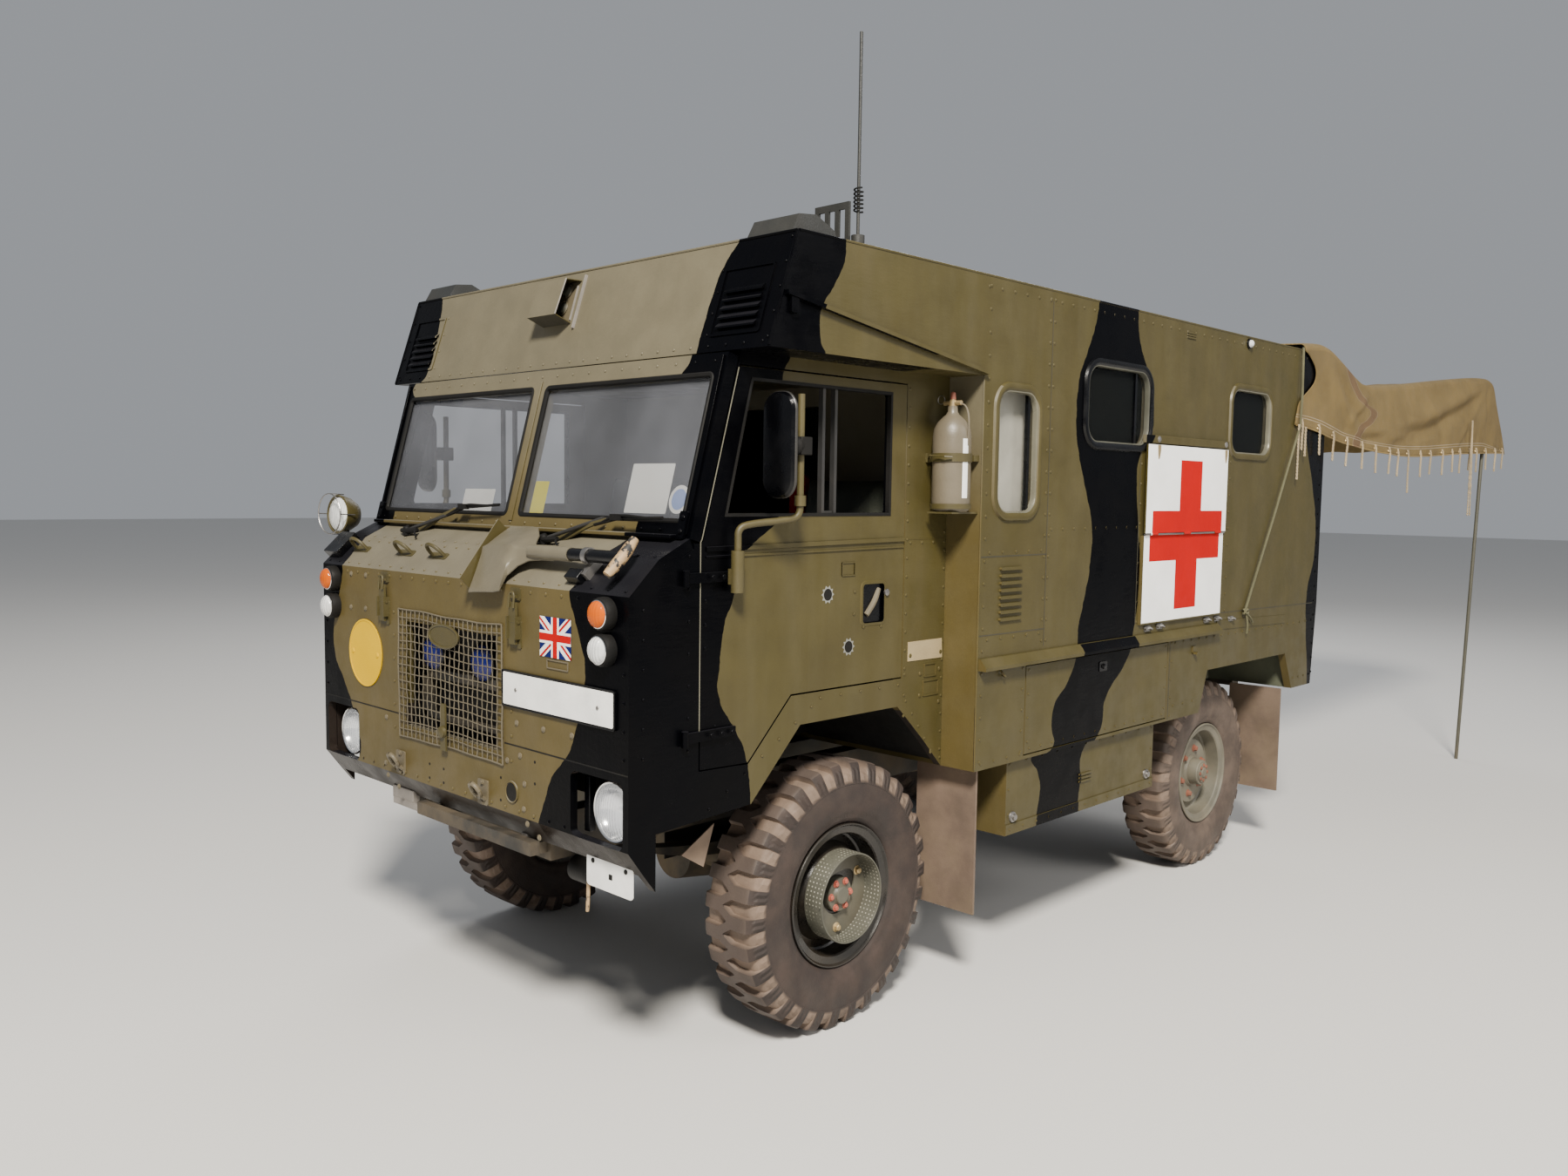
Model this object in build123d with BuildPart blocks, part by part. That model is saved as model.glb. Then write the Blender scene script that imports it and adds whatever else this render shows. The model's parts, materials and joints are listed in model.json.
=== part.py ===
import os
from math import atan2, cos, pi, radians, sin, tan

from build123d import *

os.makedirs("parts", exist_ok=True)

# Driving sizes in millimetres. Heights are above the ground, and distances along the truck are behind the
# front axle, so that a minus sign is ahead of it. X is to the truck's own left.
wheelbase = 2565.0
front_track, rear_track = 1524.0, 1549.0
tyre_radius = 438.0
axle_height = tyre_radius
front_axle = -2894.5

cab_half = 890.0
cab_skin = 28.0
front_face = -909.0
joint_height = 980.0
nose_top = 1458.0
cowl_edge = (-808.0, 1555.0)
scuttle = (-699.0, 1608.0)
header = (-560.0, 2128.0)
screen_depth = 41.0

body_half = 1032.0
body_wall = 35.0
body_front_y = 465.0
body_rear_y = 3440.0
body_bottom = 800.0
roof_height = 2464.0
roof_skin = 34.0
luton_bottom = 2134.0
luton_front_top, luton_front_bottom = -437.0, -544.0
floor_top = 1012.0

# Working planes at the front axle's foot: side faces left, plan faces up, nose faces ahead.
side = Plane((0, front_axle, 0), x_dir=(0, 1, 0), z_dir=(1, 0, 0))
plan = Plane((0, front_axle, 0), x_dir=(1, 0, 0), z_dir=(0, 0, 1))
nose = Plane((0, front_axle, 0), x_dir=(1, 0, 0), z_dir=(0, -1, 0))


def plate(plane, outline, thickness, mode=Mode.ADD):
    """A flat plate of this outline, from the plane along its normal."""
    with BuildSketch(plane) as shape:
        with BuildLine():
            Polyline(*outline, close=True)
        make_face()
    extrude(shape.sketch, amount=thickness, mode=mode)


def block(x0, x1, y0, y1, z0, z1, mode=Mode.ADD):
    """A box between two X values, two distances behind the front axle and two heights."""
    with BuildSketch(plan.offset(z0)) as shape:
        with Locations(((x0 + x1) / 2, (y0 + y1) / 2)):
            Rectangle(x1 - x0, y1 - y0)
    extrude(shape.sketch, amount=z1 - z0, mode=mode)


def round_hole(plane, centre, size, radius, depth):
    """A rounded window, cut along the plane's normal."""
    with BuildSketch(plane) as shape:
        with Locations(centre):
            RectangleRounded(size[0], size[1], radius)
    extrude(shape.sketch, amount=depth, mode=Mode.SUBTRACT)


def rod(path, radius):
    """A round bar of constant radius along a path."""
    with BuildSketch(Plane(path @ 0, z_dir=path % 0)) as section:
        Circle(radius)
    sweep(section.sketch, path=path)


def turned(plane, profile, axis):
    """A solid of revolution from a profile of (along, radius) points in the plane."""
    with BuildSketch(plane) as half:
        with BuildLine():
            Polyline(*profile, close=True)
        make_face()
    revolve(half.sketch, axis=axis)


def arc_points(radius, start, end, steps):
    """Points on an arc between two angles in degrees, at the corners of its chords."""
    turn = [radians(start + (end - start) * step / steps) for step in range(steps + 1)]
    return [(radius * cos(angle), radius * sin(angle)) for angle in turn]


def at(x, y, z):
    """A point from X, the distance behind the front axle and the height."""
    return (x, front_axle + y, z)


# Chassis: two box rails, cross members, spring hangers and the steel bar under the nose
rail_inner, rail_outer = 334.0, 410.0
rail_bottom, rail_top = 625.0, 765.0
rail_front, rail_rear = -822.0, 3330.0
cross_members = [-760.0, 1180.0, 2000.0, 3270.0]
spring_half_length = 470.0
spring_x = 372.0
spring_width = 62.0
hanger_bottom = 560.0
jaw_y, jaw_height, jaw_bore = 3450.0, 700.0, 16.0
jaw_ear, jaw_gap = 20.0, 60.0
with BuildPart() as chassis:
    for hand in (-1, 1):
        inner, outer = sorted((hand * rail_inner, hand * rail_outer))
        block(inner, outer, rail_front, rail_rear, rail_bottom, rail_top)
        for axle_y in (0.0, wheelbase):
            for end in (-1, 1):
                hanger_y = axle_y + end * spring_half_length
                low_x, high_x = sorted((hand * (rail_inner + 7), hand * (rail_inner + 69)))
                block(low_x, high_x, hanger_y - 30, hanger_y + 30, hanger_bottom + 40, rail_bottom)
    for member_y in cross_members:
        block(-rail_inner, rail_inner, member_y - 40, member_y + 40, rail_bottom + 15, rail_top - 15)
    for bearer_y in (620.0, 1180.0, 2000.0, 3270.0):
        block(-700, 700, bearer_y - 35, bearer_y + 35, rail_top, body_bottom)
    block(-215, 440, -915, -883, 664, 704)
    for stay_x in (-180.0, 372.0):
        block(stay_x - 20, stay_x + 20, -883, -760, 648, 684)
    block(-560, 560, rail_rear, rail_rear + 60, 640, 760)
    for ear_z in (jaw_height - jaw_gap / 2 - jaw_ear, jaw_height + jaw_gap / 2):
        with BuildSketch(plan.offset(ear_z)) as ear:
            with Locations((0, rail_rear + 90)):
                Rectangle(96, 60)
            with Locations((0, jaw_y)):
                Circle(48)
                Circle(jaw_bore, mode=Mode.SUBTRACT)
        extrude(ear.sketch, amount=jaw_ear)

# Leaf springs: a stack of arcs seated on the axle's pads, with an eye at each hanger
leaf_stack = 46.0
spring_centre = 496.0
spring_eye = hanger_bottom + 20.0
with BuildPart() as leaf_springs:
    for hand in (-1, 1):
        for axle_y in (0.0, wheelbase):
            start_x = hand * spring_x - spring_width / 2
            with BuildSketch(side.offset(start_x)) as leaves:
                with BuildLine():
                    low = ThreePointArc(
                        (axle_y - spring_half_length, spring_eye),
                        (axle_y, spring_centre),
                        (axle_y + spring_half_length, spring_eye),
                    )
                    high = ThreePointArc(
                        (axle_y - spring_half_length, spring_eye + 12),
                        (axle_y, spring_centre + leaf_stack),
                        (axle_y + spring_half_length, spring_eye + 12),
                    )
                    Line(low @ 0, high @ 0)
                    Line(low @ 1, high @ 1)
                make_face()
                for end in (-1, 1):
                    with Locations((axle_y + end * spring_half_length, spring_eye)):
                        Circle(20)
            extrude(leaves.sketch, amount=spring_width)

# Axles: a tube, a round differential case ahead or behind, and swivel balls on the front one
axle_tube_radius = 44.0
pin_x = 590.0
ball_radius = 84.0
diff_radius, diff_x = 122.0, 120.0
stub_radius = 30.0
hub_face_front = front_track / 2
hub_face_rear = rear_track / 2
kingpin_radius = 16.0


def axle_body(axle_y, half_length):
    """The axle tube with its differential case and the four spring pads."""
    with BuildSketch(side.offset(-half_length)) as tube:
        with Locations((axle_y, axle_height)):
            Circle(axle_tube_radius)
    extrude(tube.sketch, amount=2 * half_length)
    with BuildSketch(nose.offset(-axle_y - 95)) as case:
        with Locations((diff_x, axle_height)):
            Circle(diff_radius)
    extrude(case.sketch, amount=190, taper=8)
    for hand in (-1, 1):
        pad_x = hand * spring_x
        block(pad_x - 36, pad_x + 36, axle_y - 55, axle_y + 55, axle_height, spring_centre - 0.3)


with BuildPart() as front_axle_beam:
    axle_body(0.0, pin_x)
    for hand in (-1, 1):
        ball_plane = Plane(at(hand * pin_x, 0, axle_height), x_dir=(1, 0, 0), z_dir=(0, -1, 0))
        ball = arc_points(ball_radius, 0, 180, 8)
        turned(ball_plane, ball, Axis(at(0, 0, axle_height), (1, 0, 0)))
    for hand in (-1, 1):
        with BuildSketch(plan.offset(axle_height - ball_radius)) as pins:
            with Locations((hand * pin_x, 0)):
                Circle(kingpin_radius + 0.5)
        extrude(pins.sketch, amount=30, mode=Mode.SUBTRACT)
        with BuildSketch(plan.offset(axle_height + ball_radius - 30)) as pins:
            with Locations((hand * pin_x, 0)):
                Circle(kingpin_radius + 0.5)
        extrude(pins.sketch, amount=30, mode=Mode.SUBTRACT)

stub_end = 62.0
with BuildPart() as rear_axle_beam:
    axle_body(wheelbase, 640.0)
    with BuildSketch(side.offset(-hub_face_rear - stub_end)) as stub:
        with Locations((wheelbase, axle_height)):
            Circle(stub_radius)
    extrude(stub.sketch, amount=2 * (hub_face_rear + stub_end))

# Knuckles: a cup round the swivel ball, the stub axle, two kingpins and the steering arm
cup_inner, cup_outer = 91.0, 107.0
arm_reach = 185.0
arm_height = axle_height - 40.0
with BuildPart() as knuckle_left:
    cup_plane = Plane(at(pin_x, 0, axle_height), x_dir=(1, 0, 0), z_dir=(0, -1, 0))
    outside = arc_points(cup_outer, 0, 98, 4)
    inside = arc_points(cup_inner, 98, 0, 4)
    turned(cup_plane, outside + inside, Axis(at(0, 0, axle_height), (1, 0, 0)))
    for low in (-1, 1):
        start = axle_height - cup_outer + 4 if low < 0 else axle_height + ball_radius - 26
        with BuildSketch(plan.offset(start)) as kingpin:
            with Locations((pin_x, 0)):
                Circle(kingpin_radius)
        extrude(kingpin.sketch, amount=cup_outer - ball_radius + 22)
    with BuildSketch(side.offset(pin_x + cup_inner + 2)) as stub:
        with Locations((0, axle_height)):
            Circle(stub_radius)
    extrude(stub.sketch, amount=hub_face_front + stub_end - pin_x - cup_inner - 2)
    with BuildSketch(side.offset(pin_x + cup_outer - 20)) as flange:
        with Locations((0, axle_height)):
            Circle(62)
    extrude(flange.sketch, amount=26)
    arm = [
        (pin_x - 15, 88),
        (pin_x + 20, 88),
        (pin_x + 18, arm_reach + 18),
        (pin_x - 18, arm_reach + 18),
    ]
    plate(plan.offset(arm_height - 11), arm, 22)
with BuildPart() as knuckle_right:
    mirror(knuckle_left.part, about=Plane.YZ)

# Track rod: a tube under the steering arms with a ball pin up into each
rod_height = arm_height - 34.0
rod_x = pin_x
with BuildPart() as track_rod:
    with BuildSketch(side.offset(-rod_x - 18)) as tube:
        with Locations((arm_reach, rod_height)):
            Circle(14)
    extrude(tube.sketch, amount=2 * (rod_x + 18))
    for hand in (-1, 1):
        with BuildSketch(plan.offset(rod_height - 20)) as eye:
            with Locations((hand * rod_x, arm_reach)):
                Circle(18)
        extrude(eye.sketch, amount=42)

# Wheels: rim and dished disc with a raised nave. The front one carries a ring guard on a base plate whose
# opening shows the driving flange, and the rear one a bolted hub end.
rim_flange, rim_seat, rim_half = 235.0, 205.0, 95.0
hub_end_front, hub_end_rear = 98.0, 104.0
guard_outer, guard_inner, guard_plate, guard_end = 147.0, 141.0, 68.0, 136.0
stud_circle, stud_count = 113.0, 6
flange_bolt_circle, flange_bolt_count = 51.0, 6
rim_barrel = [
    # along the axle from the middle of the rim, radius
    (-rim_half, rim_seat - 8),
    (-rim_half, rim_flange),
    (-rim_half + 9, rim_flange),
    (-rim_half + 16, rim_seat),
    (rim_half - 16, rim_seat),
    (rim_half - 9, rim_flange),
    (rim_half, rim_flange),
    (rim_half, rim_seat - 8),
    (10, rim_seat - 8),
]
front_face_line = [
    (22, 158),
    (40, 150),
    (guard_plate - 6, 128),
    (guard_plate - 6, guard_outer),
    (guard_end, guard_outer),
    (guard_end, guard_inner),
    (guard_plate, guard_inner),
    (guard_plate, 70),
    (50, 66),
    (50, 58),
    (84, 56),
    (84, 31),
    (hub_end_front, 28),
    (hub_end_front, 0),
]
rear_face_line = [
    (20, 158),
    (34, 148),
    (34, 72),
    (46, 66),
    (hub_end_rear - 14, 58),
    (hub_end_rear - 6, 46),
    (hub_end_rear - 6, 22),
    (hub_end_rear, 18),
    (hub_end_rear, 0),
]
back_line = [
    (stub_end + 1, 0),
    (stub_end + 1, stub_radius + 0.4),
    (-52, stub_radius + 0.4),
    (-52, 84),
    (6, 84),
    (6, 150),
    (-8, rim_seat - 8),
]


def wheel_body(axle_y, centre_x, face_line):
    """A wheel turned about its axle, from its barrel, its outer face and its back."""
    plane = Plane(at(centre_x, axle_y, axle_height), x_dir=(1, 0, 0), z_dir=(0, -1, 0))
    turned(plane, rim_barrel + face_line + back_line, Axis(at(0, axle_y, axle_height), (1, 0, 0)))


def wheel_studs(axle_y, face_x, circle, count, size, length):
    """Hexagon nuts on their circle, on a face of the wheel."""
    with BuildSketch(side.offset(face_x)) as nuts:
        with Locations((axle_y, axle_height)):
            with PolarLocations(circle, count, start_angle=30):
                RegularPolygon(size, 6)
    extrude(nuts.sketch, amount=length)


with BuildPart() as wheel_front_left:
    wheel_body(0.0, hub_face_front, front_face_line)
    wheel_studs(0.0, hub_face_front + guard_plate, stud_circle, stud_count, 12, 13)
    wheel_studs(0.0, hub_face_front + 84, flange_bolt_circle - 8, flange_bolt_count, 8, 8)
with BuildPart() as wheel_rear_left:
    wheel_body(wheelbase, hub_face_rear, rear_face_line)
    wheel_studs(wheelbase, hub_face_rear + 34, stud_circle - 5, stud_count, 13, 18)
with BuildPart() as wheel_front_right:
    mirror(wheel_front_left.part, about=Plane.YZ)
with BuildPart() as wheel_rear_right:
    mirror(wheel_rear_left.part, about=Plane.YZ)

# Tyres: a ruled casing and two rows of bar lugs, one row half a pitch on from the other
lug_count = 30
lug_height = 19.0
crown_half = 92.0
lug_share = 0.54
crown_radius = tyre_radius - lug_height
casing_sides = 26
casing_sections = [
    # along the axle from the middle of the tyre, radius
    (78.0, rim_flange + 3.0),
    (115.0, 306.0),
    (92.0, crown_radius - 5.0),
]


def lug_row(plane, turn):
    """Half of the tread: a toothed ring whose teeth are the lugs."""
    pitch = 2 * pi / lug_count
    outline = []
    for lug in range(lug_count):
        start = turn + lug * pitch
        corners = ((crown_radius, 0), (tyre_radius, 0.05), (tyre_radius, lug_share), (crown_radius, lug_share + 0.05))
        for radius, share in corners:
            angle = start + share * pitch
            outline.append((radius * cos(angle), radius * sin(angle)))
    with BuildSketch(plane) as ring:
        with BuildLine():
            Polyline(*outline, close=True)
        make_face()
        RegularPolygon(crown_radius - 20, casing_sides, mode=Mode.SUBTRACT)
    extrude(ring.sketch, amount=crown_half)


def tyre_body(axle_y, centre_x):
    """The casing, open at the rim, with its two rows of lugs."""
    middle = Plane(at(centre_x, axle_y, axle_height), x_dir=(0, 1, 0), z_dir=(1, 0, 0))
    sections = []
    for along, radius in [(-along, radius) for along, radius in casing_sections] + casing_sections[::-1]:
        with BuildSketch(middle.offset(along)) as ring:
            RegularPolygon(radius, casing_sides)
        sections.append(ring.sketch.face())
    loft(sections=sections, ruled=True)
    with BuildSketch(middle.offset(-120)) as bore:
        RegularPolygon(rim_seat + 2, casing_sides)
    extrude(bore.sketch, amount=240, mode=Mode.SUBTRACT)
    lug_row(middle, -pi / 2)
    lug_row(middle.offset(-crown_half), -pi / 2 + pi / lug_count)


with BuildPart() as tyre_front_left:
    tyre_body(0.0, hub_face_front)
with BuildPart() as tyre_rear_left:
    tyre_body(wheelbase, hub_face_rear)
with BuildPart() as tyre_front_right:
    mirror(tyre_front_left.part, about=Plane.YZ)
with BuildPart() as tyre_rear_right:
    mirror(tyre_rear_left.part, about=Plane.YZ)

# Power unit between the seats, the gearbox behind it and the exhaust under the right-hand side
with BuildPart() as power_unit:
    block(-230, 230, -330, 330, 585, 1200)
    block(-150, 150, 330, 1080, 500, 760)
    with BuildLine() as pipe:
        FilletPolyline(
            at(-120, 1000, 600),
            at(-120, 1300, 600),
            at(-260, 1600, 560),
            at(-260, 2140, 560),
            radius=60,
        )
    rod(pipe.line, 28)
    with BuildSketch(nose.offset(-1600)) as silencer:
        with Locations((-260, 560)):
            Circle(62)
    extrude(silencer.sketch, amount=-460)

# Propeller shafts from the transfer box to the two differentials
shaft_x = diff_x
with BuildPart() as propshafts:
    for start, end in (
        (at(shaft_x - 20, 1085, 560), at(shaft_x, wheelbase - 100, axle_height)),
    ):
        shaft = Edge.make_line(start, end)
        with BuildSketch(Plane(shaft @ 0, z_dir=shaft % 0)) as section:
            Circle(32)
        sweep(section.sketch, path=shaft)
    front_shaft = Edge.make_line(at(shaft_x, 101, axle_height), at(shaft_x, 324, 470))
    with BuildSketch(Plane(front_shaft @ 0, z_dir=front_shaft % 0)) as section:
        Circle(26)
    sweep(section.sketch, path=front_shaft)

# Radiator behind the mesh
with BuildPart() as radiator:
    block(-290, 260, -800, -745, 770, 1330)
    for bar_z in (780.0, 1310.0):
        block(-310, 280, -812, -800, bar_z - 12, bar_z + 12)

# Cab front: the upright panel folded round both corners, the cowl slope and the scuttle
corner_back = -727.0
grille_x, grille_half = -19.0, 316.0
grille_bottom, grille_top = 907.0, 1339.0
frame_step = 42.0


def nose_section(skin):
    """The side view of the front shell, as the outer line and the same line one skin further in."""
    outer = [(front_face, joint_height), (front_face, nose_top), cowl_edge, scuttle]
    inner = [
        (scuttle[0] + 12, scuttle[1] - skin),
        (cowl_edge[0] + 14, cowl_edge[1] - skin),
        (front_face + skin, nose_top - 12),
        (front_face + skin, joint_height),
    ]
    return outer + inner


with BuildPart() as cab_front:
    plate(side.offset(-cab_half), nose_section(cab_skin), 2 * cab_half)
    cheek = [
        (front_face, joint_height),
        (front_face, nose_top),
        cowl_edge,
        (corner_back, 1594),
        (corner_back, joint_height),
    ]
    for cheek_x in (-cab_half, cab_half - cab_skin):
        plate(side.offset(cheek_x), cheek, cab_skin)
    block(
        grille_x - grille_half + frame_step,
        grille_x + grille_half - frame_step,
        front_face - 1,
        front_face + cab_skin + 1,
        joint_height - 1,
        grille_top - frame_step,
        mode=Mode.SUBTRACT,
    )

# Valance under it, folded back at the foot, with a rounded recess for each headlamp
fold_height = 770.0
fold_foot = (-851.0, 692.0)
cheek_foot = (-814.0, 645.0)
lamp_x, lamp_z, lamp_radius = 766.0, 852.0, 88.0
recess_x, recess_size = 748.0, (236.0, 186.0)
with BuildPart() as front_valance:
    valance = [
        (front_face, joint_height),
        (front_face, fold_height),
        fold_foot,
        (fold_foot[0] + 18, fold_foot[1] + 14),
        (front_face + 24, fold_height + 8),
        (front_face + 24, joint_height),
    ]
    plate(side.offset(-cab_half), valance, 2 * cab_half)
    cheek = [
        (front_face, joint_height),
        (front_face, fold_height),
        fold_foot,
        cheek_foot,
        (cheek_foot[0], joint_height),
    ]
    for cheek_x in (-cab_half, cab_half - cab_skin):
        plate(side.offset(cheek_x), cheek, cab_skin)
    for hand in (-1, 1):
        with BuildSketch(nose.offset(-front_face - 30)) as recess:
            with Locations((hand * recess_x, 862)):
                RectangleRounded(recess_size[0], recess_size[1], 24)
        extrude(recess.sketch, amount=40, mode=Mode.SUBTRACT)
        with BuildSketch(nose.offset(-front_face - 110)) as tray:
            with Locations((hand * recess_x, 862)):
                RectangleRounded(recess_size[0] - 8, recess_size[1] + 16, 24)
        extrude(tray.sketch, amount=6)
        block(
            hand * recess_x - 114,
            hand * recess_x + 114,
            front_face + 20,
            front_face + 110,
            953,
            963,
        )
    block(
        grille_x - grille_half + frame_step,
        grille_x + grille_half - frame_step,
        front_face - 1,
        front_face + 30,
        grille_bottom + frame_step,
        joint_height + 1,
        mode=Mode.SUBTRACT,
    )

# Grille: a welded wire mesh in a flat border, uprights in one layer and cross wires in the next
wire = 3.2
wire_columns, wire_rows = 25, 17
border = 12.0
with BuildPart() as grille:
    mesh_w, mesh_h = 2 * grille_half, grille_top - grille_bottom
    mesh_z = (grille_bottom + grille_top) / 2
    grille_plane = nose.offset(-front_face)
    with BuildSketch(grille_plane) as edge:
        with Locations((grille_x, mesh_z)):
            Rectangle(mesh_w, mesh_h)
            Rectangle(mesh_w - 2 * border, mesh_h - 2 * border, mode=Mode.SUBTRACT)
    extrude(edge.sketch, amount=9)
    column_pitch = mesh_w / wire_columns
    row_pitch = mesh_h / wire_rows
    with BuildSketch(grille_plane.offset(1)) as uprights:
        with Locations((grille_x, mesh_z)):
            with GridLocations(column_pitch, 1, wire_columns - 1, 1):
                Rectangle(wire, mesh_h - border)
    extrude(uprights.sketch, amount=wire)
    with BuildSketch(grille_plane.offset(1.5 + wire)) as crossers:
        with Locations((grille_x, mesh_z)):
            with GridLocations(1, row_pitch, 1, wire_rows - 1):
                Rectangle(mesh_w - border, wire)
    extrude(crossers.sketch, amount=wire)

# Windscreen frame: a raked frame with a centre pillar
rake_dir = Vector(0, header[0] - scuttle[0], header[1] - scuttle[1]).normalized()
rake_length = ((header[0] - scuttle[0]) ** 2 + (header[1] - scuttle[1]) ** 2) ** 0.5
screen_normal = Vector(0, -rake_dir.Z, rake_dir.Y)
screen = Plane(at(0, *scuttle), x_dir=(1, 0, 0), z_dir=screen_normal)
screen_thick = 39.0
pane_half_w = 405.0
pane_x = 440.0
pane_low, pane_high = 48.0, rake_length - 60.0
with BuildPart() as windscreen_frame:
    with BuildSketch(screen.offset(-screen_thick)) as face:
        with Locations((0, rake_length / 2)):
            Rectangle(2 * cab_half, rake_length)
        for hand in (-1, 1):
            with Locations((hand * pane_x, (pane_low + pane_high) / 2)):
                RectangleRounded(2 * pane_half_w, pane_high - pane_low, 18, mode=Mode.SUBTRACT)
    extrude(face.sketch, amount=screen_thick)

# Cab sides: post, header, rear pillar and the sill that arches over the wheel, X outwards on the left
door_front, door_rear = -656.0, 235.0
door_low, door_arch, door_top = 958.0, 1133.0, 2092.0
door_gap = 5.0
arch_line = [(-454, 826), (-248, 1035), (220, 1035), (365, 901), (462, 802)]
door_outline = [
    (door_front, door_low),
    (-470, door_low - 6),
    (-292, door_arch),
    (door_rear, door_arch),
    (door_rear, door_top),
    (-514, door_top),
    (door_front + 6, 1600),
    (door_front, 1600),
]
with BuildPart() as cab_side_left:
    rail_line = [
        (-814, 806),
        (-454, 826),
        (-248, 1035),
        (220, 1035),
        (365, 901),
        (462, 802),
        (body_front_y, 802),
        (body_front_y, luton_bottom),
        (header[0] + screen_depth + 5, luton_bottom),
        (scuttle[0] + screen_depth + 3, 1594),
        (scuttle[0] + 15, 1594),
        (scuttle[0] + 15, 1579),
        (corner_back, 1558),
        (corner_back, joint_height),
        (-814, joint_height),
    ]
    plate(side.offset(cab_half - cab_skin), rail_line, cab_skin)
    with BuildSketch(side.offset(cab_half - cab_skin)) as opening:
        with BuildLine():
            Polyline(*door_outline, close=True)
        make_face()
        offset(amount=door_gap, kind=Kind.INTERSECTION)
    extrude(opening.sketch, amount=cab_skin, mode=Mode.SUBTRACT)
with BuildPart() as cab_side_right:
    mirror(cab_side_left.part, about=Plane.YZ)

# Cab floor: foot wells, the skin over the wheel arches, the engine cover, the bulkhead and the dashboard
tunnel_half = 262.0
floor_skin = 20.0
bulkhead = -735.0
inner_half = cab_half - cab_skin
with BuildPart() as cab_floor:
    floor_line = [
        (bulkhead, 830),
        (-466, 830),
        (-262, 1040),
        (230, 1040),
        (body_front_y, 815),
        (body_front_y, 815 + 24),
        (240, 1040 + floor_skin),
        (-272, 1040 + floor_skin),
        (-476, 830 + floor_skin),
        (bulkhead, 830 + floor_skin),
    ]
    plate(side.offset(-inner_half), floor_line, 2 * inner_half)
    dash = [
        (bulkhead, 830),
        (bulkhead, 1535),
        (-600, 1560),
        (-560, 1500),
        (-600, 1380),
        (bulkhead + 20, 1380),
        (bulkhead + 20, 830),
    ]
    plate(side.offset(-inner_half), dash, 2 * inner_half)
    cover = [(bulkhead, 830), (bulkhead, 1300), (body_front_y, 1300), (body_front_y, 830)]
    plate(side.offset(-tunnel_half - 20), cover, 2 * tunnel_half + 40)
    hollow = [
        (bulkhead - 1, 780),
        (bulkhead - 1, 1280),
        (body_front_y + 1, 1280),
        (body_front_y + 1, 780),
    ]
    plate(side.offset(-tunnel_half), hollow, 2 * tunnel_half, mode=Mode.SUBTRACT)

# Seats: a cushion and a back on each side of the engine cover
seat_x, seat_half = 575.0, 225.0
with BuildPart() as seats:
    for hand in (-1, 1):
        left_x = hand * seat_x - seat_half
        seat_profile = [
            (-190, 1120),
            (-190, 1250),
            (230, 1225),
            (310, 1800),
            (400, 1800),
            (330, 1120),
        ]
        plate(side.offset(left_x), seat_profile, 2 * seat_half)
        block(left_x + 30, left_x + 2 * seat_half - 30, -150, 225, 1040 + floor_skin, 1120)

# Steering wheel on its column, right-hand drive
wheel_tilt = 38.0
steer_centre = (-575.0, -330.0, 1440.0)
column_dir = Vector(0, -sin(radians(wheel_tilt)), -cos(radians(wheel_tilt)))
steer_plane = Plane(at(*steer_centre), x_dir=(1, 0, 0), z_dir=column_dir * -1)
with BuildPart() as steering_wheel:
    with BuildSketch(Plane(at(*steer_centre), x_dir=(1, 0, 0), z_dir=column_dir.cross(Vector(1, 0, 0)))) as rim:
        with Locations((205, 0)):
            RegularPolygon(14, 8)
    revolve(rim.sketch, axis=Axis(at(*steer_centre), column_dir))
    with BuildSketch(steer_plane.offset(-8)) as spokes:
        Rectangle(400, 26)
        with Locations((0, -100)):
            Rectangle(26, 200)
    extrude(spokes.sketch, amount=10)
    with BuildSketch(steer_plane.offset(-60)) as boss:
        Circle(38)
    extrude(boss.sketch, amount=66)

with BuildPart() as steering_column:
    with BuildSketch(steer_plane.offset(-66)) as column:
        Circle(24)
    extrude(column.sketch, amount=-480)

# Cab doors: one thick panel with the window cut, hinge straps and the mirror arm's socket
window_outline = [(-566, 1672), (158, 1672), (158, 2060), (-468, 2060)]
hinge_y = -722.0
strap_heights = (1500.0, 1056.0)
with BuildPart() as door_left:
    plate(side.offset(cab_half - cab_skin + 1), door_outline, cab_skin - 1)
    with BuildSketch(side.offset(cab_half - cab_skin)) as window:
        with BuildLine():
            Polyline(*window_outline, close=True)
        make_face()
        fillet(window.vertices(), 18)
    extrude(window.sketch, amount=cab_skin + 2, mode=Mode.SUBTRACT)
    for strap_z in strap_heights:
        block(cab_half, cab_half + 12, hinge_y + 2, -530, strap_z - 14, strap_z + 14)
        with BuildSketch(plan.offset(strap_z - 22)) as knuckle:
            with Locations((cab_half + 12, hinge_y)):
                Circle(10)
        extrude(knuckle.sketch, amount=44)
    block(cab_half - 10, cab_half, 30, 140, 1322, 1453, mode=Mode.SUBTRACT)
with BuildPart() as door_right:
    mirror(door_left.part, about=Plane.YZ)

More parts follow.
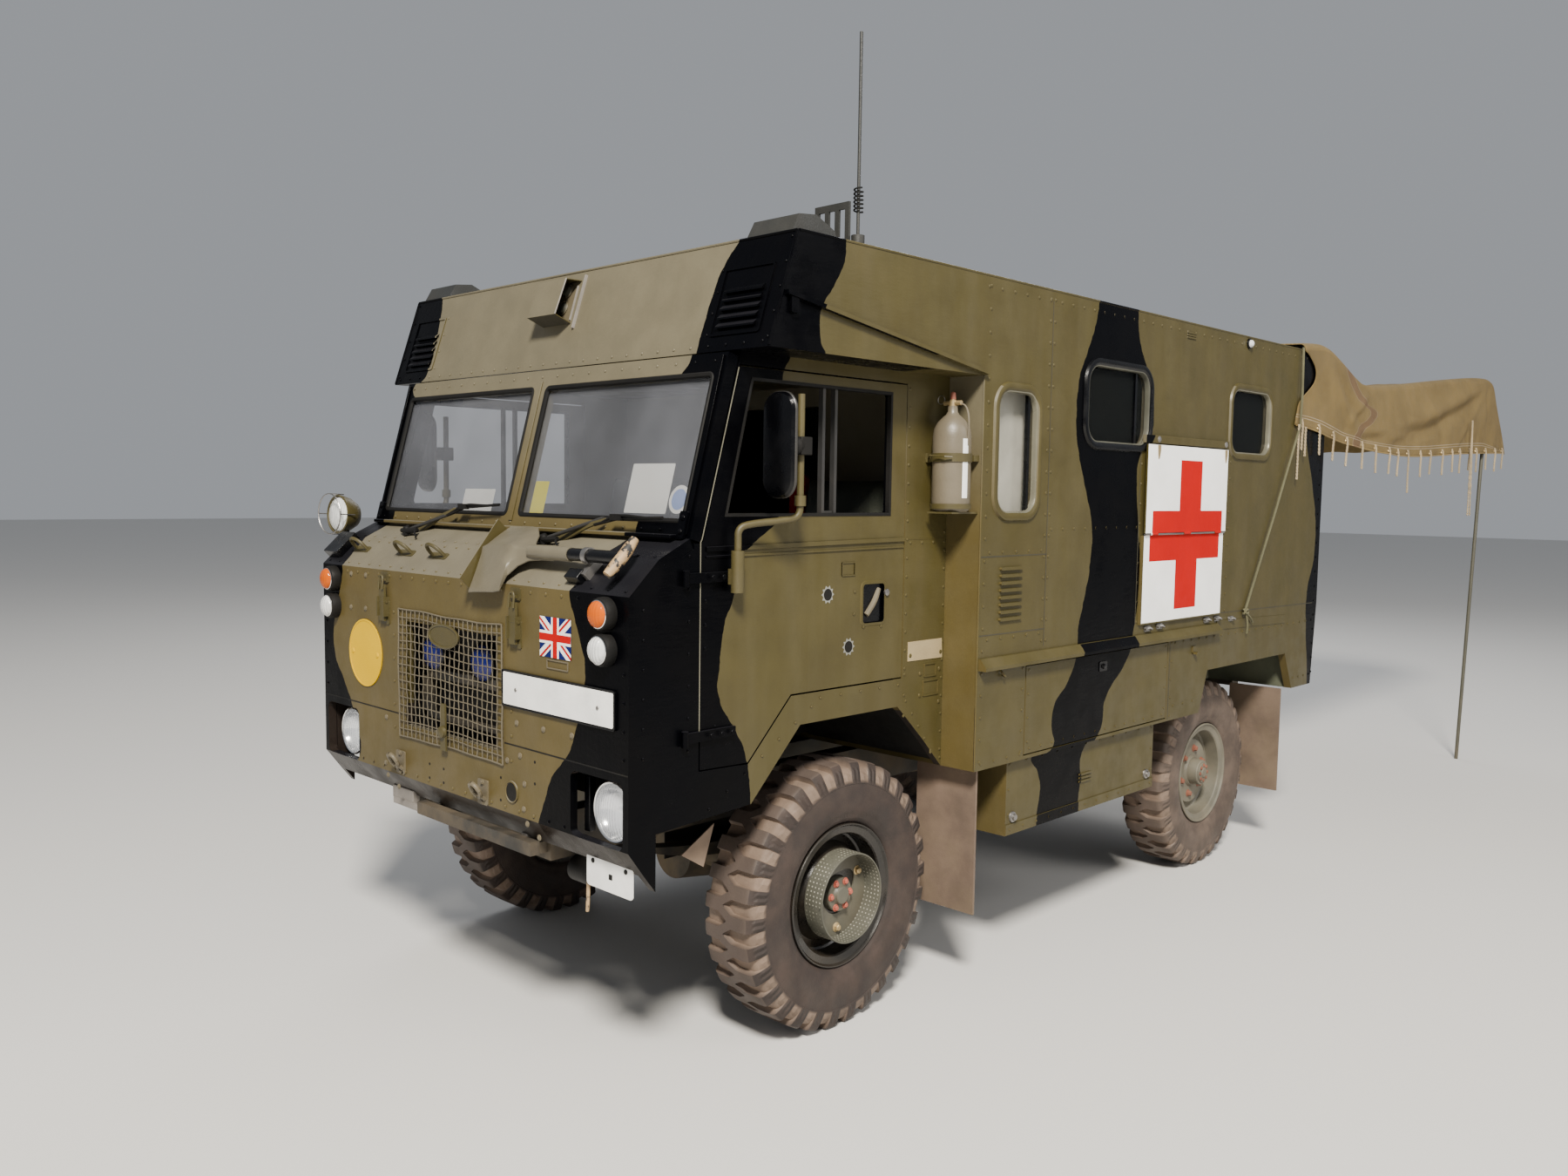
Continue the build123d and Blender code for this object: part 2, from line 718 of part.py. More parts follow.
# Mirrors: a bent tube arm from the upper hinge strap, with a tall rounded head
mirror_x = cab_half + 128.0
with BuildPart() as mirror_left:
    with BuildLine() as arm_line:
        FilletPolyline(
            at(cab_half + 32, -548, 1462),
            at(cab_half + 32, -548, 1632),
            at(mirror_x - 40, -356, 1668),
            at(mirror_x - 40, -356, 2020),
            radius=50,
        )
    rod(arm_line.line, 11)
    with BuildSketch(plan.offset(1455)) as socket:
        with Locations((cab_half + 32, -548)):
            Circle(19)
    extrude(socket.sketch, amount=118)
    block(cab_half + 12, cab_half + 26, -566, -532, 1478, 1522)
    with BuildSketch(nose.offset(378)) as head:
        with Locations((mirror_x + 4, 1872)):
            RectangleRounded(148, 300, 52)
    extrude(head.sketch, amount=22)
    block(mirror_x - 50, mirror_x - 28, -382, -350, 1850, 1894)
with BuildPart() as mirror_right:
    mirror(mirror_left.part, about=Plane.YZ)

# Body front: the wall behind the cab, with the doorway through to the back
doorway = (640.0, 1040.0, 2060.0)
with BuildPart() as body_front:
    block(-body_half, body_half, body_front_y, body_front_y + body_wall, body_bottom, luton_bottom)
    block(
        -doorway[0] / 2,
        doorway[0] / 2,
        body_front_y - 1,
        body_front_y + body_wall + 1,
        doorway[1],
        doorway[2],
        mode=Mode.SUBTRACT,
    )

# Body sides: window cuts, the locker opening and the rear wheel arch
side_start = body_front_y + body_wall
locker = (762.0, 1838.0, 812.0, 1140.0)
rear_arch = [(2142, 795), (2215, 982), (3065, 982), (3166, 795)]
windows = [
    # centre behind the axle, centre height, width, height, corner radius
    (669.0, 1887.0, 252.0, 430.0, 70.0),
    (1358.0, 2086.0, 480.0, 300.0, 78.0),
    (2556.0, 2082.0, 420.0, 296.0, 70.0),
]
tail_seam, tail_slope = 1215.0, 38.0
with BuildPart() as body_side_left:
    side_outline = [
        (side_start, body_bottom),
        (body_rear_y - tail_slope, body_bottom),
        (body_rear_y, tail_seam),
        (body_rear_y, roof_height - roof_skin),
        (side_start, roof_height - roof_skin),
    ]
    plate(side.offset(body_half - body_wall), side_outline, body_wall)
    plate(side.offset(body_half - body_wall), rear_arch, body_wall, mode=Mode.SUBTRACT)
    block(
        body_half - body_wall - 1,
        body_half + 1,
        locker[0],
        locker[1],
        locker[2],
        locker[3],
        mode=Mode.SUBTRACT,
    )
    for y, z, width, height, radius in windows:
        round_hole(side.offset(body_half - body_wall), (y, z), (width, height), radius, body_wall)
    louvre_rows, louvre_pitch = 8, 25.0
    with BuildSketch(side.offset(body_half)) as louvres:
        with Locations((648, 1400)):
            with GridLocations(1, louvre_pitch, 1, louvre_rows):
                SlotOverall(132, 11)
    extrude(louvres.sketch, amount=9)
    block(body_half, body_half + 9, 1572, 2290, 1232, 1586)
with BuildPart() as body_side_right:
    mirror(body_side_left.part, about=Plane.YZ)

# Red cross boards: the upper half folds down over the fixed lower half
flap_hinge_z = 1592.0
flap_thick = 8.0
flap_x = body_half + 9.0
with BuildPart() as cross_flap_left:
    block(flap_x + 3, flap_x + 3 + flap_thick, 1566, 2290, flap_hinge_z + 4, 1950)
    for knuckle_y in (1640.0, 1928.0, 2216.0):
        with BuildSketch(nose.offset(-knuckle_y - 30)) as pin:
            with Locations((flap_x + 7, flap_hinge_z)):
                Circle(6)
        extrude(pin.sketch, amount=60)
with BuildPart() as cross_flap_right:
    mirror(cross_flap_left.part, about=Plane.YZ)

# Locker doors under the side rail, hinged along the top
locker_hinge_z = 1130.0
with BuildPart() as locker_door_left:
    block(
        body_half - 24,
        body_half,
        locker[0] + 5,
        locker[1] - 5,
        locker[2] + 5,
        locker[3] - 6,
    )
with BuildPart() as locker_door_right:
    mirror(locker_door_left.part, about=Plane.YZ)

# Luton: the raked box over the cab, open to the body behind
luton_wall = 34.0
luton_rake = (luton_front_top - luton_front_bottom) / (roof_height - luton_bottom)
roof_front = luton_front_top - roof_skin * luton_rake
luton_lean = atan2(luton_front_top - luton_front_bottom, roof_height - luton_bottom)
slat_count, slat_low, slat_pitch, slat_stand = 5, 72.0, 27.0, 9.0
slat_x, slat_width = 876.0, 158.0
with BuildPart() as luton:
    luton_line = [
        (luton_front_bottom, luton_bottom),
        (roof_front, roof_height - roof_skin),
        (side_start, roof_height - roof_skin),
        (side_start, luton_bottom),
    ]
    plate(side.offset(-body_half), luton_line, 2 * body_half)
    inner = [
        (luton_front_bottom + luton_wall + 12, luton_bottom + 26),
        (roof_front + luton_wall, roof_height - roof_skin + 1),
        (side_start + 1, roof_height - roof_skin + 1),
        (side_start + 1, luton_bottom + 26),
    ]
    plate(side.offset(-body_half + luton_wall), inner, 2 * (body_half - luton_wall), mode=Mode.SUBTRACT)
    block(-560, 560, body_front_y + 1, side_start + 1, luton_bottom - 1, luton_bottom + 30, mode=Mode.SUBTRACT)
    front_slope = Plane(
        at(0, luton_front_bottom, luton_bottom),
        x_dir=(1, 0, 0),
        z_dir=Vector(0, -cos(luton_lean), sin(luton_lean)),
    )
    for slat in range(slat_count):
        low = slat_low + slat * slat_pitch
        fin = [(low, 0), (low - 5, slat_stand), (low + 1, slat_stand), (low + 14, 0)]
        for hand in (-1, 1):
            start_x = hand * slat_x - slat_width / 2
            fin_plane = Plane(
                front_slope.from_local_coords((start_x, 0, 0)),
                x_dir=front_slope.y_dir,
                z_dir=(1, 0, 0),
            )
            with BuildSketch(fin_plane) as shape:
                with BuildLine():
                    Polyline(*fin, close=True)
                make_face()
            extrude(shape.sketch, amount=slat_width)

# Roof skin over the body and the luton
with BuildPart() as body_roof:
    roof_line = [
        (roof_front, roof_height - roof_skin),
        (luton_front_top, roof_height),
        (body_rear_y, roof_height),
        (body_rear_y, roof_height - roof_skin),
    ]
    plate(side.offset(-body_half), roof_line, 2 * body_half)

# Body floor: the gangway on its bearers
bench_x, bench_top, bench_wall = 600.0, 1400.0, 20.0
rear_wall_y = body_rear_y - body_wall
inner_body = body_half - body_wall
gangway_half = bench_x - bench_wall
tail_cut = [
    (rear_wall_y - tail_slope, body_bottom),
    (rear_wall_y, tail_seam),
    (rear_wall_y + 9, tail_seam),
    (rear_wall_y + 9, body_bottom - 9),
    (rear_wall_y - tail_slope, body_bottom - 9),
]
with BuildPart() as body_floor:
    block(-gangway_half, gangway_half, side_start, rear_wall_y, floor_top - 22, floor_top)
    for bearer_y in (560.0, 1180.0, 2000.0, 3330.0):
        block(-gangway_half, gangway_half, bearer_y - 30, bearer_y + 30, body_bottom, floor_top - 22)
    plate(side.offset(-gangway_half), tail_cut, 2 * gangway_half, mode=Mode.SUBTRACT)

# Benches over the lockers: a top, a long wall, the locker tray, partitions and the skin over each rear wheel
with BuildPart() as bench_left:
    block(gangway_half, bench_x, side_start, rear_wall_y, body_bottom, bench_top)
    block(bench_x, inner_body, side_start, rear_wall_y, bench_top - 20, bench_top)
    block(bench_x, inner_body, side_start, 2142, body_bottom, body_bottom + 12)
    block(bench_x, inner_body, 2120, 3190, 986, 1000)
    block(bench_x, inner_body, 3170, rear_wall_y, body_bottom, body_bottom + 12)
    for wall_y in (side_start, 740.0, 1852.0, 2120.0, 3170.0):
        block(bench_x, inner_body, wall_y, wall_y + 16, body_bottom, bench_top - 10)
    plate(side.offset(gangway_half), tail_cut, inner_body - gangway_half, mode=Mode.SUBTRACT)
with BuildPart() as bench_right:
    mirror(bench_left.part, about=Plane.YZ)

# Rear frame: the wall round the two doors
door_half, rear_low, rear_high = 560.0, 1016.0, 2236.0
with BuildPart() as rear_frame:
    rear_section = [
        (rear_wall_y - tail_slope, body_bottom),
        (body_rear_y - tail_slope, body_bottom),
        (body_rear_y, tail_seam),
        (body_rear_y, roof_height - roof_skin),
        (rear_wall_y, roof_height - roof_skin),
        (rear_wall_y, tail_seam),
    ]
    plate(side.offset(-inner_body), rear_section, 2 * inner_body)
    block(
        -door_half - 5,
        door_half + 5,
        rear_wall_y - 1,
        body_rear_y + 1,
        rear_low - 5,
        rear_high + 5,
        mode=Mode.SUBTRACT,
    )

# Rear doors: two leaves with a rounded window each, hinged on the outside edges
with BuildPart() as rear_door_left:
    block(3, door_half, body_rear_y - 32, body_rear_y + 3, tail_seam + 3, rear_high)
    block(3, door_half, body_rear_y - 32, body_rear_y - tail_slope + 27, rear_low, tail_seam + 3)
    round_hole(nose.offset(-body_rear_y - 4), (282, 1950), (330, 360), 60, 40)
    for strap_z in (1275.0, 1690.0, 2110.0):
        with BuildSketch(plan.offset(strap_z - 40)) as knuckle:
            with Locations((door_half + 4, body_rear_y + 12)):
                Circle(9)
        extrude(knuckle.sketch, amount=80)
        block(door_half - 90, door_half + 4, body_rear_y + 3, body_rear_y + 12, strap_z - 22, strap_z + 22)
with BuildPart() as rear_door_right:
    mirror(rear_door_left.part, about=Plane.YZ)

# Window glass fixed in the cab front and the body sides
pane_thick = 6.0
with BuildPart() as window_glass:
    with BuildSketch(screen.offset(-screen_thick / 2)) as panes:
        for hand in (-1, 1):
            with Locations((hand * pane_x, (pane_low + pane_high) / 2)):
                RectangleRounded(2 * pane_half_w - 1, pane_high - pane_low - 1, 18)
    extrude(panes.sketch, amount=pane_thick)
    for hand in (-1, 1):
        pane_x0 = body_half - 22 if hand > 0 else -body_half + 16
        for y, z, width, height, radius in windows:
            with BuildSketch(side.offset(pane_x0)) as pane:
                with Locations((y, z)):
                    RectangleRounded(width - 1, height - 1, radius)
            extrude(pane.sketch, amount=pane_thick)

# Side rails: the awning rail over the lockers and the slanting gutter on the luton
with BuildPart() as side_rails:
    for hand in (-1, 1):
        outer = hand * body_half
        rail_section = [
            (outer, 1146),
            (outer + hand * 34, 1146),
            (outer + hand * 34, 1158),
            (outer + hand * 10, 1186),
            (outer, 1186),
        ]
        plate(nose.offset(-2280), rail_section, 2280 - 470)
        gutter = [(-486, 2280), (470, 2136), (470, 2148), (-486, 2292)]
        start_x = outer if hand > 0 else outer - 16
        plate(side.offset(start_x), gutter, 16)

# Sill boxes under the body between the axles
with BuildPart() as sill_boxes:
    for hand in (-1, 1):
        low_x, high_x = sorted((hand * 700, hand * 1002))
        block(low_x, high_x, 705, 1792, 524, body_bottom)

# Mudflaps behind each wheel
with BuildPart() as mudflaps:
    for flap_y, low_x, high_x, low_z in ((522.0, 745.0, 1000.0, 280.0), (3100.0, 745.0, 1005.0, 285.0)):
        for hand in (-1, 1):
            x0, x1 = sorted((hand * low_x, hand * high_x))
            block(x0, x1, flap_y, flap_y + 10, low_z, body_bottom)

# Headlamps in their recesses, side lamps and indicators on the cab front
with BuildPart() as front_lamps:
    for hand in (-1, 1):
        axis = Axis(at(hand * lamp_x, 0, lamp_z), (0, 1, 0))
        with BuildSketch(Plane(at(hand * lamp_x, -808, lamp_z), x_dir=(1, 0, 0), z_dir=(0, 0, 1))) as bowl:
            with BuildLine():
                Polyline(
                    (0, 0),
                    (0, -78),
                    (50, -72),
                    (lamp_radius - 8, -58),
                    (lamp_radius, -52),
                    (lamp_radius, -40),
                    (46, 0),
                    close=True,
                )
            make_face()
        revolve(bowl.sketch, axis=axis)
        for lens_z in (1408.0, 1311.0):
            axis = Axis(at(hand * 796, 0, lens_z), (0, 1, 0))
            with BuildSketch(Plane(at(hand * 796, front_face, lens_z), x_dir=(1, 0, 0), z_dir=(0, 0, 1))) as lens:
                with BuildLine():
                    Polyline((0, 0), (46, 0), (46, -26), (39, -30), (34, -42), (20, -50), (0, -52), close=True)
                make_face()
            revolve(lens.sketch, axis=axis)

# Rear lamps low on the sloped foot of the rear frame
tail = Plane(
    at(0, body_rear_y - tail_slope, body_bottom),
    x_dir=(-1, 0, 0),
    z_dir=Vector(0, tail_seam - body_bottom, -tail_slope).normalized(),
)
with BuildPart() as rear_lamps:
    for hand in (-1, 1):
        for lens_height in (110.0, 215.0, 320.0):
            with BuildSketch(tail) as lens:
                with Locations((hand * 860, lens_height)):
                    Circle(44)
            extrude(lens.sketch, amount=34)

# Wipers: a boss on the cowl and an arm up to each pane
with BuildPart() as wipers:
    for pivot_x in (-513.0, 317.0):
        with BuildSketch(plan.offset(1579)) as boss:
            with Locations((pivot_x, -775)):
                Circle(13)
        extrude(boss.sketch, amount=18)
        arm = Edge.make_line(at(pivot_x, -775, 1590), at(pivot_x + 205, -712, 1656))
        rod(arm, 6)

# Shovel strapped across the cowl slope
cowl = Plane(at(0, -840, 1524), x_dir=(1, 0, 0), z_dir=Vector(0, -1, 1).normalized())
with BuildPart() as shovel:
    with BuildSketch(cowl.offset(5)) as blade:
        with BuildLine():
            Polyline(
                (-150, -46),
                (-128, 50),
                (120, 54),
                (240, 24),
                (410, 18),
                (410, -18),
                (240, -26),
                (120, -60),
                close=True,
            )
        make_face()
    extrude(blade.sketch, amount=14)
    shaft_line = Edge.make_line(cowl.from_local_coords((360, 0, 26)), cowl.from_local_coords((840, 0, 26)))
    rod(shaft_line, 19)
    with BuildSketch(cowl.offset(12)) as grip:
        with Locations((840, 0)):
            Rectangle(34, 118)
    extrude(grip.sketch, amount=30)

# Gas cylinder on the step beside the cab, with its valve and clamp
cylinder_x, cylinder_y = 968.0, 380.0
with BuildPart() as gas_cylinder:
    with BuildSketch(Plane(at(cylinder_x, cylinder_y, 1680), x_dir=(1, 0, 0), z_dir=(0, -1, 0))) as bottle:
        with BuildLine():
            Polyline((0, 0), (68, 0), (73, 6), (73, 286), (66, 308), (46, 330), (18, 342))
            Polyline((18, 342), (18, 372), (12, 376), (12, 410), (0, 410), (0, 0))
        make_face()
    revolve(bottle.sketch, axis=Axis(at(cylinder_x, cylinder_y, 0), (0, 0, 1)))
    block(cylinder_x - 44, cylinder_x + 44, cylinder_y, body_front_y, 1838, 1862)

# Roof fittings: a covered beacon at each front corner, a barred guard and a whip aerial
with BuildPart() as roof_fittings:
    for hand in (-1, 1):
        cover = [(-430, roof_height), (-400, 2516), (-330, 2524), (-250, 2490), (-240, roof_height)]
        start_x = 820 if hand > 0 else -1000
        plate(side.offset(start_x), cover, 180)
    for bar_x in (862.0, 902.0, 942.0, 982.0):
        block(bar_x - 8, bar_x + 8, -180, -172, roof_height, 2586)
    block(854, 990, -180, -172, 2570, 2590)
    block(854, 990, -190, -162, roof_height, 2476)
    with BuildSketch(plan.offset(roof_height)) as whip:
        with Locations((1000, -150)):
            Circle(5)
    extrude(whip.sketch, amount=610)
    with BuildSketch(plan.offset(roof_height)) as foot:
        with Locations((1000, -150)):
            Circle(20)
    extrude(foot.sketch, amount=30)

# Convoy lamp box on the luton front
with BuildPart() as lamp_box:
    rake = luton_rake
    face_y = luton_front_bottom
    wedge = [
        (face_y + rake * 96, luton_bottom + 96),
        (face_y + rake * 96 - 120, luton_bottom + 120),
        (face_y + rake * 250, luton_bottom + 250),
    ]
    for wall_x in (-60.0, 92.0):
        plate(side.offset(wall_x), wedge, 8)
    foot = [
        (face_y + rake * 96, luton_bottom + 96),
        (face_y + rake * 96 - 120, luton_bottom + 120),
        (face_y + rake * 96 - 120, luton_bottom + 128),
        (face_y + rake * 104, luton_bottom + 104),
    ]
    plate(side.offset(-60), foot, 160)

# Canopy: a canvas lashed over the roof's rear edge, sagging to two poles, with flaps hung all round
canopy_half = 1048.0
canvas = 12.0
canopy_tops = [
    # behind the axle, height of the upper face, height of the lower face
    (2910.0, 2478.0, roof_height + 1),
    (3246.0, 2514.0, roof_height + 1),
    (3436.0, 2522.0, roof_height + 1),
    (3648.0, 2460.0, 2446.0),
    (3831.0, 2399.0, 2386.0),
    (4002.0, 2358.0, 2346.0),
    (4413.0, 2388.0, 2376.0),
    (5060.0, 2462.0, 2450.0),
    (5896.0, 2547.0, 2535.0),
    (6249.0, 2569.0, 2557.0),
]
end_fall = [(6400.0, 2545.0), (6490.0, 2415.0), (6660.0, 2233.0), (6750.0, 2106.0)]
hem_line = [(5496.0, 2034.0), (4914.0, 1999.0), (4374.0, 1993.0), (3884.0, 2019.0), (3553.0, 2048.0)]
front_edge = [(3277.0, 2088.0), (3074.0, 2098.0), (3128.0, 2244.0), (3290.0, 2362.0), (3120.0, 2470.0)]
with BuildPart() as canopy:
    upper = [(y, top) for y, top, under in canopy_tops]
    lower = [(y, under) for y, top, under in canopy_tops]
    inner_fall = [(y - canvas, z - 4) for y, z in end_fall[:-1]] + [(end_fall[-1][0] - canvas, end_fall[-1][1])]
    plate(side.offset(-canopy_half), upper + end_fall + inner_fall[::-1] + lower[::-1], 2 * canopy_half)
    flap = upper[1:] + end_fall + hem_line + front_edge
    for start_x in (-canopy_half, canopy_half - canvas):
        plate(side.offset(start_x), flap, canvas)

# Canopy poles
pole_radius = 11.0
pole_x, pole_foot, pole_head = 1018.0, 6100.0, 6330.0
with BuildPart() as canopy_poles:
    for hand in (-1, 1):
        line = Edge.make_line(at(hand * pole_x, pole_foot, 0), at(hand * pole_x, pole_head, 2546))
        rod(line, pole_radius)
    block(-1040, 1040, 6000, 6200, -60, 0, mode=Mode.SUBTRACT)

pieces = {
    "chassis": chassis,
    "leaf_springs": leaf_springs,
    "front_axle": front_axle_beam,
    "rear_axle": rear_axle_beam,
    "knuckle_left": knuckle_left,
    "knuckle_right": knuckle_right,
    "track_rod": track_rod,
    "wheel_front_left": wheel_front_left,
    "wheel_front_right": wheel_front_right,
    "wheel_rear_left": wheel_rear_left,
    "wheel_rear_right": wheel_rear_right,
    "tyre_front_left": tyre_front_left,
    "tyre_front_right": tyre_front_right,
    "tyre_rear_left": tyre_rear_left,
    "tyre_rear_right": tyre_rear_right,
    "power_unit": power_unit,
    "propshafts": propshafts,
    "radiator": radiator,
    "cab_front": cab_front,
    "front_valance": front_valance,
    "grille": grille,
    "windscreen_frame": windscreen_frame,
    "window_glass": window_glass,
    "cab_side_left": cab_side_left,
    "cab_side_right": cab_side_right,
    "cab_floor": cab_floor,
    "seats": seats,
    "steering_column": steering_column,
    "steering_wheel": steering_wheel,
    "door_left": door_left,
    "door_right": door_right,
    "mirror_left": mirror_left,
    "mirror_right": mirror_right,
    "body_front": body_front,
    "body_side_left": body_side_left,
    "body_side_right": body_side_right,
    "body_roof": body_roof,
    "body_floor": body_floor,
    "bench_left": bench_left,
    "bench_right": bench_right,
    "luton": luton,
    "rear_frame": rear_frame,
    "rear_door_left": rear_door_left,
    "rear_door_right": rear_door_right,
    "locker_door_left": locker_door_left,
    "locker_door_right": locker_door_right,
    "cross_flap_left": cross_flap_left,
    "cross_flap_right": cross_flap_right,
    "side_rails": side_rails,
    "sill_boxes": sill_boxes,
    "mudflaps": mudflaps,
    "front_lamps": front_lamps,
    "rear_lamps": rear_lamps,
    "wipers": wipers,
    "shovel": shovel,
    "gas_cylinder": gas_cylinder,
    "roof_fittings": roof_fittings,
    "lamp_box": lamp_box,
    "canopy": canopy,
    "canopy_poles": canopy_poles,
}
for name, piece in pieces.items():
    piece.part.label = name
    export_step(piece.part, f"parts/{name}.step")
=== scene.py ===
"""Looks of a forward-control field ambulance with a box body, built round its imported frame.

Truck coordinates are metres: X to the truck's own left, Y behind the front axle, Z above the ground.
"""

import json
import logging
import math
from dataclasses import dataclass, field
from enum import Enum
from typing import Iterable, Optional, Sequence, Union

import bmesh
import bpy
import numpy as np
from mathutils import Matrix, Vector

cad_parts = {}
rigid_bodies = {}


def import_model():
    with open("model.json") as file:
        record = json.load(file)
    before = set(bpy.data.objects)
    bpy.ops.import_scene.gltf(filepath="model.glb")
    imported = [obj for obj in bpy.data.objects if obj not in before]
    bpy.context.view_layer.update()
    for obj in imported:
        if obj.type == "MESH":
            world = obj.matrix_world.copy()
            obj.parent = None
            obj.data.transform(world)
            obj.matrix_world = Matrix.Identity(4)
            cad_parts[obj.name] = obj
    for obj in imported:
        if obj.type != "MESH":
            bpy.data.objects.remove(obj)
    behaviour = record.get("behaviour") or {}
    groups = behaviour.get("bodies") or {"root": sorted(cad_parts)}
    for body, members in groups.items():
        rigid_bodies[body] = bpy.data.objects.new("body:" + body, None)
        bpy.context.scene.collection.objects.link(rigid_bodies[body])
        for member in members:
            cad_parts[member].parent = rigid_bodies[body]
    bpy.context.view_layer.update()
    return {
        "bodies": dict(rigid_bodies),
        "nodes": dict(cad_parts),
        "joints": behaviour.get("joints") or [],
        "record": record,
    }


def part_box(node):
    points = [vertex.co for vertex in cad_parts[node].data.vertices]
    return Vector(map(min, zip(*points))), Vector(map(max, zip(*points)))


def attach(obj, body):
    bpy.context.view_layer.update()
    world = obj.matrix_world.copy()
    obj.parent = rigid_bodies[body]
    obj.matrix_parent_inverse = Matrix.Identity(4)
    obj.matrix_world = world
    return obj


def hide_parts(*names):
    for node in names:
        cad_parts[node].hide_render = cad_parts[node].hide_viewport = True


Array = np.ndarray
Rgb = tuple[float, float, float]
Socket = bpy.types.NodeSocket
Value = Union[float, Rgb, Socket]
AHEAD = (0.0, -1.0, 0.0)
BEHIND = (0.0, 1.0, 0.0)
LEFT = (1.0, 0.0, 0.0)
UP = (0.0, 0.0, 1.0)
SIDES = {1: "left", -1: "right"}
log = logging.getLogger("ambulance")


# Geometry


@dataclass
class Solid:
    """A mesh in truck coordinates: its points, its faces' corners in a row, and each face's corner count."""

    verts: Array
    loops: Array
    sizes: Array



    def mirrored(self) -> "Solid":
        """The same mesh on the truck's other side."""
        return Solid(self.verts * np.array((-1.0, 1.0, 1.0)), self.loops, self.sizes)

    def on(self, hand: int) -> "Solid":
        """A mesh drawn for the left, on the left for 1 and on the right for -1."""
        return self if hand > 0 else self.mirrored()

    def copies(self, places: Array) -> "Solid":
        """One mesh that holds this one at each of several offsets.

        Args:
            places: offsets, one row of three numbers each.
        Returns:
            The joined copies, worked out as one array.
        """
        places = np.atleast_2d(places)
        count, step = len(places), len(self.verts)
        verts = (self.verts[None] + places[:, None]).reshape(-1, 3)
        loops = (self.loops[None] + step * np.arange(count)[:, None]).ravel()
        return Solid(verts, loops, np.tile(self.sizes, count))

    @staticmethod
    def joined(solids: Union["Solid", Iterable["Solid"]]) -> "Solid":
        """One mesh from one or several.

        Args:
            solids: the meshes to join.
        Returns:
            A mesh with all their faces.
        """
        parts = [solids] if isinstance(solids, Solid) else list(solids)
        starts = np.cumsum([0] + [len(p.verts) for p in parts[:-1]])
        return Solid(
            np.concatenate([p.verts for p in parts]),
            np.concatenate([p.loops + s for p, s in zip(parts, starts)]),
            np.concatenate([p.sizes for p in parts]),
        )


@dataclass(frozen=True)
class Face:
    """A flat working plane: an origin with two directions in it, and its normal out of the surface."""

    origin: tuple[float, float, float]
    across: tuple[float, float, float]
    up: tuple[float, float, float]

    def at(self, flat: Array, lift: Union[float, Array] = 0.0) -> Array:
        """Points of space from points of the plane.

        Args:
            flat: points of the plane, two numbers each.
            lift: height above the plane, one for all or one for each.
        Returns:
            The points, three numbers each: origin + a * across + b * up + lift * normal.
        """
        flat = np.asarray(flat, float)
        a, b = unit(self.across), unit(self.up)
        lift = np.broadcast_to(np.asarray(lift, float), flat.shape[:-1])
        on_plane = np.asarray(self.origin) + flat[..., :1] * a + flat[..., 1:2] * b
        return on_plane + lift[..., None] * np.cross(a, b)

    def lifted(self, lift: float) -> "Face":
        """The plane at a height over this one."""
        return Face(tuple(self.at([(0.0, 0.0)], lift)[0]), self.across, self.up)


def unit(vector: Sequence[float]) -> Array:
    """The vector at length one."""
    array = np.asarray(vector, float)
    return array / np.linalg.norm(array, axis=-1, keepdims=True)


def left_face(x: float) -> Face:
    """The upright plane that faces the truck's left: Y along, Z up."""
    return Face((x, 0.0, 0.0), BEHIND, UP)


def front_face(y: float) -> Face:
    """The upright plane that faces ahead: X along, Z up."""
    return Face((0.0, y, 0.0), LEFT, UP)


def rear_face(y: float) -> Face:
    """The upright plane that faces behind: minus X along, Z up."""
    return Face((0.0, y, 0.0), (-1.0, 0.0, 0.0), UP)


def top_face(z: float) -> Face:
    """The level plane that faces up: X along, Y up."""
    return Face((0.0, 0.0, z), LEFT, BEHIND)


def skin(rings: Array, ring_closed: bool = True, path_closed: bool = False, capped: bool = True) -> Solid:
    """Quads between neighbouring sections of a body.

    Args:
        rings: sections by points by three.
        ring_closed: whether the last point of a section joins its first.
        path_closed: whether the last section joins the first.
        capped: whether the first and last sections are filled.
    Returns:
        The surface.
    """
    rows, cols = rings.shape[:2]
    index = np.arange(rows * cols).reshape(rows, cols)
    if path_closed:
        index = np.concatenate([index, index[:1]])
    if ring_closed:
        index = np.concatenate([index, index[:, :1]], axis=1)
    quads = np.stack([index[:-1, :-1], index[:-1, 1:], index[1:, 1:], index[1:, :-1]], -1).reshape(-1, 4)
    loops, sizes = [quads.ravel()], [np.full(len(quads), 4)]
    if capped and ring_closed and not path_closed:
        loops += [index[0, :cols][::-1], index[-1, :cols]]
        sizes += [np.array([cols]), np.array([cols])]
    return Solid(rings.reshape(-1, 3).astype(float), np.concatenate(loops), np.concatenate(sizes))


def slab(outline: Sequence, face: Face, low: float, high: float) -> Solid:
    """A flat plate of this outline between two heights over a plane."""
    flat = np.asarray(outline, float)
    return skin(np.stack([face.at(flat, low), face.at(flat, high)]))


def outward(outline: Array) -> Array:
    """Unit normals at the corners of a closed outline, pointing out of it."""
    after, before = np.roll(outline, -1, 0), np.roll(outline, 1, 0)
    ahead, back = unit(after - outline), unit(outline - before)
    turn = np.stack([ahead[:, 1] + back[:, 1], -ahead[:, 0] - back[:, 0]], -1)
    area = np.sum(outline[:, 0] * after[:, 1] - after[:, 0] * outline[:, 1])
    spread = np.clip(1 + np.sum(ahead * back, -1, keepdims=True), 0.3, None)
    return turn / spread * np.sign(area)


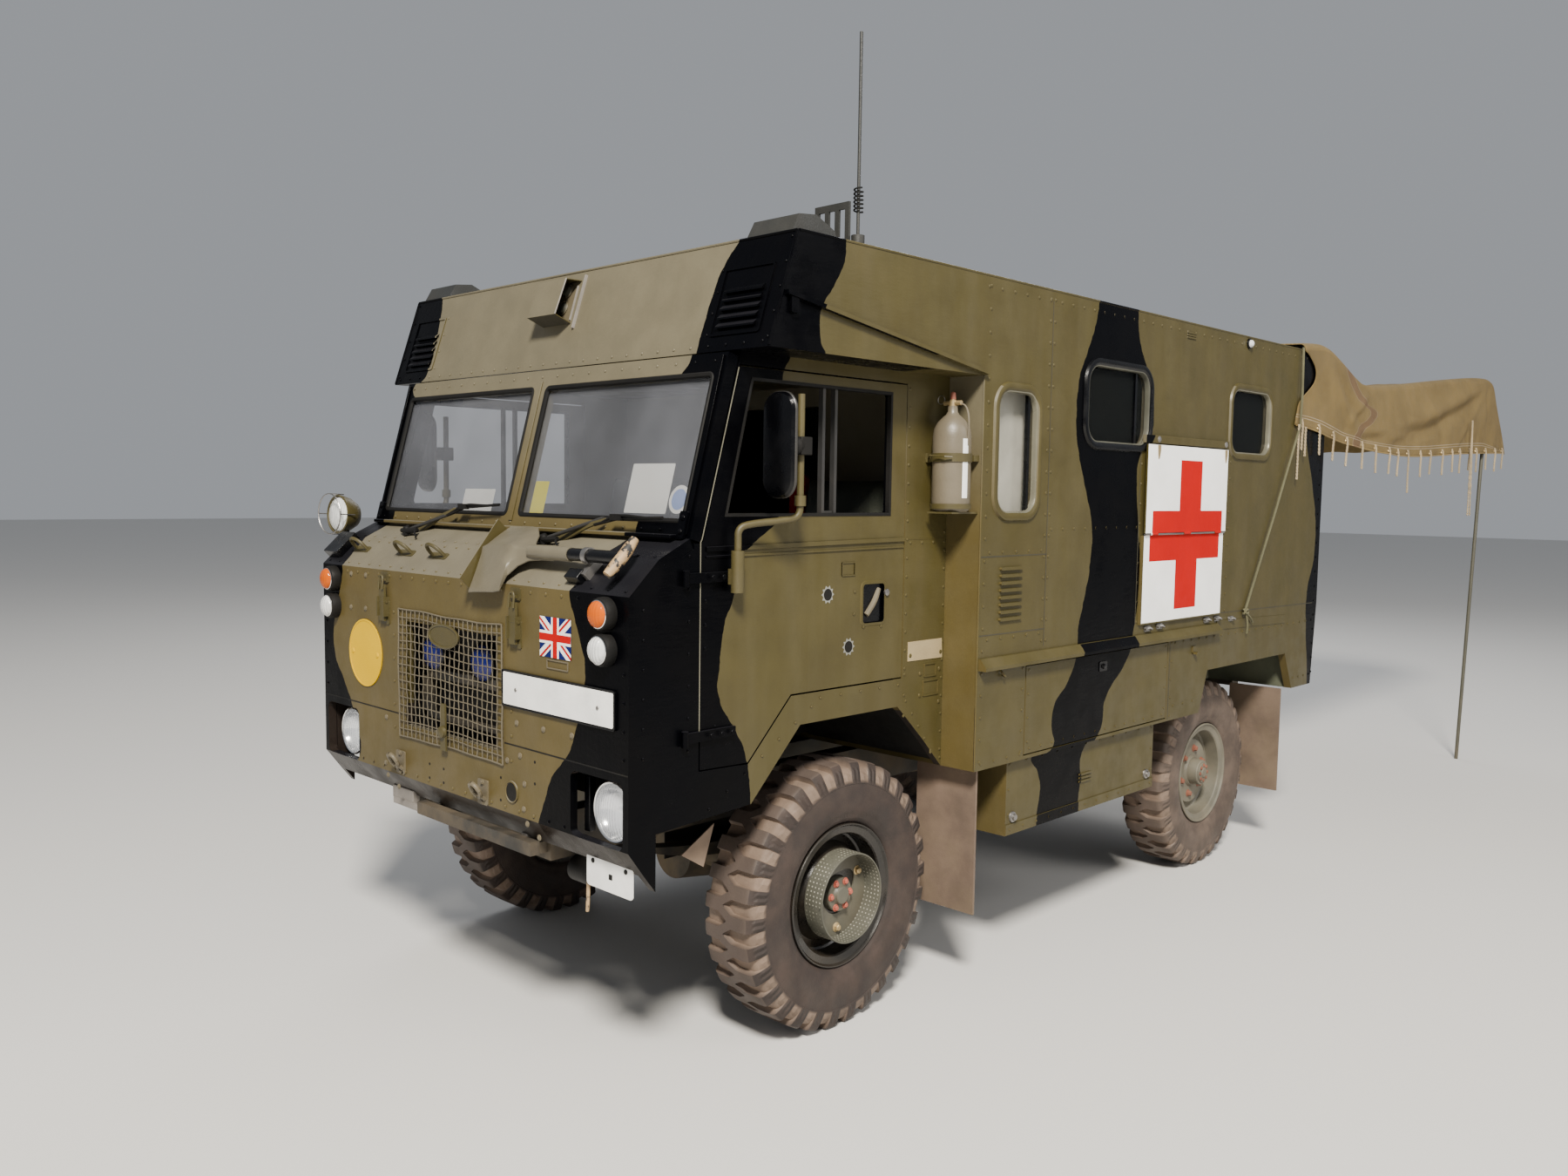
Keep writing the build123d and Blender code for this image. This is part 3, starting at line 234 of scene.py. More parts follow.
def moulding(outline: Sequence, face: Face, profile: Sequence) -> Solid:
    """A bead that runs round a closed outline.

    Args:
        outline: points of the plane, in order.
        face: the plane.
        profile: closed section as (distance out of the outline, height over the plane).
    Returns:
        The bead: each corner of the outline carries the section along its outward normal.
    """
    flat, section = np.asarray(outline, float), np.asarray(profile, float)
    spread = flat[:, None] + outward(flat)[:, None] * section[None, :, :1]
    return skin(face.at(spread, np.broadcast_to(section[:, 1], spread.shape[:2])), path_closed=True)


def oblong(width: float, height: float, radius: float, centre: Sequence = (0.0, 0.0),
           steps: int = 6) -> Array:
    """A rectangle with quarter-circle corners, as points of a plane.

    Args:
        width, height: its sides.
        radius: of its corners.
        centre: its middle.
        steps: chords to a corner.
    Returns:
        The outline, counter-clockwise.
    """
    turn = np.linspace(0, np.pi / 2, steps + 1)
    quarter = np.arange(4)[:, None] * np.pi / 2 + turn[None]
    sign_x = np.array([1, -1, -1, 1])[:, None]
    sign_y = np.array([1, 1, -1, -1])[:, None]
    x = sign_x * (width / 2 - radius) + radius * np.cos(quarter)
    y = sign_y * (height / 2 - radius) + radius * np.sin(quarter)
    return np.stack([x.ravel() + centre[0], y.ravel() + centre[1]], -1)


def circle(radius: float, centre: Sequence = (0.0, 0.0), sides: int = 32) -> Array:
    """A regular polygon standing for a circle."""
    turn = np.arange(sides) * 2 * np.pi / sides
    return np.stack([centre[0] + radius * np.cos(turn), centre[1] + radius * np.sin(turn)], -1)


def eased(points: Sequence, cuts: int = 3) -> Array:
    """A path with its corners rounded by cutting each one off, several times over.

    Args:
        points: the corners.
        cuts: how often each corner is cut at a quarter and three quarters.
    Returns:
        The smoother path, with the same two ends.
    """
    path = np.asarray(points, float)
    for _ in range(cuts):
        near, far = path[:-1] * 0.75 + path[1:] * 0.25, path[:-1] * 0.25 + path[1:] * 0.75
        inner = np.stack([near, far], 1).reshape(-1, path.shape[1])
        path = np.concatenate([path[:1], inner, path[-1:]])
    return path


def tube(path: Sequence, radius: Union[float, Array], sides: int = 10) -> Solid:
    """A round bar along a path: circles square to it, joined by quads.

    Args:
        path: points, three numbers each.
        radius: one for all, or one for each point.
        sides: corners of a section.
    Returns:
        The bar, closed at both ends.
    """
    line = np.asarray(path, float)
    along = unit(np.gradient(line, axis=0))
    steady = np.eye(3)[np.argmin(np.abs(along.mean(0)))]
    side = unit(np.cross(along, steady))
    up = np.cross(side, along)
    turn = np.arange(sides) * 2 * np.pi / sides
    size = np.broadcast_to(np.asarray(radius, float), (len(line),))[:, None, None]
    ring = np.cos(turn)[None, :, None] * side[:, None] + np.sin(turn)[None, :, None] * up[:, None]
    return skin(line[:, None] + size * ring)


def turned(profile: Sequence, centre: Sequence, axis: Sequence, sides: int = 32, ring: bool = False) -> Solid:
    """A solid of revolution.

    Args:
        profile: (distance along the axis, radius) from pole to pole, or a closed section.
        centre: where the axis starts.
        axis: its direction.
        sides: sections round the axis.
        ring: whether the profile is a closed section that never meets the axis.
    Returns:
        The surface, its points at centre + along * axis + radius * (cos, sin) round it.
    """
    line = np.asarray(profile, float)
    ahead = unit(axis)
    side = unit(np.cross(ahead, np.eye(3)[np.argmin(np.abs(ahead))]))
    up = np.cross(ahead, side)
    turn = np.arange(sides) * 2 * np.pi / sides
    spoke = np.cos(turn)[:, None] * side + np.sin(turn)[:, None] * up
    rings = np.asarray(centre, float) + line[None, :, :1] * ahead + line[None, :, 1:] * spoke[:, None]
    return skin(rings, ring_closed=ring, path_closed=True)


def capped(*line: Sequence) -> list:
    """A profile carried in to its axis at both ends."""
    return [(line[0][0], 0.0), *line, (line[-1][0], 0.0)]


def raised(width: float, height: float, low: float = 0.0) -> list:
    """The section of a flat frame inside an outline, from one height to another."""
    return [(0.0, low), (0.0, height), (-width, height), (-width, low)]


def box(x0: float, x1: float, y0: float, y1: float, z0: float, z1: float) -> Solid:
    """A box between two X, two Y and two Z values."""
    return slab([(x0, y0), (x1, y0), (x1, y1), (x0, y1)], top_face(0.0), z0, z1)


def strip(points: Sequence, width: float, face: Face, low: float, high: float) -> Solid:
    """A flat band of constant width along a line on a plane.

    Args:
        points: the line, as points of the plane.
        width: of the band.
        face: the plane.
        low, high: heights of the band's two faces over it.
    Returns:
        The band, mitred at its corners.
    """
    line = np.asarray(points, float)
    along = unit(np.gradient(line, axis=0))
    side = np.stack([-along[:, 1], along[:, 0]], -1) * width / 2
    heights = np.array([low, high, high, low])
    flat = np.stack([line - side, line - side, line + side, line + side], 1)
    return skin(face.at(flat, np.broadcast_to(heights, flat.shape[:2])))


def along_line(start: Sequence, end: Sequence, pitch: float) -> Array:
    """Points at about this pitch from one point to another, both ends included."""
    first, last = np.asarray(start, float), np.asarray(end, float)
    count = max(2, int(round(np.linalg.norm(last - first) / pitch)) + 1)
    return first + np.linspace(0, 1, count)[:, None] * (last - first)


def rivets(face: Face, lines: Sequence, pitch: float = 0.045, radius: float = 0.0055) -> Solid:
    """Rows of domed rivets on a plane.

    Args:
        face: the plane that they stand on.
        lines: (start, end) pairs of points of the plane.
        pitch: distance between rivets.
        radius: of a head.
    Returns:
        The heads, copied from one small dome.
    """
    normal = np.cross(unit(face.across), unit(face.up))
    head = turned([(-0.001, radius), (0.0012, radius), (0.0030, radius * 0.55), (0.0034, 0.0)],
                  (0, 0, 0), normal, 8)
    spots = np.concatenate([along_line(start, end, pitch) for start, end in lines])
    return head.copies(face.at(spots))


def hexagon_bolts(face: Face, spots: Sequence, radius: float, height: float) -> Solid:
    """Bolt heads with a washer under each.

    Args:
        face: the plane that they stand on.
        spots: points of the plane.
        radius: of a head, corner to middle.
        height: of a head.
    Returns:
        The bolts, copied from one.
    """
    normal = np.cross(unit(face.across), unit(face.up))
    rim = [(0.0, radius * 1.45), (0.0015, radius * 1.45), (0.0025, radius * 1.3), (0.0025, 0.0)]
    head = [(0.0, radius), (height * 0.8, radius), (height, radius * 0.8), (height, 0.0)]
    bolt = Solid.joined([turned(rim, (0, 0, 0), normal, 14), turned(head, (0, 0, 0), normal, 6)])
    return bolt.copies(face.at(np.asarray(spots, float)))


# Finishes


class Graph:
    """A material's node tree, written as calls that give back sockets."""

    def __init__(self, name: str, axle_y: float = 0.0) -> None:
        """Starts a material with one Principled shader.

        Args:
            name: of the material.
            axle_y: where the front axle is in the frame.
        """
        self.axle_y = axle_y
        self.camo_mask = None
        self.material = bpy.data.materials.new(name)
        self.material.use_nodes = True
        self.tree = self.material.node_tree
        self.tree.nodes.clear()
        self.shader = self.node("ShaderNodeBsdfPrincipled")
        out = self.node("ShaderNodeOutputMaterial")
        self.tree.links.new(self.shader.outputs[0], out.inputs[0])
        self.texture = self.node("ShaderNodeTexCoord")

    def node(self, kind: str, **settings) -> bpy.types.Node:
        """A new node with its settings."""
        made = self.tree.nodes.new(kind)
        for key, value in settings.items():
            setattr(made, key, value)
        return made

    def feed(self, socket: Socket, value: Value) -> None:
        """Links a socket, or sets its value where it is a number or colour."""
        if isinstance(value, Socket):
            self.tree.links.new(value, socket)
        elif isinstance(value, tuple) and len(value) == 3 and socket.type == "RGBA":
            socket.default_value = (*value, 1.0)
        else:
            socket.default_value = value

    def set(self, **values: Value) -> None:
        """Feeds the shader's inputs, named with _ for a space."""
        for key, value in values.items():
            self.feed(self.shader.inputs[key.replace("_", " ")], value)

    def math(self, operation: str, *values: Value, clamp: bool = False) -> Socket:
        """The result of one Math node."""
        made = self.node("ShaderNodeMath", operation=operation, use_clamp=clamp)
        for socket, value in zip(made.inputs, values):
            self.feed(socket, value)
        return made.outputs[0]

    def times(self, *values: Value, clamp: bool = False) -> Socket:
        """Two numbers multiplied."""
        return self.math("MULTIPLY", *values, clamp=clamp)

    def plus(self, *values: Value, clamp: bool = False) -> Socket:
        """Two numbers added."""
        return self.math("ADD", *values, clamp=clamp)

    def above(self, value: Value, limit: Value) -> Socket:
        """1 where the value is over the limit."""
        return self.math("GREATER_THAN", value, limit)

    def below(self, value: Value, limit: Value) -> Socket:
        """1 where the value is under the limit."""
        return self.math("LESS_THAN", value, limit)

    def most(self, first: Value, second: Value) -> Socket:
        """The greater of two numbers."""
        return self.math("MAXIMUM", first, second)

    def size(self, value: Value) -> Socket:
        """The number without its sign."""
        return self.math("ABSOLUTE", value)

    def parted(self, vector: Socket) -> tuple[Socket, Socket, Socket]:
        """The three numbers of a vector."""
        made = self.node("ShaderNodeSeparateXYZ")
        self.feed(made.inputs[0], vector)
        return made.outputs[0], made.outputs[1], made.outputs[2]

    def map(self, name: str) -> Socket:
        """A point of one of the piece's UV maps."""
        return self.node("ShaderNodeUVMap", uv_map=name).outputs[0]

    def wave(self, direction: str, scale: float, vector: Optional[Socket] = None,
             distortion: float = 0.0) -> Socket:
        """Waves from 0 to 1 along an axis."""
        made = self.node("ShaderNodeTexWave", bands_direction=direction)
        self.feed(made.inputs["Vector"], vector or self.texture.outputs["Object"])
        made.inputs["Scale"].default_value = scale
        made.inputs["Distortion"].default_value = distortion
        return made.outputs[1]

    def spot(self) -> tuple:
        """X, Y and Z of the surface point in the piece's own coordinates."""
        return self.parted(self.texture.outputs["Object"])

    def place(self) -> tuple:
        """X, Y and Z of the surface point in truck coordinates."""
        x, y, z = self.spot()
        return x, self.math("SUBTRACT", y, self.axle_y), z

    def facing(self) -> tuple:
        """X, Y and Z of the surface normal in the piece's own coordinates."""
        return self.parted(self.texture.outputs["Normal"])

    def scaled(self, x: float, y: float, z: float) -> Socket:
        """Object coordinates stretched by three factors."""
        made = self.node("ShaderNodeMapping")
        self.feed(made.inputs[0], self.texture.outputs["Object"])
        made.inputs["Scale"].default_value = (x, y, z)
        return made.outputs[0]

    def noise(self, scale: float, detail: float = 3.0, rough: float = 0.55,
              vector: Optional[Socket] = None) -> Socket:
        """Cloudy noise from 0 to 1."""
        made = self.node("ShaderNodeTexNoise")
        self.feed(made.inputs["Vector"], vector or self.texture.outputs["Object"])
        for key, value in (("Scale", scale), ("Detail", detail), ("Roughness", rough)):
            made.inputs[key].default_value = value
        return made.outputs[0]

    def ramp(self, value: Value, low: float, high: float, start: float = 0.0, end: float = 1.0) -> Socket:
        """The value carried from one span to another, held at its ends, with a smooth run between."""
        made = self.node("ShaderNodeMapRange", interpolation_type="SMOOTHSTEP")
        for socket, number in zip(made.inputs, (value, low, high, start, end)):
            self.feed(socket, number)
        return made.outputs[0]

    def mix(self, share: Value, first: Value, second: Value) -> Socket:
        """A colour between two."""
        made = self.node("ShaderNodeMix", data_type="RGBA")
        for place, value in ((0, share), (6, first), (7, second)):
            self.feed(made.inputs[place], value)
        return made.outputs[2]

    def blend(self, share: Value, first: Value, second: Value) -> Socket:
        """A number between two."""
        made = self.node("ShaderNodeMix", data_type="FLOAT")
        for place, value in ((0, share), (2, first), (3, second)):
            self.feed(made.inputs[place], value)
        return made.outputs[0]

    def curve(self, value: Value, points: Sequence, span_in: tuple, span_out: tuple) -> Socket:
        """A drawn curve: the value looked up among points.

        Args:
            value: the number to look up.
            points: (input, output) pairs in their own units.
            span_in: lowest and highest input.
            span_out: lowest and highest output.
        Returns:
            The output, in its own units.
        """
        share = self.node("ShaderNodeMapRange")
        for socket, number in zip(share.inputs, (value, span_in[0], span_in[1], 0.0, 1.0)):
            self.feed(socket, number)
        made = self.node("ShaderNodeFloatCurve")
        self.feed(made.inputs["Value"], share.outputs[0])
        drawn = made.mapping.curves[0]
        pairs = np.array(sorted(points), float)
        pairs[:, 0] = (pairs[:, 0] - span_in[0]) / (span_in[1] - span_in[0])
        pairs[:, 1] = (pairs[:, 1] - span_out[0]) / (span_out[1] - span_out[0])
        drawn.points[0].location, drawn.points[1].location = pairs[0], pairs[-1]
        for pair in pairs[1:-1]:
            drawn.points.new(*pair)
        made.mapping.update()
        back = self.node("ShaderNodeMapRange")
        for socket, number in zip(back.inputs, (made.outputs[0], 0.0, 1.0, span_out[0], span_out[1])):
            self.feed(socket, number)
        return back.outputs[0]

    def bump(self, height: Value, distance: float) -> Socket:
        """A normal bent by a height."""
        made = self.node("ShaderNodeBump")
        made.inputs["Strength"].default_value = 1.0
        made.inputs["Distance"].default_value = distance
        self.feed(made.inputs["Height"], height)
        return made.outputs[0]


DUST: Rgb = (0.175, 0.130, 0.075)
GREEN: Rgb = (0.052, 0.0420, 0.0115)
BLACK: Rgb = (0.0006, 0.0007, 0.0013)


@dataclass(frozen=True)
class Finish:
    """A surface with mottling, dust, grain and uneven gloss; its kinds change one step each.

    Colour is linear. Mottle and drift say how far colour and roughness stray, dust how much of it lies on the
    surface and dust_top where it has thinned out, grain how deep the texture is in metres.
    """

    name: str
    colour: Rgb = (0.5, 0.5, 0.5)
    rough: float = 0.55
    metal: float = 0.0
    mottle: float = 0.14
    mottle_scale: float = 6.0
    dust: float = 0.16
    dust_top: float = 1.0
    grain: float = 0.0005
    grain_scale: float = 160.0
    drift: float = 0.10
    spec: float = 0.5

    def base(self, g: Graph) -> Value:
        """The clean colour."""
        return self.colour

    def gloss(self, g: Graph) -> Value:
        """The roughness before dust."""
        return self.rough

    def relief(self, g: Graph) -> Value:
        """The height that bends the light, from 0 to 1."""
        return g.noise(self.grain_scale, 2.0)

    def soiled(self, g: Graph) -> Value:
        """The share of dust at each point: more of it low down, in uneven clouds."""
        height = g.ramp(g.spot()[2], 0.15, self.dust_top, 1.0, 0.25)
        cloud = g.ramp(g.noise(4.5, 5.0, 0.6), 0.32, 0.72)
        return g.times(g.times(height, cloud), self.dust, clamp=True)

    def extra(self, g: Graph) -> None:
        """What a kind adds to the shader."""

    def build(self, axle_y: float) -> bpy.types.Material:
        """Makes the material.

        Args:
            axle_y: where the front axle is in the frame.
        Returns:
            The material.
        """
        g = Graph(self.name, axle_y)
        base = self.base(g)
        if self.mottle > 0:
            cloud = g.ramp(g.noise(self.mottle_scale, 5.0, 0.6), 0.25, 0.75, 1 - self.mottle, 1 + self.mottle)
            tone = g.node("ShaderNodeMix", data_type="RGBA", blend_type="MULTIPLY")
            gather = g.node("ShaderNodeCombineXYZ")
            for socket in gather.inputs:
                g.feed(socket, cloud)
            tone.inputs[0].default_value = 1.0
            g.feed(tone.inputs[6], base)
            g.feed(tone.inputs[7], gather.outputs[0])
            base = tone.outputs[2]
        rough = self.gloss(g)
        if self.drift > 0:
            stray = g.ramp(g.noise(11.0, 4.0), 0.3, 0.7, -self.drift, self.drift)
            rough = g.plus(rough, stray, clamp=True)
        if self.dust > 0:
            soiled = self.soiled(g)
            base = g.mix(soiled, base, DUST)
            rough = g.blend(soiled, rough, 0.92)
        g.set(Base_Color=base, Roughness=rough, Metallic=self.metal, Specular_IOR_Level=self.spec)
        if self.grain > 0:
            g.set(Normal=g.bump(self.relief(g), self.grain))
        self.extra(g)
        return g.material


class Camouflage(Finish):
    """Green paint with black bands brushed over it, their edges drawn as curves of height."""

    # Green for faces that look ahead: painted sunlight, lighter and warmer than the side green
    SUNLIT_FRONT_GREEN = (0.078, 0.0585, 0.0180)
    # Chalky streaks, and painted sheen high on faces that look ahead
    CHALK_AND_SHEEN = (0.112, 0.099, 0.064)
    # Painted sky reflection on the nose's up-facing faces, on the green and on the black
    SKY_SHEEN_LEDGE_GREEN = (0.124, 0.111, 0.078)
    SKY_SHEEN_LEDGE_BLACK = (0.008, 0.008, 0.010)
    # Painted shade and grime on inward- and down-facing faces low down
    UNDER_SHADE_AND_GRIME = (0.016, 0.012, 0.010)

    # Span of the curves' heights, and each edge as (height, X or Y)
    HEIGHT = (0.40, 2.50)
    NOSE_LEFT = [(0.47, 0.473), (0.77, 0.473), (0.812, 0.491), (0.895, 0.526), (0.969, 0.590), (0.985, 0.610),
                 (1.04, 0.643), (1.144, 0.684), (1.243, 0.700), (1.313, 0.680), (1.383, 0.651),
                 (1.454, 0.623), (1.49, 0.631), (1.60, 0.645), (2.07, 0.700), (2.106, 0.733), (2.188, 0.732),
                 (2.252, 0.738), (2.354, 0.749), (2.428, 0.778), (2.462, 0.799)]
    NOSE_RIGHT = [(0.47, -0.662), (0.743, -0.662), (0.814, -0.614), (0.873, -0.632), (0.99, -0.695),
                  (1.047, -0.740), (1.135, -0.805), (1.229, -0.816), (1.327, -0.778), (1.454, -0.740),
                  (1.553, -0.764), (2.05, -0.800), (2.108, -0.852), (2.162, -0.805), (2.28, -0.805),
                  (2.383, -0.824), (2.468, -0.857)]
    CAB_EDGE = [(0.50, -0.457), (0.835, -0.457), (0.913, -0.462), (0.98, -0.481), (1.049, -0.517),
                (1.119, -0.569), (1.184, -0.590), (1.258, -0.584), (1.356, -0.566), (1.453, -0.530),
                (1.552, -0.514), (1.60, -0.44), (1.66, -0.36), (2.10, -0.34), (2.136, -0.316),
                (2.159, -0.335), (2.206, -0.347), (2.269, -0.330), (2.35, -0.270), (2.403, -0.241),
                (2.46, -0.239)]
    BAND_FRONT = [(0.50, 0.905), (0.534, 0.905), (0.678, 0.926), (0.730, 0.905), (0.791, 0.867),
                  (0.804, 0.944), (0.908, 0.944), (0.986, 0.969), (1.043, 1.044), (1.158, 1.105),
                  (1.25, 1.112), (1.379, 1.154), (1.51, 1.183), (1.608, 1.189), (1.706, 1.157),
                  (1.835, 1.099), (1.961, 1.054), (2.056, 1.048), (2.183, 1.065), (2.283, 1.120),
                  (2.366, 1.158), (2.455, 1.183)]
    BAND_REAR = [(0.50, 1.198), (0.547, 1.198), (0.664, 1.216), (0.733, 1.211), (0.861, 1.311),
                 (0.945, 1.325), (1.008, 1.381), (1.068, 1.466), (1.134, 1.517), (1.22, 1.539),
                 (1.324, 1.560), (1.499, 1.561), (1.673, 1.533), (1.776, 1.518), (1.896, 1.530),
                 (1.968, 1.611), (2.09, 1.637), (2.192, 1.614), (2.256, 1.559), (2.368, 1.494),
                 (2.467, 1.480)]
    TAIL = [(0.50, 3.364), (0.80, 3.364), (1.095, 3.317), (1.272, 3.306), (1.446, 3.375), (1.623, 3.376),
            (1.798, 3.319), (2.053, 3.198), (2.46, 3.10)]

    def mask(self, g: Graph) -> Value:
        """1 where the paint is black.

        Args:
            g: the material's nodes.
        Returns:
            The mask: on the nose, X beyond two curves of height; on the sides, Y set against four of them.
        """
        if g.camo_mask is not None:
            return g.camo_mask
        x, y, z = g.place()
        nx, _, nz = g.facing()
        waver = g.times(g.math("SUBTRACT", g.noise(14.0, 3.0), 0.5), 0.022)
        x, y = g.plus(x, waver), g.plus(y, waver)

        def edge(points: Sequence, span: tuple) -> Socket:
            """A band's edge, looked up by height."""
            return g.curve(z, points, self.HEIGHT, span)

        span_x, span_y = (-1.0, 1.0), (-1.0, 4.0)
        nose = g.most(g.above(x, edge(self.NOSE_LEFT, span_x)), g.below(x, edge(self.NOSE_RIGHT, span_x)))
        nose = g.times(nose, g.plus(g.below(y, 0.2), g.above(y, 3.2), clamp=True))
        outer = g.above(g.size(x), 0.79)
        cab = g.times(g.below(y, edge(self.CAB_EDGE, span_y)), outer)
        band = g.times(g.above(y, edge(self.BAND_FRONT, span_y)), g.below(y, edge(self.BAND_REAR, span_y)))
        tail = g.times(g.above(y, edge(self.TAIL, span_y)), outer)
        roof = g.times(g.above(nz, 0.6), g.above(z, 2.40))
        is_side = g.most(g.times(g.above(g.size(nx), 0.5), outer), roof)
        g.camo_mask = g.blend(is_side, nose, g.most(g.most(cab, band), tail))
        return g.camo_mask

    def base(self, g: Graph) -> Value:
        """Green with black bands: painted sunlight makes faces that look ahead lighter and warmer, painted
        sheen lightens them high up, chalk shows in streaks, a painted sky reflection pales the nose's
        up-facing faces, and painted shade with grime darkens inward- and down-facing faces low down.
        """
        x, y, z = g.place()
        nx, _, nz = g.facing()
        ahead = g.below(g.facing()[1], -0.5)
        # Inward- and down-facing faces, darkened below 1.02 m as painted shade and grime
        low_under_shade = g.most(g.below(g.times(nx, x), -0.2), g.below(nz, -0.5))
        # ledge: up-facing faces of the nose, paled by a painted sky reflection
        ledge = g.times(g.ramp(nz, 0.3, 0.7), g.below(y, -0.5))
        # Painted sheen: faces that look ahead are paler from 1.5 m up
        front_sheen = g.times(ahead, g.ramp(z, 1.50, 2.15))
        streaks = g.ramp(g.noise(3.0, 4.0, 0.6, g.scaled(3.0, 3.0, 0.5)), 0.35, 0.75, 0.0, 0.12)
        # Faces that look ahead take the painted sunlit green
        green = g.mix(ahead, GREEN, self.SUNLIT_FRONT_GREEN)
        green = g.mix(g.most(front_sheen, streaks), green, self.CHALK_AND_SHEEN)
        green = g.mix(ledge, green, self.SKY_SHEEN_LEDGE_GREEN)
        paint = g.mix(self.mask(g), green, g.mix(ledge, BLACK, self.SKY_SHEEN_LEDGE_BLACK))
        return g.mix(g.times(low_under_shade, g.below(z, 1.02)), paint, self.UNDER_SHADE_AND_GRIME)

    def soiled(self, g: Graph) -> Value:
        """Little dust shows on the black."""
        return g.times(super().soiled(g), g.blend(self.mask(g), 1.0, 0.08))

    def gloss(self, g: Graph) -> Value:
        """The black is glossier than the green."""
        return g.blend(self.mask(g), self.rough, 0.30)

    def extra(self, g: Graph) -> None:
        """The black shines without turning grey."""
        g.set(Specular_IOR_Level=g.blend(self.mask(g), 0.30, 0.06))

    def relief(self, g: Graph) -> Value:
        """Brush strokes over slight waves in the sheet."""
        strokes = g.noise(60.0, 3.0, 0.6, g.scaled(1.0, 0.25, 1.0))
        return g.plus(strokes, g.times(g.noise(3.0, 1.0), 3.0))


@dataclass(frozen=True)
class Lens(Finish):
    """A moulded lamp lens with upright ribs inside; its glass is clear where alpha is low."""

    alpha: float = 1.0

    def relief(self, g: Graph) -> Value:
        """Fine upright ribs."""
        return g.wave("X", 30.0)

    def extra(self, g: Graph) -> None:
        """How solid the lens looks."""
        g.set(Alpha=self.alpha)


class ClearGlass(Finish):
    """Window glass as a thin see-through veil, paler on the screen than on the sides with dust haze and a
    painted sky reflection.
    """

    # Pale veil on the screen: dust haze and a painted sky reflection
    HAZE_AND_SKY_GLARE = (0.205, 0.215, 0.245)

    def base(self, g: Graph) -> Value:
        """Dust haze and a painted sky reflection on panes that face ahead."""
        ahead = g.below(g.facing()[1], -0.5)
        haze_and_glare = g.times(ahead, g.ramp(g.noise(3.0, 4.0), 0.2, 0.8, 0.5, 1.0))
        return g.mix(haze_and_glare, self.colour, self.HAZE_AND_SKY_GLARE)

    def extra(self, g: Graph) -> None:
        """Most of the light passes."""
        g.set(Alpha=0.26, Specular_IOR_Level=0.12)


class Board(Finish):
    """The folding board: white with a red cross in front, green behind."""

    WHITE = (0.93, 0.93, 0.91)
    RED = (0.42, 0.0, 0.0)

    # Each arm as its middle and half length behind the axle, then its middle and half height
    UPRIGHT = ((1.9475, 0.0975), (1.5845, 0.3095))
    LEVEL = ((1.935, 0.315), (1.5825, 0.1025))

    def base(self, g: Graph) -> Value:
        """Cross arms by distance from their middle lines, on the outer face."""
        x, y, z = g.place()
        arms = [g.times(g.math("COMPARE", y, *along), g.math("COMPARE", z, *high))
                for along, high in (self.UPRIGHT, self.LEVEL)]
        cross = g.most(*arms)
        outer = g.above(g.times(g.facing()[0], x), 0.5)
        return g.mix(outer, GREEN, g.mix(cross, self.WHITE, self.RED))


class TyreRubber(Finish):
    """Moulded rubber with tan dust in the grooves and on the walls, more of it on the rear wheels."""

    STAIN = (0.060, 0.038, 0.028)
    REAR_DUST = (0.105, 0.075, 0.056)
    CROWN_DUST = (0.075, 0.054, 0.042)
    GROOVE_DUST = (0.165, 0.116, 0.084)

    def base(self, g: Graph) -> Value:
        """Dust from the groove attribute and patchy noise."""
        depth = g.node("ShaderNodeAttribute", attribute_name="groove").outputs["Fac"]
        patch = g.ramp(g.noise(9.0, 5.0, 0.6), 0.3, 0.75)
        wall = g.mix(g.times(patch, 0.5), self.colour, self.STAIN)
        behind = g.above(g.place()[1], 1.5)
        wall = g.mix(g.times(behind, g.ramp(patch, 0.0, 1.0, 0.45, 0.9)), wall, self.REAR_DUST)
        crown = g.below(g.size(g.facing()[0]), 0.6)
        wall = g.mix(g.times(crown, 0.6), wall, self.CROWN_DUST)
        share = g.times(depth, g.ramp(g.noise(20.0, 4.0), 0.1, 0.7, 0.45, 0.95))
        return g.mix(share, wall, self.GROOVE_DUST)

    def relief(self, g: Graph) -> Value:
        """Grain over the moulded ribs of the shoulder."""
        rib = g.node("ShaderNodeAttribute", attribute_name="rib").outputs["Fac"]
        return g.plus(g.times(g.noise(self.grain_scale, 2.0), 0.25), rib)


class Chequer(Finish):
    """Painted plate with raised points whose paint is worn off here and there."""

    def points(self, g: Graph) -> Value:
        """Points where two waves of the plate's own map peak together: the lesser of sin(ku) and sin(kv)."""
        waves = [g.math("SINE", g.times(share, 440.0)) for share in g.parted(g.map("plate"))[:2]]
        return g.ramp(g.math("MINIMUM", *waves), 0.30, 0.70)

    def base(self, g: Graph) -> Value:
        """Pale points on worn patches."""
        worn = g.times(self.points(g), g.ramp(g.noise(18.0, 4.0), 0.35, 0.6))
        return g.mix(worn, self.colour, (0.34, 0.33, 0.27))

    def relief(self, g: Graph) -> Value:
        """The raised points."""
        return self.points(g)


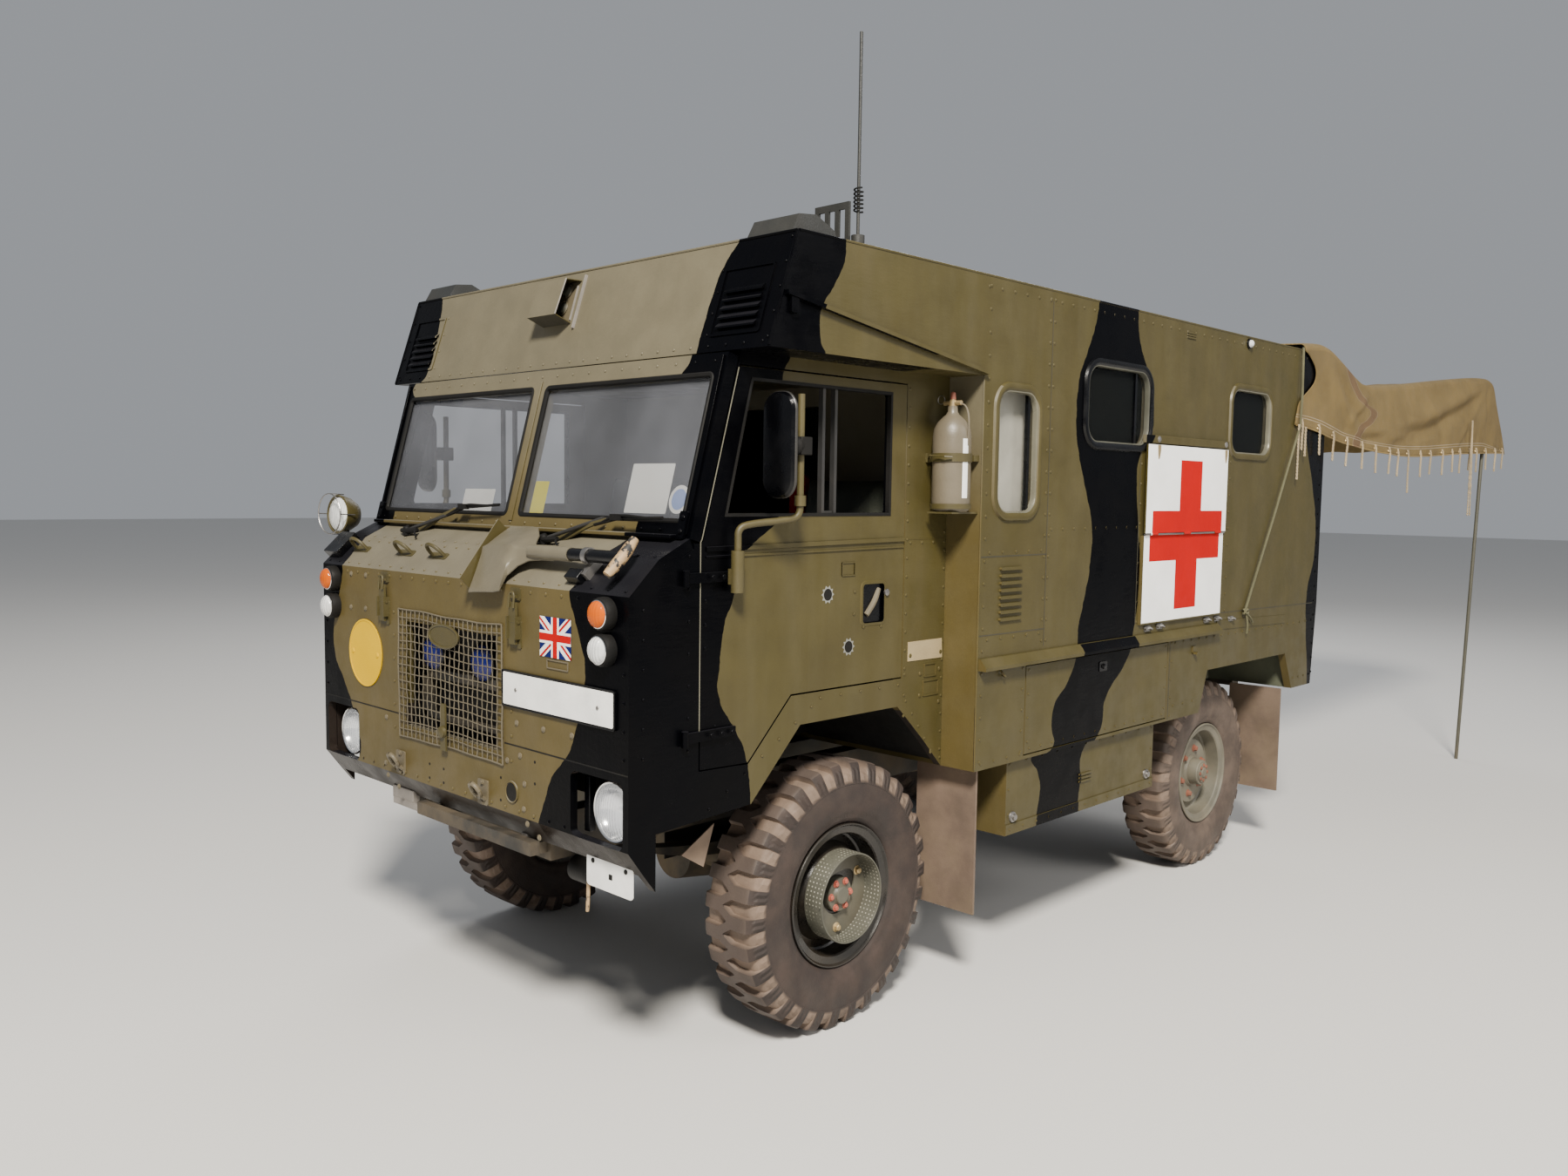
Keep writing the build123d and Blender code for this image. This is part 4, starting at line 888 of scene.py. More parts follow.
class Cloth(Finish):
    """Woven canvas: crossed threads on the piece's own UV map, faded in patches."""

    TAPE = [(2.04, 3.84), (2.11, 3.87), (2.17, 4.01), (2.215, 4.06), (2.25, 3.93), (2.30, 3.84), (2.38, 3.75),
            (2.52, 3.70)]
    TAPE_COLOUR = (0.150, 0.082, 0.040)
    THREAD = (0.36, 0.29, 0.19)

    def base(self, g: Graph) -> Value:
        """Faded and stained patches, a darker tape sewn across, and pale stitches along the hems."""
        fade = g.ramp(g.noise(2.2, 5.0, 0.65), 0.35, 0.7)
        stain = g.ramp(g.noise(5.0, 6.0, 0.7), 0.5, 0.75)
        faded = g.mix(g.times(fade, 0.45), self.colour, tuple(min(1.0, c * 1.35) for c in self.colour))
        cloth = g.mix(g.times(stain, 0.35), faded, tuple(c * 0.6 for c in self.colour))
        _, y, z = g.place()
        middle = g.curve(z, self.TAPE, (2.0, 2.6), (3.0, 4.5))
        off = g.size(g.math("SUBTRACT", y, middle))
        cloth = g.mix(g.times(g.below(off, 0.052), 0.75), cloth, self.TAPE_COLOUR)
        across = g.parted(g.map("cloth"))[0]
        stitch = g.math("COMPARE", off, 0.052, 0.0018)
        for at in (0.046, 0.060):
            stitch = g.most(stitch, g.math("COMPARE", across, at, 0.0020))
        return g.mix(stitch, cloth, self.THREAD)

    def relief(self, g: Graph) -> Value:
        """Warp and weft as two crossed waves."""
        uv = g.map("cloth")
        return g.plus(*(g.wave(direction, 130.0, uv, 0.6) for direction in ("X", "Y")))

    def extra(self, g: Graph) -> None:
        """A soft sheen."""
        g.set(Sheen_Weight=0.06, Sheen_Roughness=0.5, Specular_IOR_Level=0.2)


class Chipped(Finish):
    """Bare wood under flaking black paint."""

    def base(self, g: Graph) -> Value:
        """Paint left in patches."""
        return g.mix(g.ramp(g.noise(30.0, 4.0, 0.6), 0.44, 0.50), (0.010, 0.010, 0.010), self.colour)


class Rope(Finish):
    """Twisted cord."""

    def relief(self, g: Graph) -> Value:
        """Slanted strands."""
        return g.wave("DIAGONAL", 90.0)


class Look(Enum):
    """The truck's finishes."""

    CAMO = Camouflage("field_paint", rough=0.46, grain=0.0006, mottle=0.10, dust=0.16)
    OLIVE = Finish("olive_paint", GREEN, 0.52, dust=0.2)
    GREY_OLIVE = Finish("grey_olive_paint", (0.105, 0.088, 0.055), 0.45, dust=0.12, dust_top=3.0)
    BOTTLE = Finish("bottle_paint", (0.125, 0.105, 0.072), 0.42, dust=0.06, dust_top=3.0)
    HUB_GREY = Finish("hub_grey_paint", (0.068, 0.068, 0.052), 0.42, mottle=0.25, dust=0.25, dust_top=1.2)
    PALE_BAR = Finish("pale_bar", (0.220, 0.200, 0.180), 0.6, mottle=0.3, dust=0.15)
    GLOSS_BLACK = Finish("black_enamel", BLACK, 0.28, dust=0.01, spec=0.3)
    CHASSIS = Finish("chassis_black", (0.018, 0.017, 0.015), 0.6, dust=0.75, dust_top=1.4)
    ENGINE = Finish("engine_castings", (0.06, 0.065, 0.06), 0.6, dust=0.5, dust_top=2.0)
    STEEL = Finish("worn_steel", (0.32, 0.31, 0.30), 0.42, metal=1.0, dust=0.2, dust_top=3.0)
    CHROME = Finish("chrome", (0.80, 0.80, 0.80), 0.12, metal=1.0, mottle=0.04, dust=0.03, grain=0.0)
    BRASS = Finish("brass", (0.50, 0.38, 0.20), 0.40, metal=0.7, dust=0.05)
    WIRE = Finish("painted_wire", (0.100, 0.085, 0.056), 0.5, dust=0.12, dust_top=2.0)
    GLASS = ClearGlass("window_glass", (0.012, 0.014, 0.014), 0.03, mottle=0.0, dust=0.04,
                       dust_top=3.0, grain=0.0, drift=0.015)
    SPADE = Finish("shovel_paint", (0.112, 0.099, 0.068), 0.40, mottle=0.15, dust=0.05, dust_top=3.0)
    MIRROR = Finish("mirror_glass", (0.78, 0.80, 0.82), 0.04, metal=1.0, mottle=0.0, dust=0.04,
                    grain=0.0, drift=0.01)
    RUBBER = Finish("black_rubber", (0.005, 0.005, 0.005), 0.6, dust=0.03, dust_top=3.0, spec=0.2)
    FLAP = Finish("flap_rubber", (0.125, 0.086, 0.062), 0.8, mottle=0.3, dust=0.5, dust_top=1.2)
    TYRE = TyreRubber("tyre_rubber", (0.019, 0.0125, 0.0102), 0.72, mottle=0.18, dust=0.0, grain=0.004)
    WHEEL_BLACK = Finish("wheel_black", (0.006, 0.0055, 0.005), 0.28, dust=0.10, dust_top=1.2)
    WHEEL_GREY = Finish("wheel_grey", (0.125, 0.118, 0.090), 0.55, mottle=0.25, dust=0.35, dust_top=1.2)
    GUARD = Chequer("chequer_guard", (0.070, 0.070, 0.054), 0.45, dust=0.10, grain=0.0016, dust_top=1.2)
    RED_BOLT = Finish("red_oxide_bolts", (0.36, 0.075, 0.048), 0.6, mottle=0.3, dust=0.2, dust_top=1.2)
    OXIDE_NUT = Finish("red_oxide_nuts", (0.20, 0.062, 0.036), 0.6, mottle=0.3, dust=0.25, dust_top=1.2)
    CLEAR_LENS = Lens("clear_lens", (0.62, 0.63, 0.62), 0.10, mottle=0.15, mottle_scale=40.0, dust=0.06,
                      grain=0.0012)
    HEAD_GLASS = Lens("head_glass", (0.86, 0.89, 0.94), 0.06, mottle=0.02, dust=0.04, dust_top=3.0,
                      grain=0.0012, alpha=0.30)
    AMBER = Lens("amber_lens", (0.46, 0.080, 0.0), 0.16, mottle=0.05, dust=0.0, grain=0.0006, spec=0.15)
    RED_LENS = Lens("red_lens", (0.45, 0.004, 0.004), 0.16, mottle=0.05, dust=0.08, grain=0.0006)
    BLUE_LENS = Lens("blue_lens", (0.004, 0.008, 0.11), 0.16, mottle=0.05, dust=0.10, grain=0.0006)
    SILVER = Finish("lamp_bowl", (0.85, 0.85, 0.85), 0.15, metal=1.0, mottle=0.02, dust=0.0, grain=0.0)
    WHITE = Finish("white_paint", (0.87, 0.87, 0.84), 0.45, dust=0.10, dust_top=3.0)
    BOARD = Board("cross_board", (0.7, 0.7, 0.7), 0.50, mottle=0.05, dust=0.0, spec=0.12)
    YELLOW = Finish("yellow_paint", (0.62, 0.38, 0.0), 0.6, mottle=0.05, dust=0.0, spec=0.05)
    RED = Finish("flag_red", (0.38, 0.0, 0.001), 0.5, mottle=0.04, dust=0.0, spec=0.1)
    BLUE = Finish("flag_blue", (0.004, 0.008, 0.085), 0.5, mottle=0.04, dust=0.0, spec=0.1)
    CREAM = Finish("cream_plate", (0.30, 0.235, 0.130), 0.5, dust=0.3)
    PAPER = Finish("paper", (0.80, 0.80, 0.77), 0.7, mottle=0.03, dust=0.0, grain=0.0)
    YELLOW_PAPER = Finish("yellow_paper", (0.70, 0.62, 0.0), 0.7, mottle=0.03, dust=0.0, grain=0.0, spec=0.1)
    BLUE_PAPER = Finish("blue_paper", (0.20, 0.30, 0.62), 0.7, mottle=0.03, dust=0.0, grain=0.0)
    PLASTIC = Finish("black_plastic", (0.015, 0.015, 0.015), 0.5, dust=0.12, dust_top=3.0)
    INSIDE = Finish("inside_paint", (0.075, 0.085, 0.055), 0.55, dust=0.15, dust_top=2.0)
    PALE_INSIDE = Finish("pale_lining", (0.92, 0.89, 0.76), 0.55, dust=0.02, dust_top=3.0)
    # Black sheets behind the middle and rear side windows: painted shade of the dark inside
    SHADE_SHEET = Finish("painted_shade_sheet", (0.0008, 0.0008, 0.0008), 0.9, mottle=0.2, dust=0.0,
                   grain=0.0008, spec=0.0)
    VINYL = Finish("seat_vinyl", (0.035, 0.040, 0.030), 0.48, mottle=0.2, grain=0.0008, grain_scale=420.0)
    CANVAS = Cloth("olive_canvas", (0.185, 0.127, 0.044), 0.85, mottle=0.12, dust=0.02, dust_top=3.0,
                   grain=0.0010)
    ROPE = Rope("hemp_rope", (0.44, 0.35, 0.22), 0.9, mottle=0.2, dust=0.05, grain=0.002)
    GREEN_ROPE = Rope("green_rope", (0.125, 0.118, 0.062), 0.85, mottle=0.2, dust=0.1, grain=0.002)
    PALE_TRIM = Finish("pale_trim", (0.20, 0.19, 0.14), 0.35, metal=0.4, dust=0.1, dust_top=3.0)
    SILVER_PAINT = Finish("silver_paint", (0.24, 0.24, 0.21), 0.5, metal=0.3, dust=0.05)
    SEAM = Finish("seam_shadow", (0.030, 0.027, 0.016), 0.7, dust=0.2)
    WORN_WOOD = Chipped("worn_wood", (0.30, 0.20, 0.10), 0.6, mottle=0.4, mottle_scale=22.0, dust=0.1)
    POLE = Finish("pole_paint", (0.060, 0.058, 0.040), 0.5, dust=0.25)
    ROOF_KIT = Finish("roof_kit_paint", (0.014, 0.015, 0.014), 0.5, dust=0.08, dust_top=3.5)


# Workshop


class Workshop:
    """Turns solids into dressed objects and hands them to the frame."""

    def __init__(self, frame: dict) -> None:
        """Finds the front axle in the frame.
        """
        self.frame = frame
        low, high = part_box("wheel_front_left")
        self.axle_y = (low.y + high.y) / 2
        self.made: dict[Look, bpy.types.Material] = {}

    def material(self, look: Look) -> bpy.types.Material:
        """The finish's material, made once."""
        if look not in self.made:
            self.made[look] = look.value.build(self.axle_y)
        return self.made[look]

    def place(self, point: Sequence) -> tuple[float, float, float]:
        """A point of the frame from truck coordinates."""
        return (point[0], point[1] + self.axle_y, point[2])

    def paint(self, look: Look, *nodes: str) -> None:
        """Gives CAD nodes a finish.

        Args:
            look: the finish.
            nodes: the nodes' names.
        """
        for name in nodes:
            mesh = self.frame["nodes"][name].data
            mesh.materials.clear()
            mesh.materials.append(self.material(look))
        log.info("painted %s: %s", look.value.name, ", ".join(nodes))

    def make(self, name: str, solids: Union[Solid, Iterable[Solid]], look: Look, body: str = "truck",
             bevel: float = 0.0, angle: float = 32.0, closed: bool = True, uv: Optional[tuple] = None,
             attributes: Optional[dict] = None) -> bpy.types.Object:
        """One object from one or more solids.

        Args:
            name: of the object.
            solids: its meshes, in truck coordinates.
            look: its finish.
            body: the CAD body that it moves with.
            bevel: width of a small round along its hard edges.
            angle: faces that meet at less than this are shaded as one.
            closed: whether the faces enclose a body, so that they are turned outwards.
            uv: a map's name and a point of it for each vertex.
            attributes: names and values of numbers for each vertex.
        Returns:
            The object, at the origin, riding on its body.
        """
        solid = Solid.joined(solids)
        mesh = bpy.data.meshes.new(name)
        mesh.vertices.add(len(solid.verts))
        mesh.vertices.foreach_set("co", (solid.verts + (0.0, self.axle_y, 0.0)).astype(np.float32).ravel())
        mesh.loops.add(len(solid.loops))
        mesh.loops.foreach_set("vertex_index", solid.loops.astype(np.int32))
        mesh.polygons.add(len(solid.sizes))
        starts = np.concatenate([[0], np.cumsum(solid.sizes)[:-1]])
        mesh.polygons.foreach_set("loop_start", starts.astype(np.int32))
        mesh.update(calc_edges=True)
        if uv is not None:
            layer = mesh.uv_layers.new(name=uv[0])
            layer.data.foreach_set("uv", uv[1][solid.loops].astype(np.float32).ravel())
        for key, values in (attributes or {}).items():
            mesh.attributes.new(key, "FLOAT", "POINT").data.foreach_set("value", values.astype(np.float32))
        if closed:
            work = bmesh.new()
            work.from_mesh(mesh)
            bmesh.ops.remove_doubles(work, verts=work.verts, dist=2e-6)
            bmesh.ops.dissolve_degenerate(work, edges=work.edges, dist=1e-7)
            bmesh.ops.recalc_face_normals(work, faces=work.faces)
            work.to_mesh(mesh)
            work.free()
        mesh.polygons.foreach_set("use_smooth", np.ones(len(mesh.polygons), bool))
        mesh.set_sharp_from_angle(angle=math.radians(angle))
        mesh.materials.append(self.material(look))
        made = bpy.data.objects.new(name, mesh)
        bpy.context.scene.collection.objects.link(made)
        if bevel:
            trim = made.modifiers.new("edges", "BEVEL")
            trim.width, trim.segments = bevel, 2
            trim.limit_method, trim.angle_limit = "ANGLE", math.radians(40)
            trim.harden_normals = False
        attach(made, body)
        log.info("%s: %d faces on %s", name, len(mesh.polygons), body)
        return made

    def both(self, name: str, solids: Union[Solid, Iterable[Solid]], look: Look, **rest) -> bpy.types.Object:
        """Makes solids drawn for the left side, on both sides."""
        solid = Solid.joined(solids)
        return self.make(name, [solid, solid.mirrored()], look, **rest)


# Assemblies


@dataclass
class Paintwork:
    """The finishes of the pieces that keep their CAD form."""

    plan: dict = field(default_factory=lambda: {
        Look.CAMO: "cab_front front_valance windscreen_frame cab_side_left cab_side_right door_left "
                   "door_right body_front body_side_left body_side_right luton body_roof rear_frame "
                   "rear_door_left rear_door_right locker_door_left locker_door_right side_rails sill_boxes",
        Look.CHASSIS: "chassis leaf_springs front_axle rear_axle knuckle_left knuckle_right track_rod "
                      "propshafts",
        Look.ENGINE: "power_unit",
        Look.WIRE: "grille",
        Look.GLASS: "window_glass",
        Look.INSIDE: "bench_left bench_right steering_column",
        Look.VINYL: "seats",
        # The frame's wipers lie under the olive arms: their black is a lower link and a painted shadow of the
        # arms
        Look.PLASTIC: "steering_wheel wipers",
        Look.GLOSS_BLACK: "mirror_left mirror_right",
        Look.WHEEL_BLACK: "wheel_front_left wheel_front_right",
        Look.WHEEL_GREY: "wheel_rear_left wheel_rear_right",
        # The radiator and both floors are near black: black paint and grime, with painted shade behind the
        # grille and under the body
        Look.RUBBER: "tyre_front_left tyre_front_right tyre_rear_left tyre_rear_right radiator cab_floor "
                     "body_floor",
        Look.BOARD: "cross_flap_left cross_flap_right",
        Look.FLAP: "mudflaps",
        Look.SILVER: "front_lamps",
        Look.RED_LENS: "rear_lamps",
        Look.OLIVE: "shovel lamp_box",
        Look.BOTTLE: "gas_cylinder",
        Look.ROOF_KIT: "roof_fittings",
        Look.CANVAS: "canopy",
        Look.POLE: "canopy_poles",
    })

    def build(self, shop: Workshop) -> None:
        """Paints every node."""
        for look, nodes in self.plan.items():
            shop.paint(look, *nodes.split())


@dataclass
class RoadWheel:
    """A wheel and tyre: rim, disc and hub turned about the axle, and a casing whose tread is a grid."""

    name: str
    axle: float
    centre: float
    body: str
    hand: int
    front: bool
    radius: float = 0.438
    axle_height: float = 0.438
    groove_count: int = 30

    groove_half: float = 0.021
    past_middle: float = 0.007
    point_start: float = 0.027
    plate_radius: float = 0.1405

    # Sections as (distance out of the wheel's middle, radius); True is a front wheel's, False a rear one's
    barrel = [(-0.095, 0.197), (-0.095, 0.233), (-0.093, 0.235), (-0.088, 0.235), (-0.085, 0.232),
              (-0.080, 0.207), (-0.077, 0.205), (0.077, 0.205), (0.080, 0.207), (0.085, 0.232),
              (0.088, 0.235), (0.093, 0.235), (0.095, 0.233), (0.095, 0.230), (0.088, 0.224), (0.083, 0.202),
              (0.078, 0.198)]
    dishes = {
        True: [(0.016, 0.197), (0.012, 0.190), (0.020, 0.165), (0.036, 0.152), (0.0625, 0.139),
               (0.0625, 0.060), (0.048, 0.058), (0.048, 0.046), (0.0, 0.046), (-0.052, 0.046),
               (-0.052, 0.084), (0.004, 0.084), (0.006, 0.150), (-0.008, 0.197)],
        False: [(0.016, 0.197), (0.010, 0.188), (0.014, 0.168), (0.026, 0.156), (0.034, 0.150),
                (0.034, 0.074), (0.046, 0.066), (0.046, 0.045), (-0.052, 0.045), (-0.052, 0.084),
                (0.010, 0.084), (0.014, 0.146), (0.002, 0.160), (-0.008, 0.197)],
    }
    hubs = {
        True: [(0.0632, 0.045), (0.048, 0.045), (0.048, 0.0575), (0.081, 0.0565), (0.084, 0.054),
               (0.084, 0.036), (0.088, 0.0315), (0.096, 0.0290), (0.098, 0.026)],
        False: [(0.0632, 0.044), (0.046, 0.044), (0.046, 0.062), (0.088, 0.059), (0.092, 0.056),
                (0.092, 0.047), (0.098, 0.046), (0.099, 0.024), (0.104, 0.020)],
    }
    guard = [(0.062, 0.1465), (0.134, 0.1465), (0.136, 0.1455), (0.136, 0.1420), (0.134, 0.1410),
             (0.062, 0.1410)]

    # Half the casing's section from the middle out to the bead: across, radius on a lug, radius in a groove
    section = np.array([
        (0.000, 0.4380, 0.4190), (0.009, 0.4380, 0.4190), (0.018, 0.4380, 0.4190), (0.027, 0.4379, 0.4190),
        (0.045, 0.4377, 0.4188), (0.064, 0.4374, 0.4184), (0.080, 0.4366, 0.4174), (0.0885, 0.4345, 0.4155),
        (0.0950, 0.4285, 0.4110), (0.0995, 0.4190, 0.4040), (0.1040, 0.4060, 0.3950),
        (0.1075, 0.3930, 0.3860), (0.1100, 0.3810, 0.3790), (0.1128, 0.3690, 0.3690),
        (0.1132, 0.3672, 0.3672), (0.1118, 0.3655, 0.3655), (0.1140, 0.3500, 0.3500),
        (0.1152, 0.3300, 0.3300), (0.1150, 0.3080, 0.3080), (0.1120, 0.2880, 0.2880),
        (0.1060, 0.2700, 0.2700), (0.1010, 0.2620, 0.2620), (0.1000, 0.2560, 0.2560),
        (0.0960, 0.2500, 0.2500), (0.0900, 0.2420, 0.2420), (0.0850, 0.2385, 0.2385),
        (0.0795, 0.2330, 0.2330), (0.0780, 0.2070, 0.2070),
    ])

    def tread(self) -> tuple[Solid, Array, Array]:
        """The casing as one closed grid.

        Returns:
            The surface, its groove depth at each point, 0 on a lug and 1 in a groove, and the low ribs of its
            shoulders, which run out along every third line of the grid. Round the tyre the grid's
            lines follow the groove walls: in each pitch there is one groove of the near side, centred at 0,
            and one of the far side, centred at half a pitch, and each ends in a point just past the middle.
        """
        half = self.section
        across = np.concatenate([-half[:0:-1, 0], half[:, 0]])
        high = np.concatenate([half[:0:-1, 1], half[:, 1]])
        low = np.concatenate([half[:0:-1, 2], half[:, 2]])
        pitch = 2 * np.pi / self.groove_count
        full = self.groove_half / self.radius / pitch

        def width(outer: Array) -> Array:
            """Half a groove's width in pitches, from the distance out on its own side."""
            taper = (outer + self.past_middle) / (self.point_start + self.past_middle)
            return full * np.clip(taper, 0.0, 1.0)

        near, far = width(across), width(-across)
        wall = 0.035
        near_lip, far_lip = near + np.where(near > 0, wall, 0.004), far + np.where(far > 0, wall, 0.004)
        zero = np.zeros_like(near)
        lines = np.stack([-near_lip, -near, zero, near, near_lip, (near_lip + 0.5 - far_lip) / 2,
                          0.5 - far_lip, 0.5 - far, 0.5 + zero, 0.5 + far, 0.5 + far_lip,
                          (0.5 + far_lip + 1 - near_lip) / 2], 0)
        in_near, in_far = (near > 0).astype(float), (far > 0).astype(float)
        cut = np.stack([zero, in_near, in_near, in_near, zero, zero, zero, in_far, in_far, in_far,
                        zero, zero], 0)
        turns = ((np.arange(self.groove_count)[:, None, None] + lines[None]) * pitch).reshape(-1, len(across))
        depth = np.tile(cut, (self.groove_count, 1))
        radius = high + (low - high) * depth
        x = np.broadcast_to(across, radius.shape)
        rings = np.stack([self.centre + x, self.axle + radius * np.sin(turns),
                          self.axle_height + radius * np.cos(turns)], -1)
        sunk = depth * (high - low > 0.002)
        shoulder = (np.abs(across) > 0.1030) & (high > 0.372)
        rib = np.tile(np.array([0, 0, 1, 0, 0, 1, 0, 0, 1, 0, 0, 1])[:, None],
                      (self.groove_count, 1)) * shoulder
        # Quads close across the bore because the section's two ends join.
        return skin(rings, path_closed=True), sunk.ravel(), rib.ravel()

    def disc(self) -> list[tuple[str, Look, Solid]]:
        """The pieces of the wheel.

        Returns:
            Each one's label, finish and mesh.
        """
        middle, axis = (self.centre, self.axle, self.axle_height), (self.hand, 0.0, 0.0)
        dish = turned(self.barrel + self.dishes[self.front], middle, axis, 96, ring=True)
        hub = turned(capped(*self.hubs[self.front]), middle, axis, 48)
        if not self.front:
            nuts = hexagon_bolts(self.hub_face(0.034), circle(0.108, sides=6) @ self.turn(18.0),
                                 0.0125, 0.018)
            bolts = hexagon_bolts(self.hub_face(0.0985), circle(0.036, sides=8), 0.006, 0.005)
            return [("disc", Look.WHEEL_GREY, dish), ("wheel_nuts", Look.OXIDE_NUT, nuts),
                    ("hub_bolts", Look.OXIDE_NUT, bolts), ("hub", Look.WHEEL_GREY, hub)]
        face, outer, hole = self.hub_face(0.068), circle(self.plate_radius, sides=64), self.pear()
        rings = ((outer, -0.005), (outer, 0), (hole, 0), (hole, -0.005))
        plate = np.stack([face.at(line, lift) for line, lift in rings], 1)
        guard = turned(self.guard, middle, axis, 96, ring=True)
        bolts = hexagon_bolts(self.hub_face(0.084), circle(0.0455, sides=6), 0.0085, 0.009)
        nuts = hexagon_bolts(face, circle(0.113, sides=3) @ self.turn(30.0), 0.011, 0.014)
        return [("disc", Look.WHEEL_BLACK, dish),
                ("base_plate", Look.HUB_GREY, skin(plate, path_closed=True)),
                ("ring_guard", Look.GUARD, guard), ("flange_bolts", Look.RED_BOLT, bolts),
                ("guard_nuts", Look.BRASS, nuts), ("hub", Look.HUB_GREY, hub)]

    def hub_face(self, out: float) -> Face:
        """The wheel's outer plane at a distance out of its middle."""
        return Face((self.centre + self.hand * out, self.axle, self.axle_height),
                    (0.0, float(self.hand), 0.0), UP)

    @staticmethod
    def turn(degrees: float) -> Array:
        """A turn in the plane."""
        c, s = math.cos(math.radians(degrees)), math.sin(math.radians(degrees))
        return np.array([(c, s), (-s, c)])

    @staticmethod
    def pear() -> Array:
        """The opening of the base plate: a circle drawn out to one side, its radius led by the cosine."""
        turn = np.arange(64) * 2 * np.pi / 64
        radius = 0.067 + 0.030 * np.clip(np.cos(turn - 0.6), 0.0, 1.0) ** 6
        return np.stack([radius * np.cos(turn), radius * np.sin(turn)], -1)

    def build(self, shop: Workshop) -> None:
        """Makes the tyre and the wheel and stands them for the plain ones.

        Args:
            shop: where the pieces are made.
        """
        casing, sunk, rib = self.tread()
        tyre = shop.make(f"{self.name}_tyre", casing, Look.TYRE, self.body, angle=38.0,
                         attributes={"groove": sunk, "rib": rib})
        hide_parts(f"tyre_{self.name}")
        for label, look, solid in self.disc():
            uv = None
            if label == "ring_guard":
                turn = np.arctan2(solid.verts[:, 2] - self.axle_height, solid.verts[:, 1] - self.axle)
                uv = ("plate", np.stack([turn * 0.147, solid.verts[:, 0]], -1))
            made = shop.make(f"{self.name}_{label}", solid, look, self.body, uv=uv)
            if label == "disc":
                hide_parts(f"wheel_{self.name}")


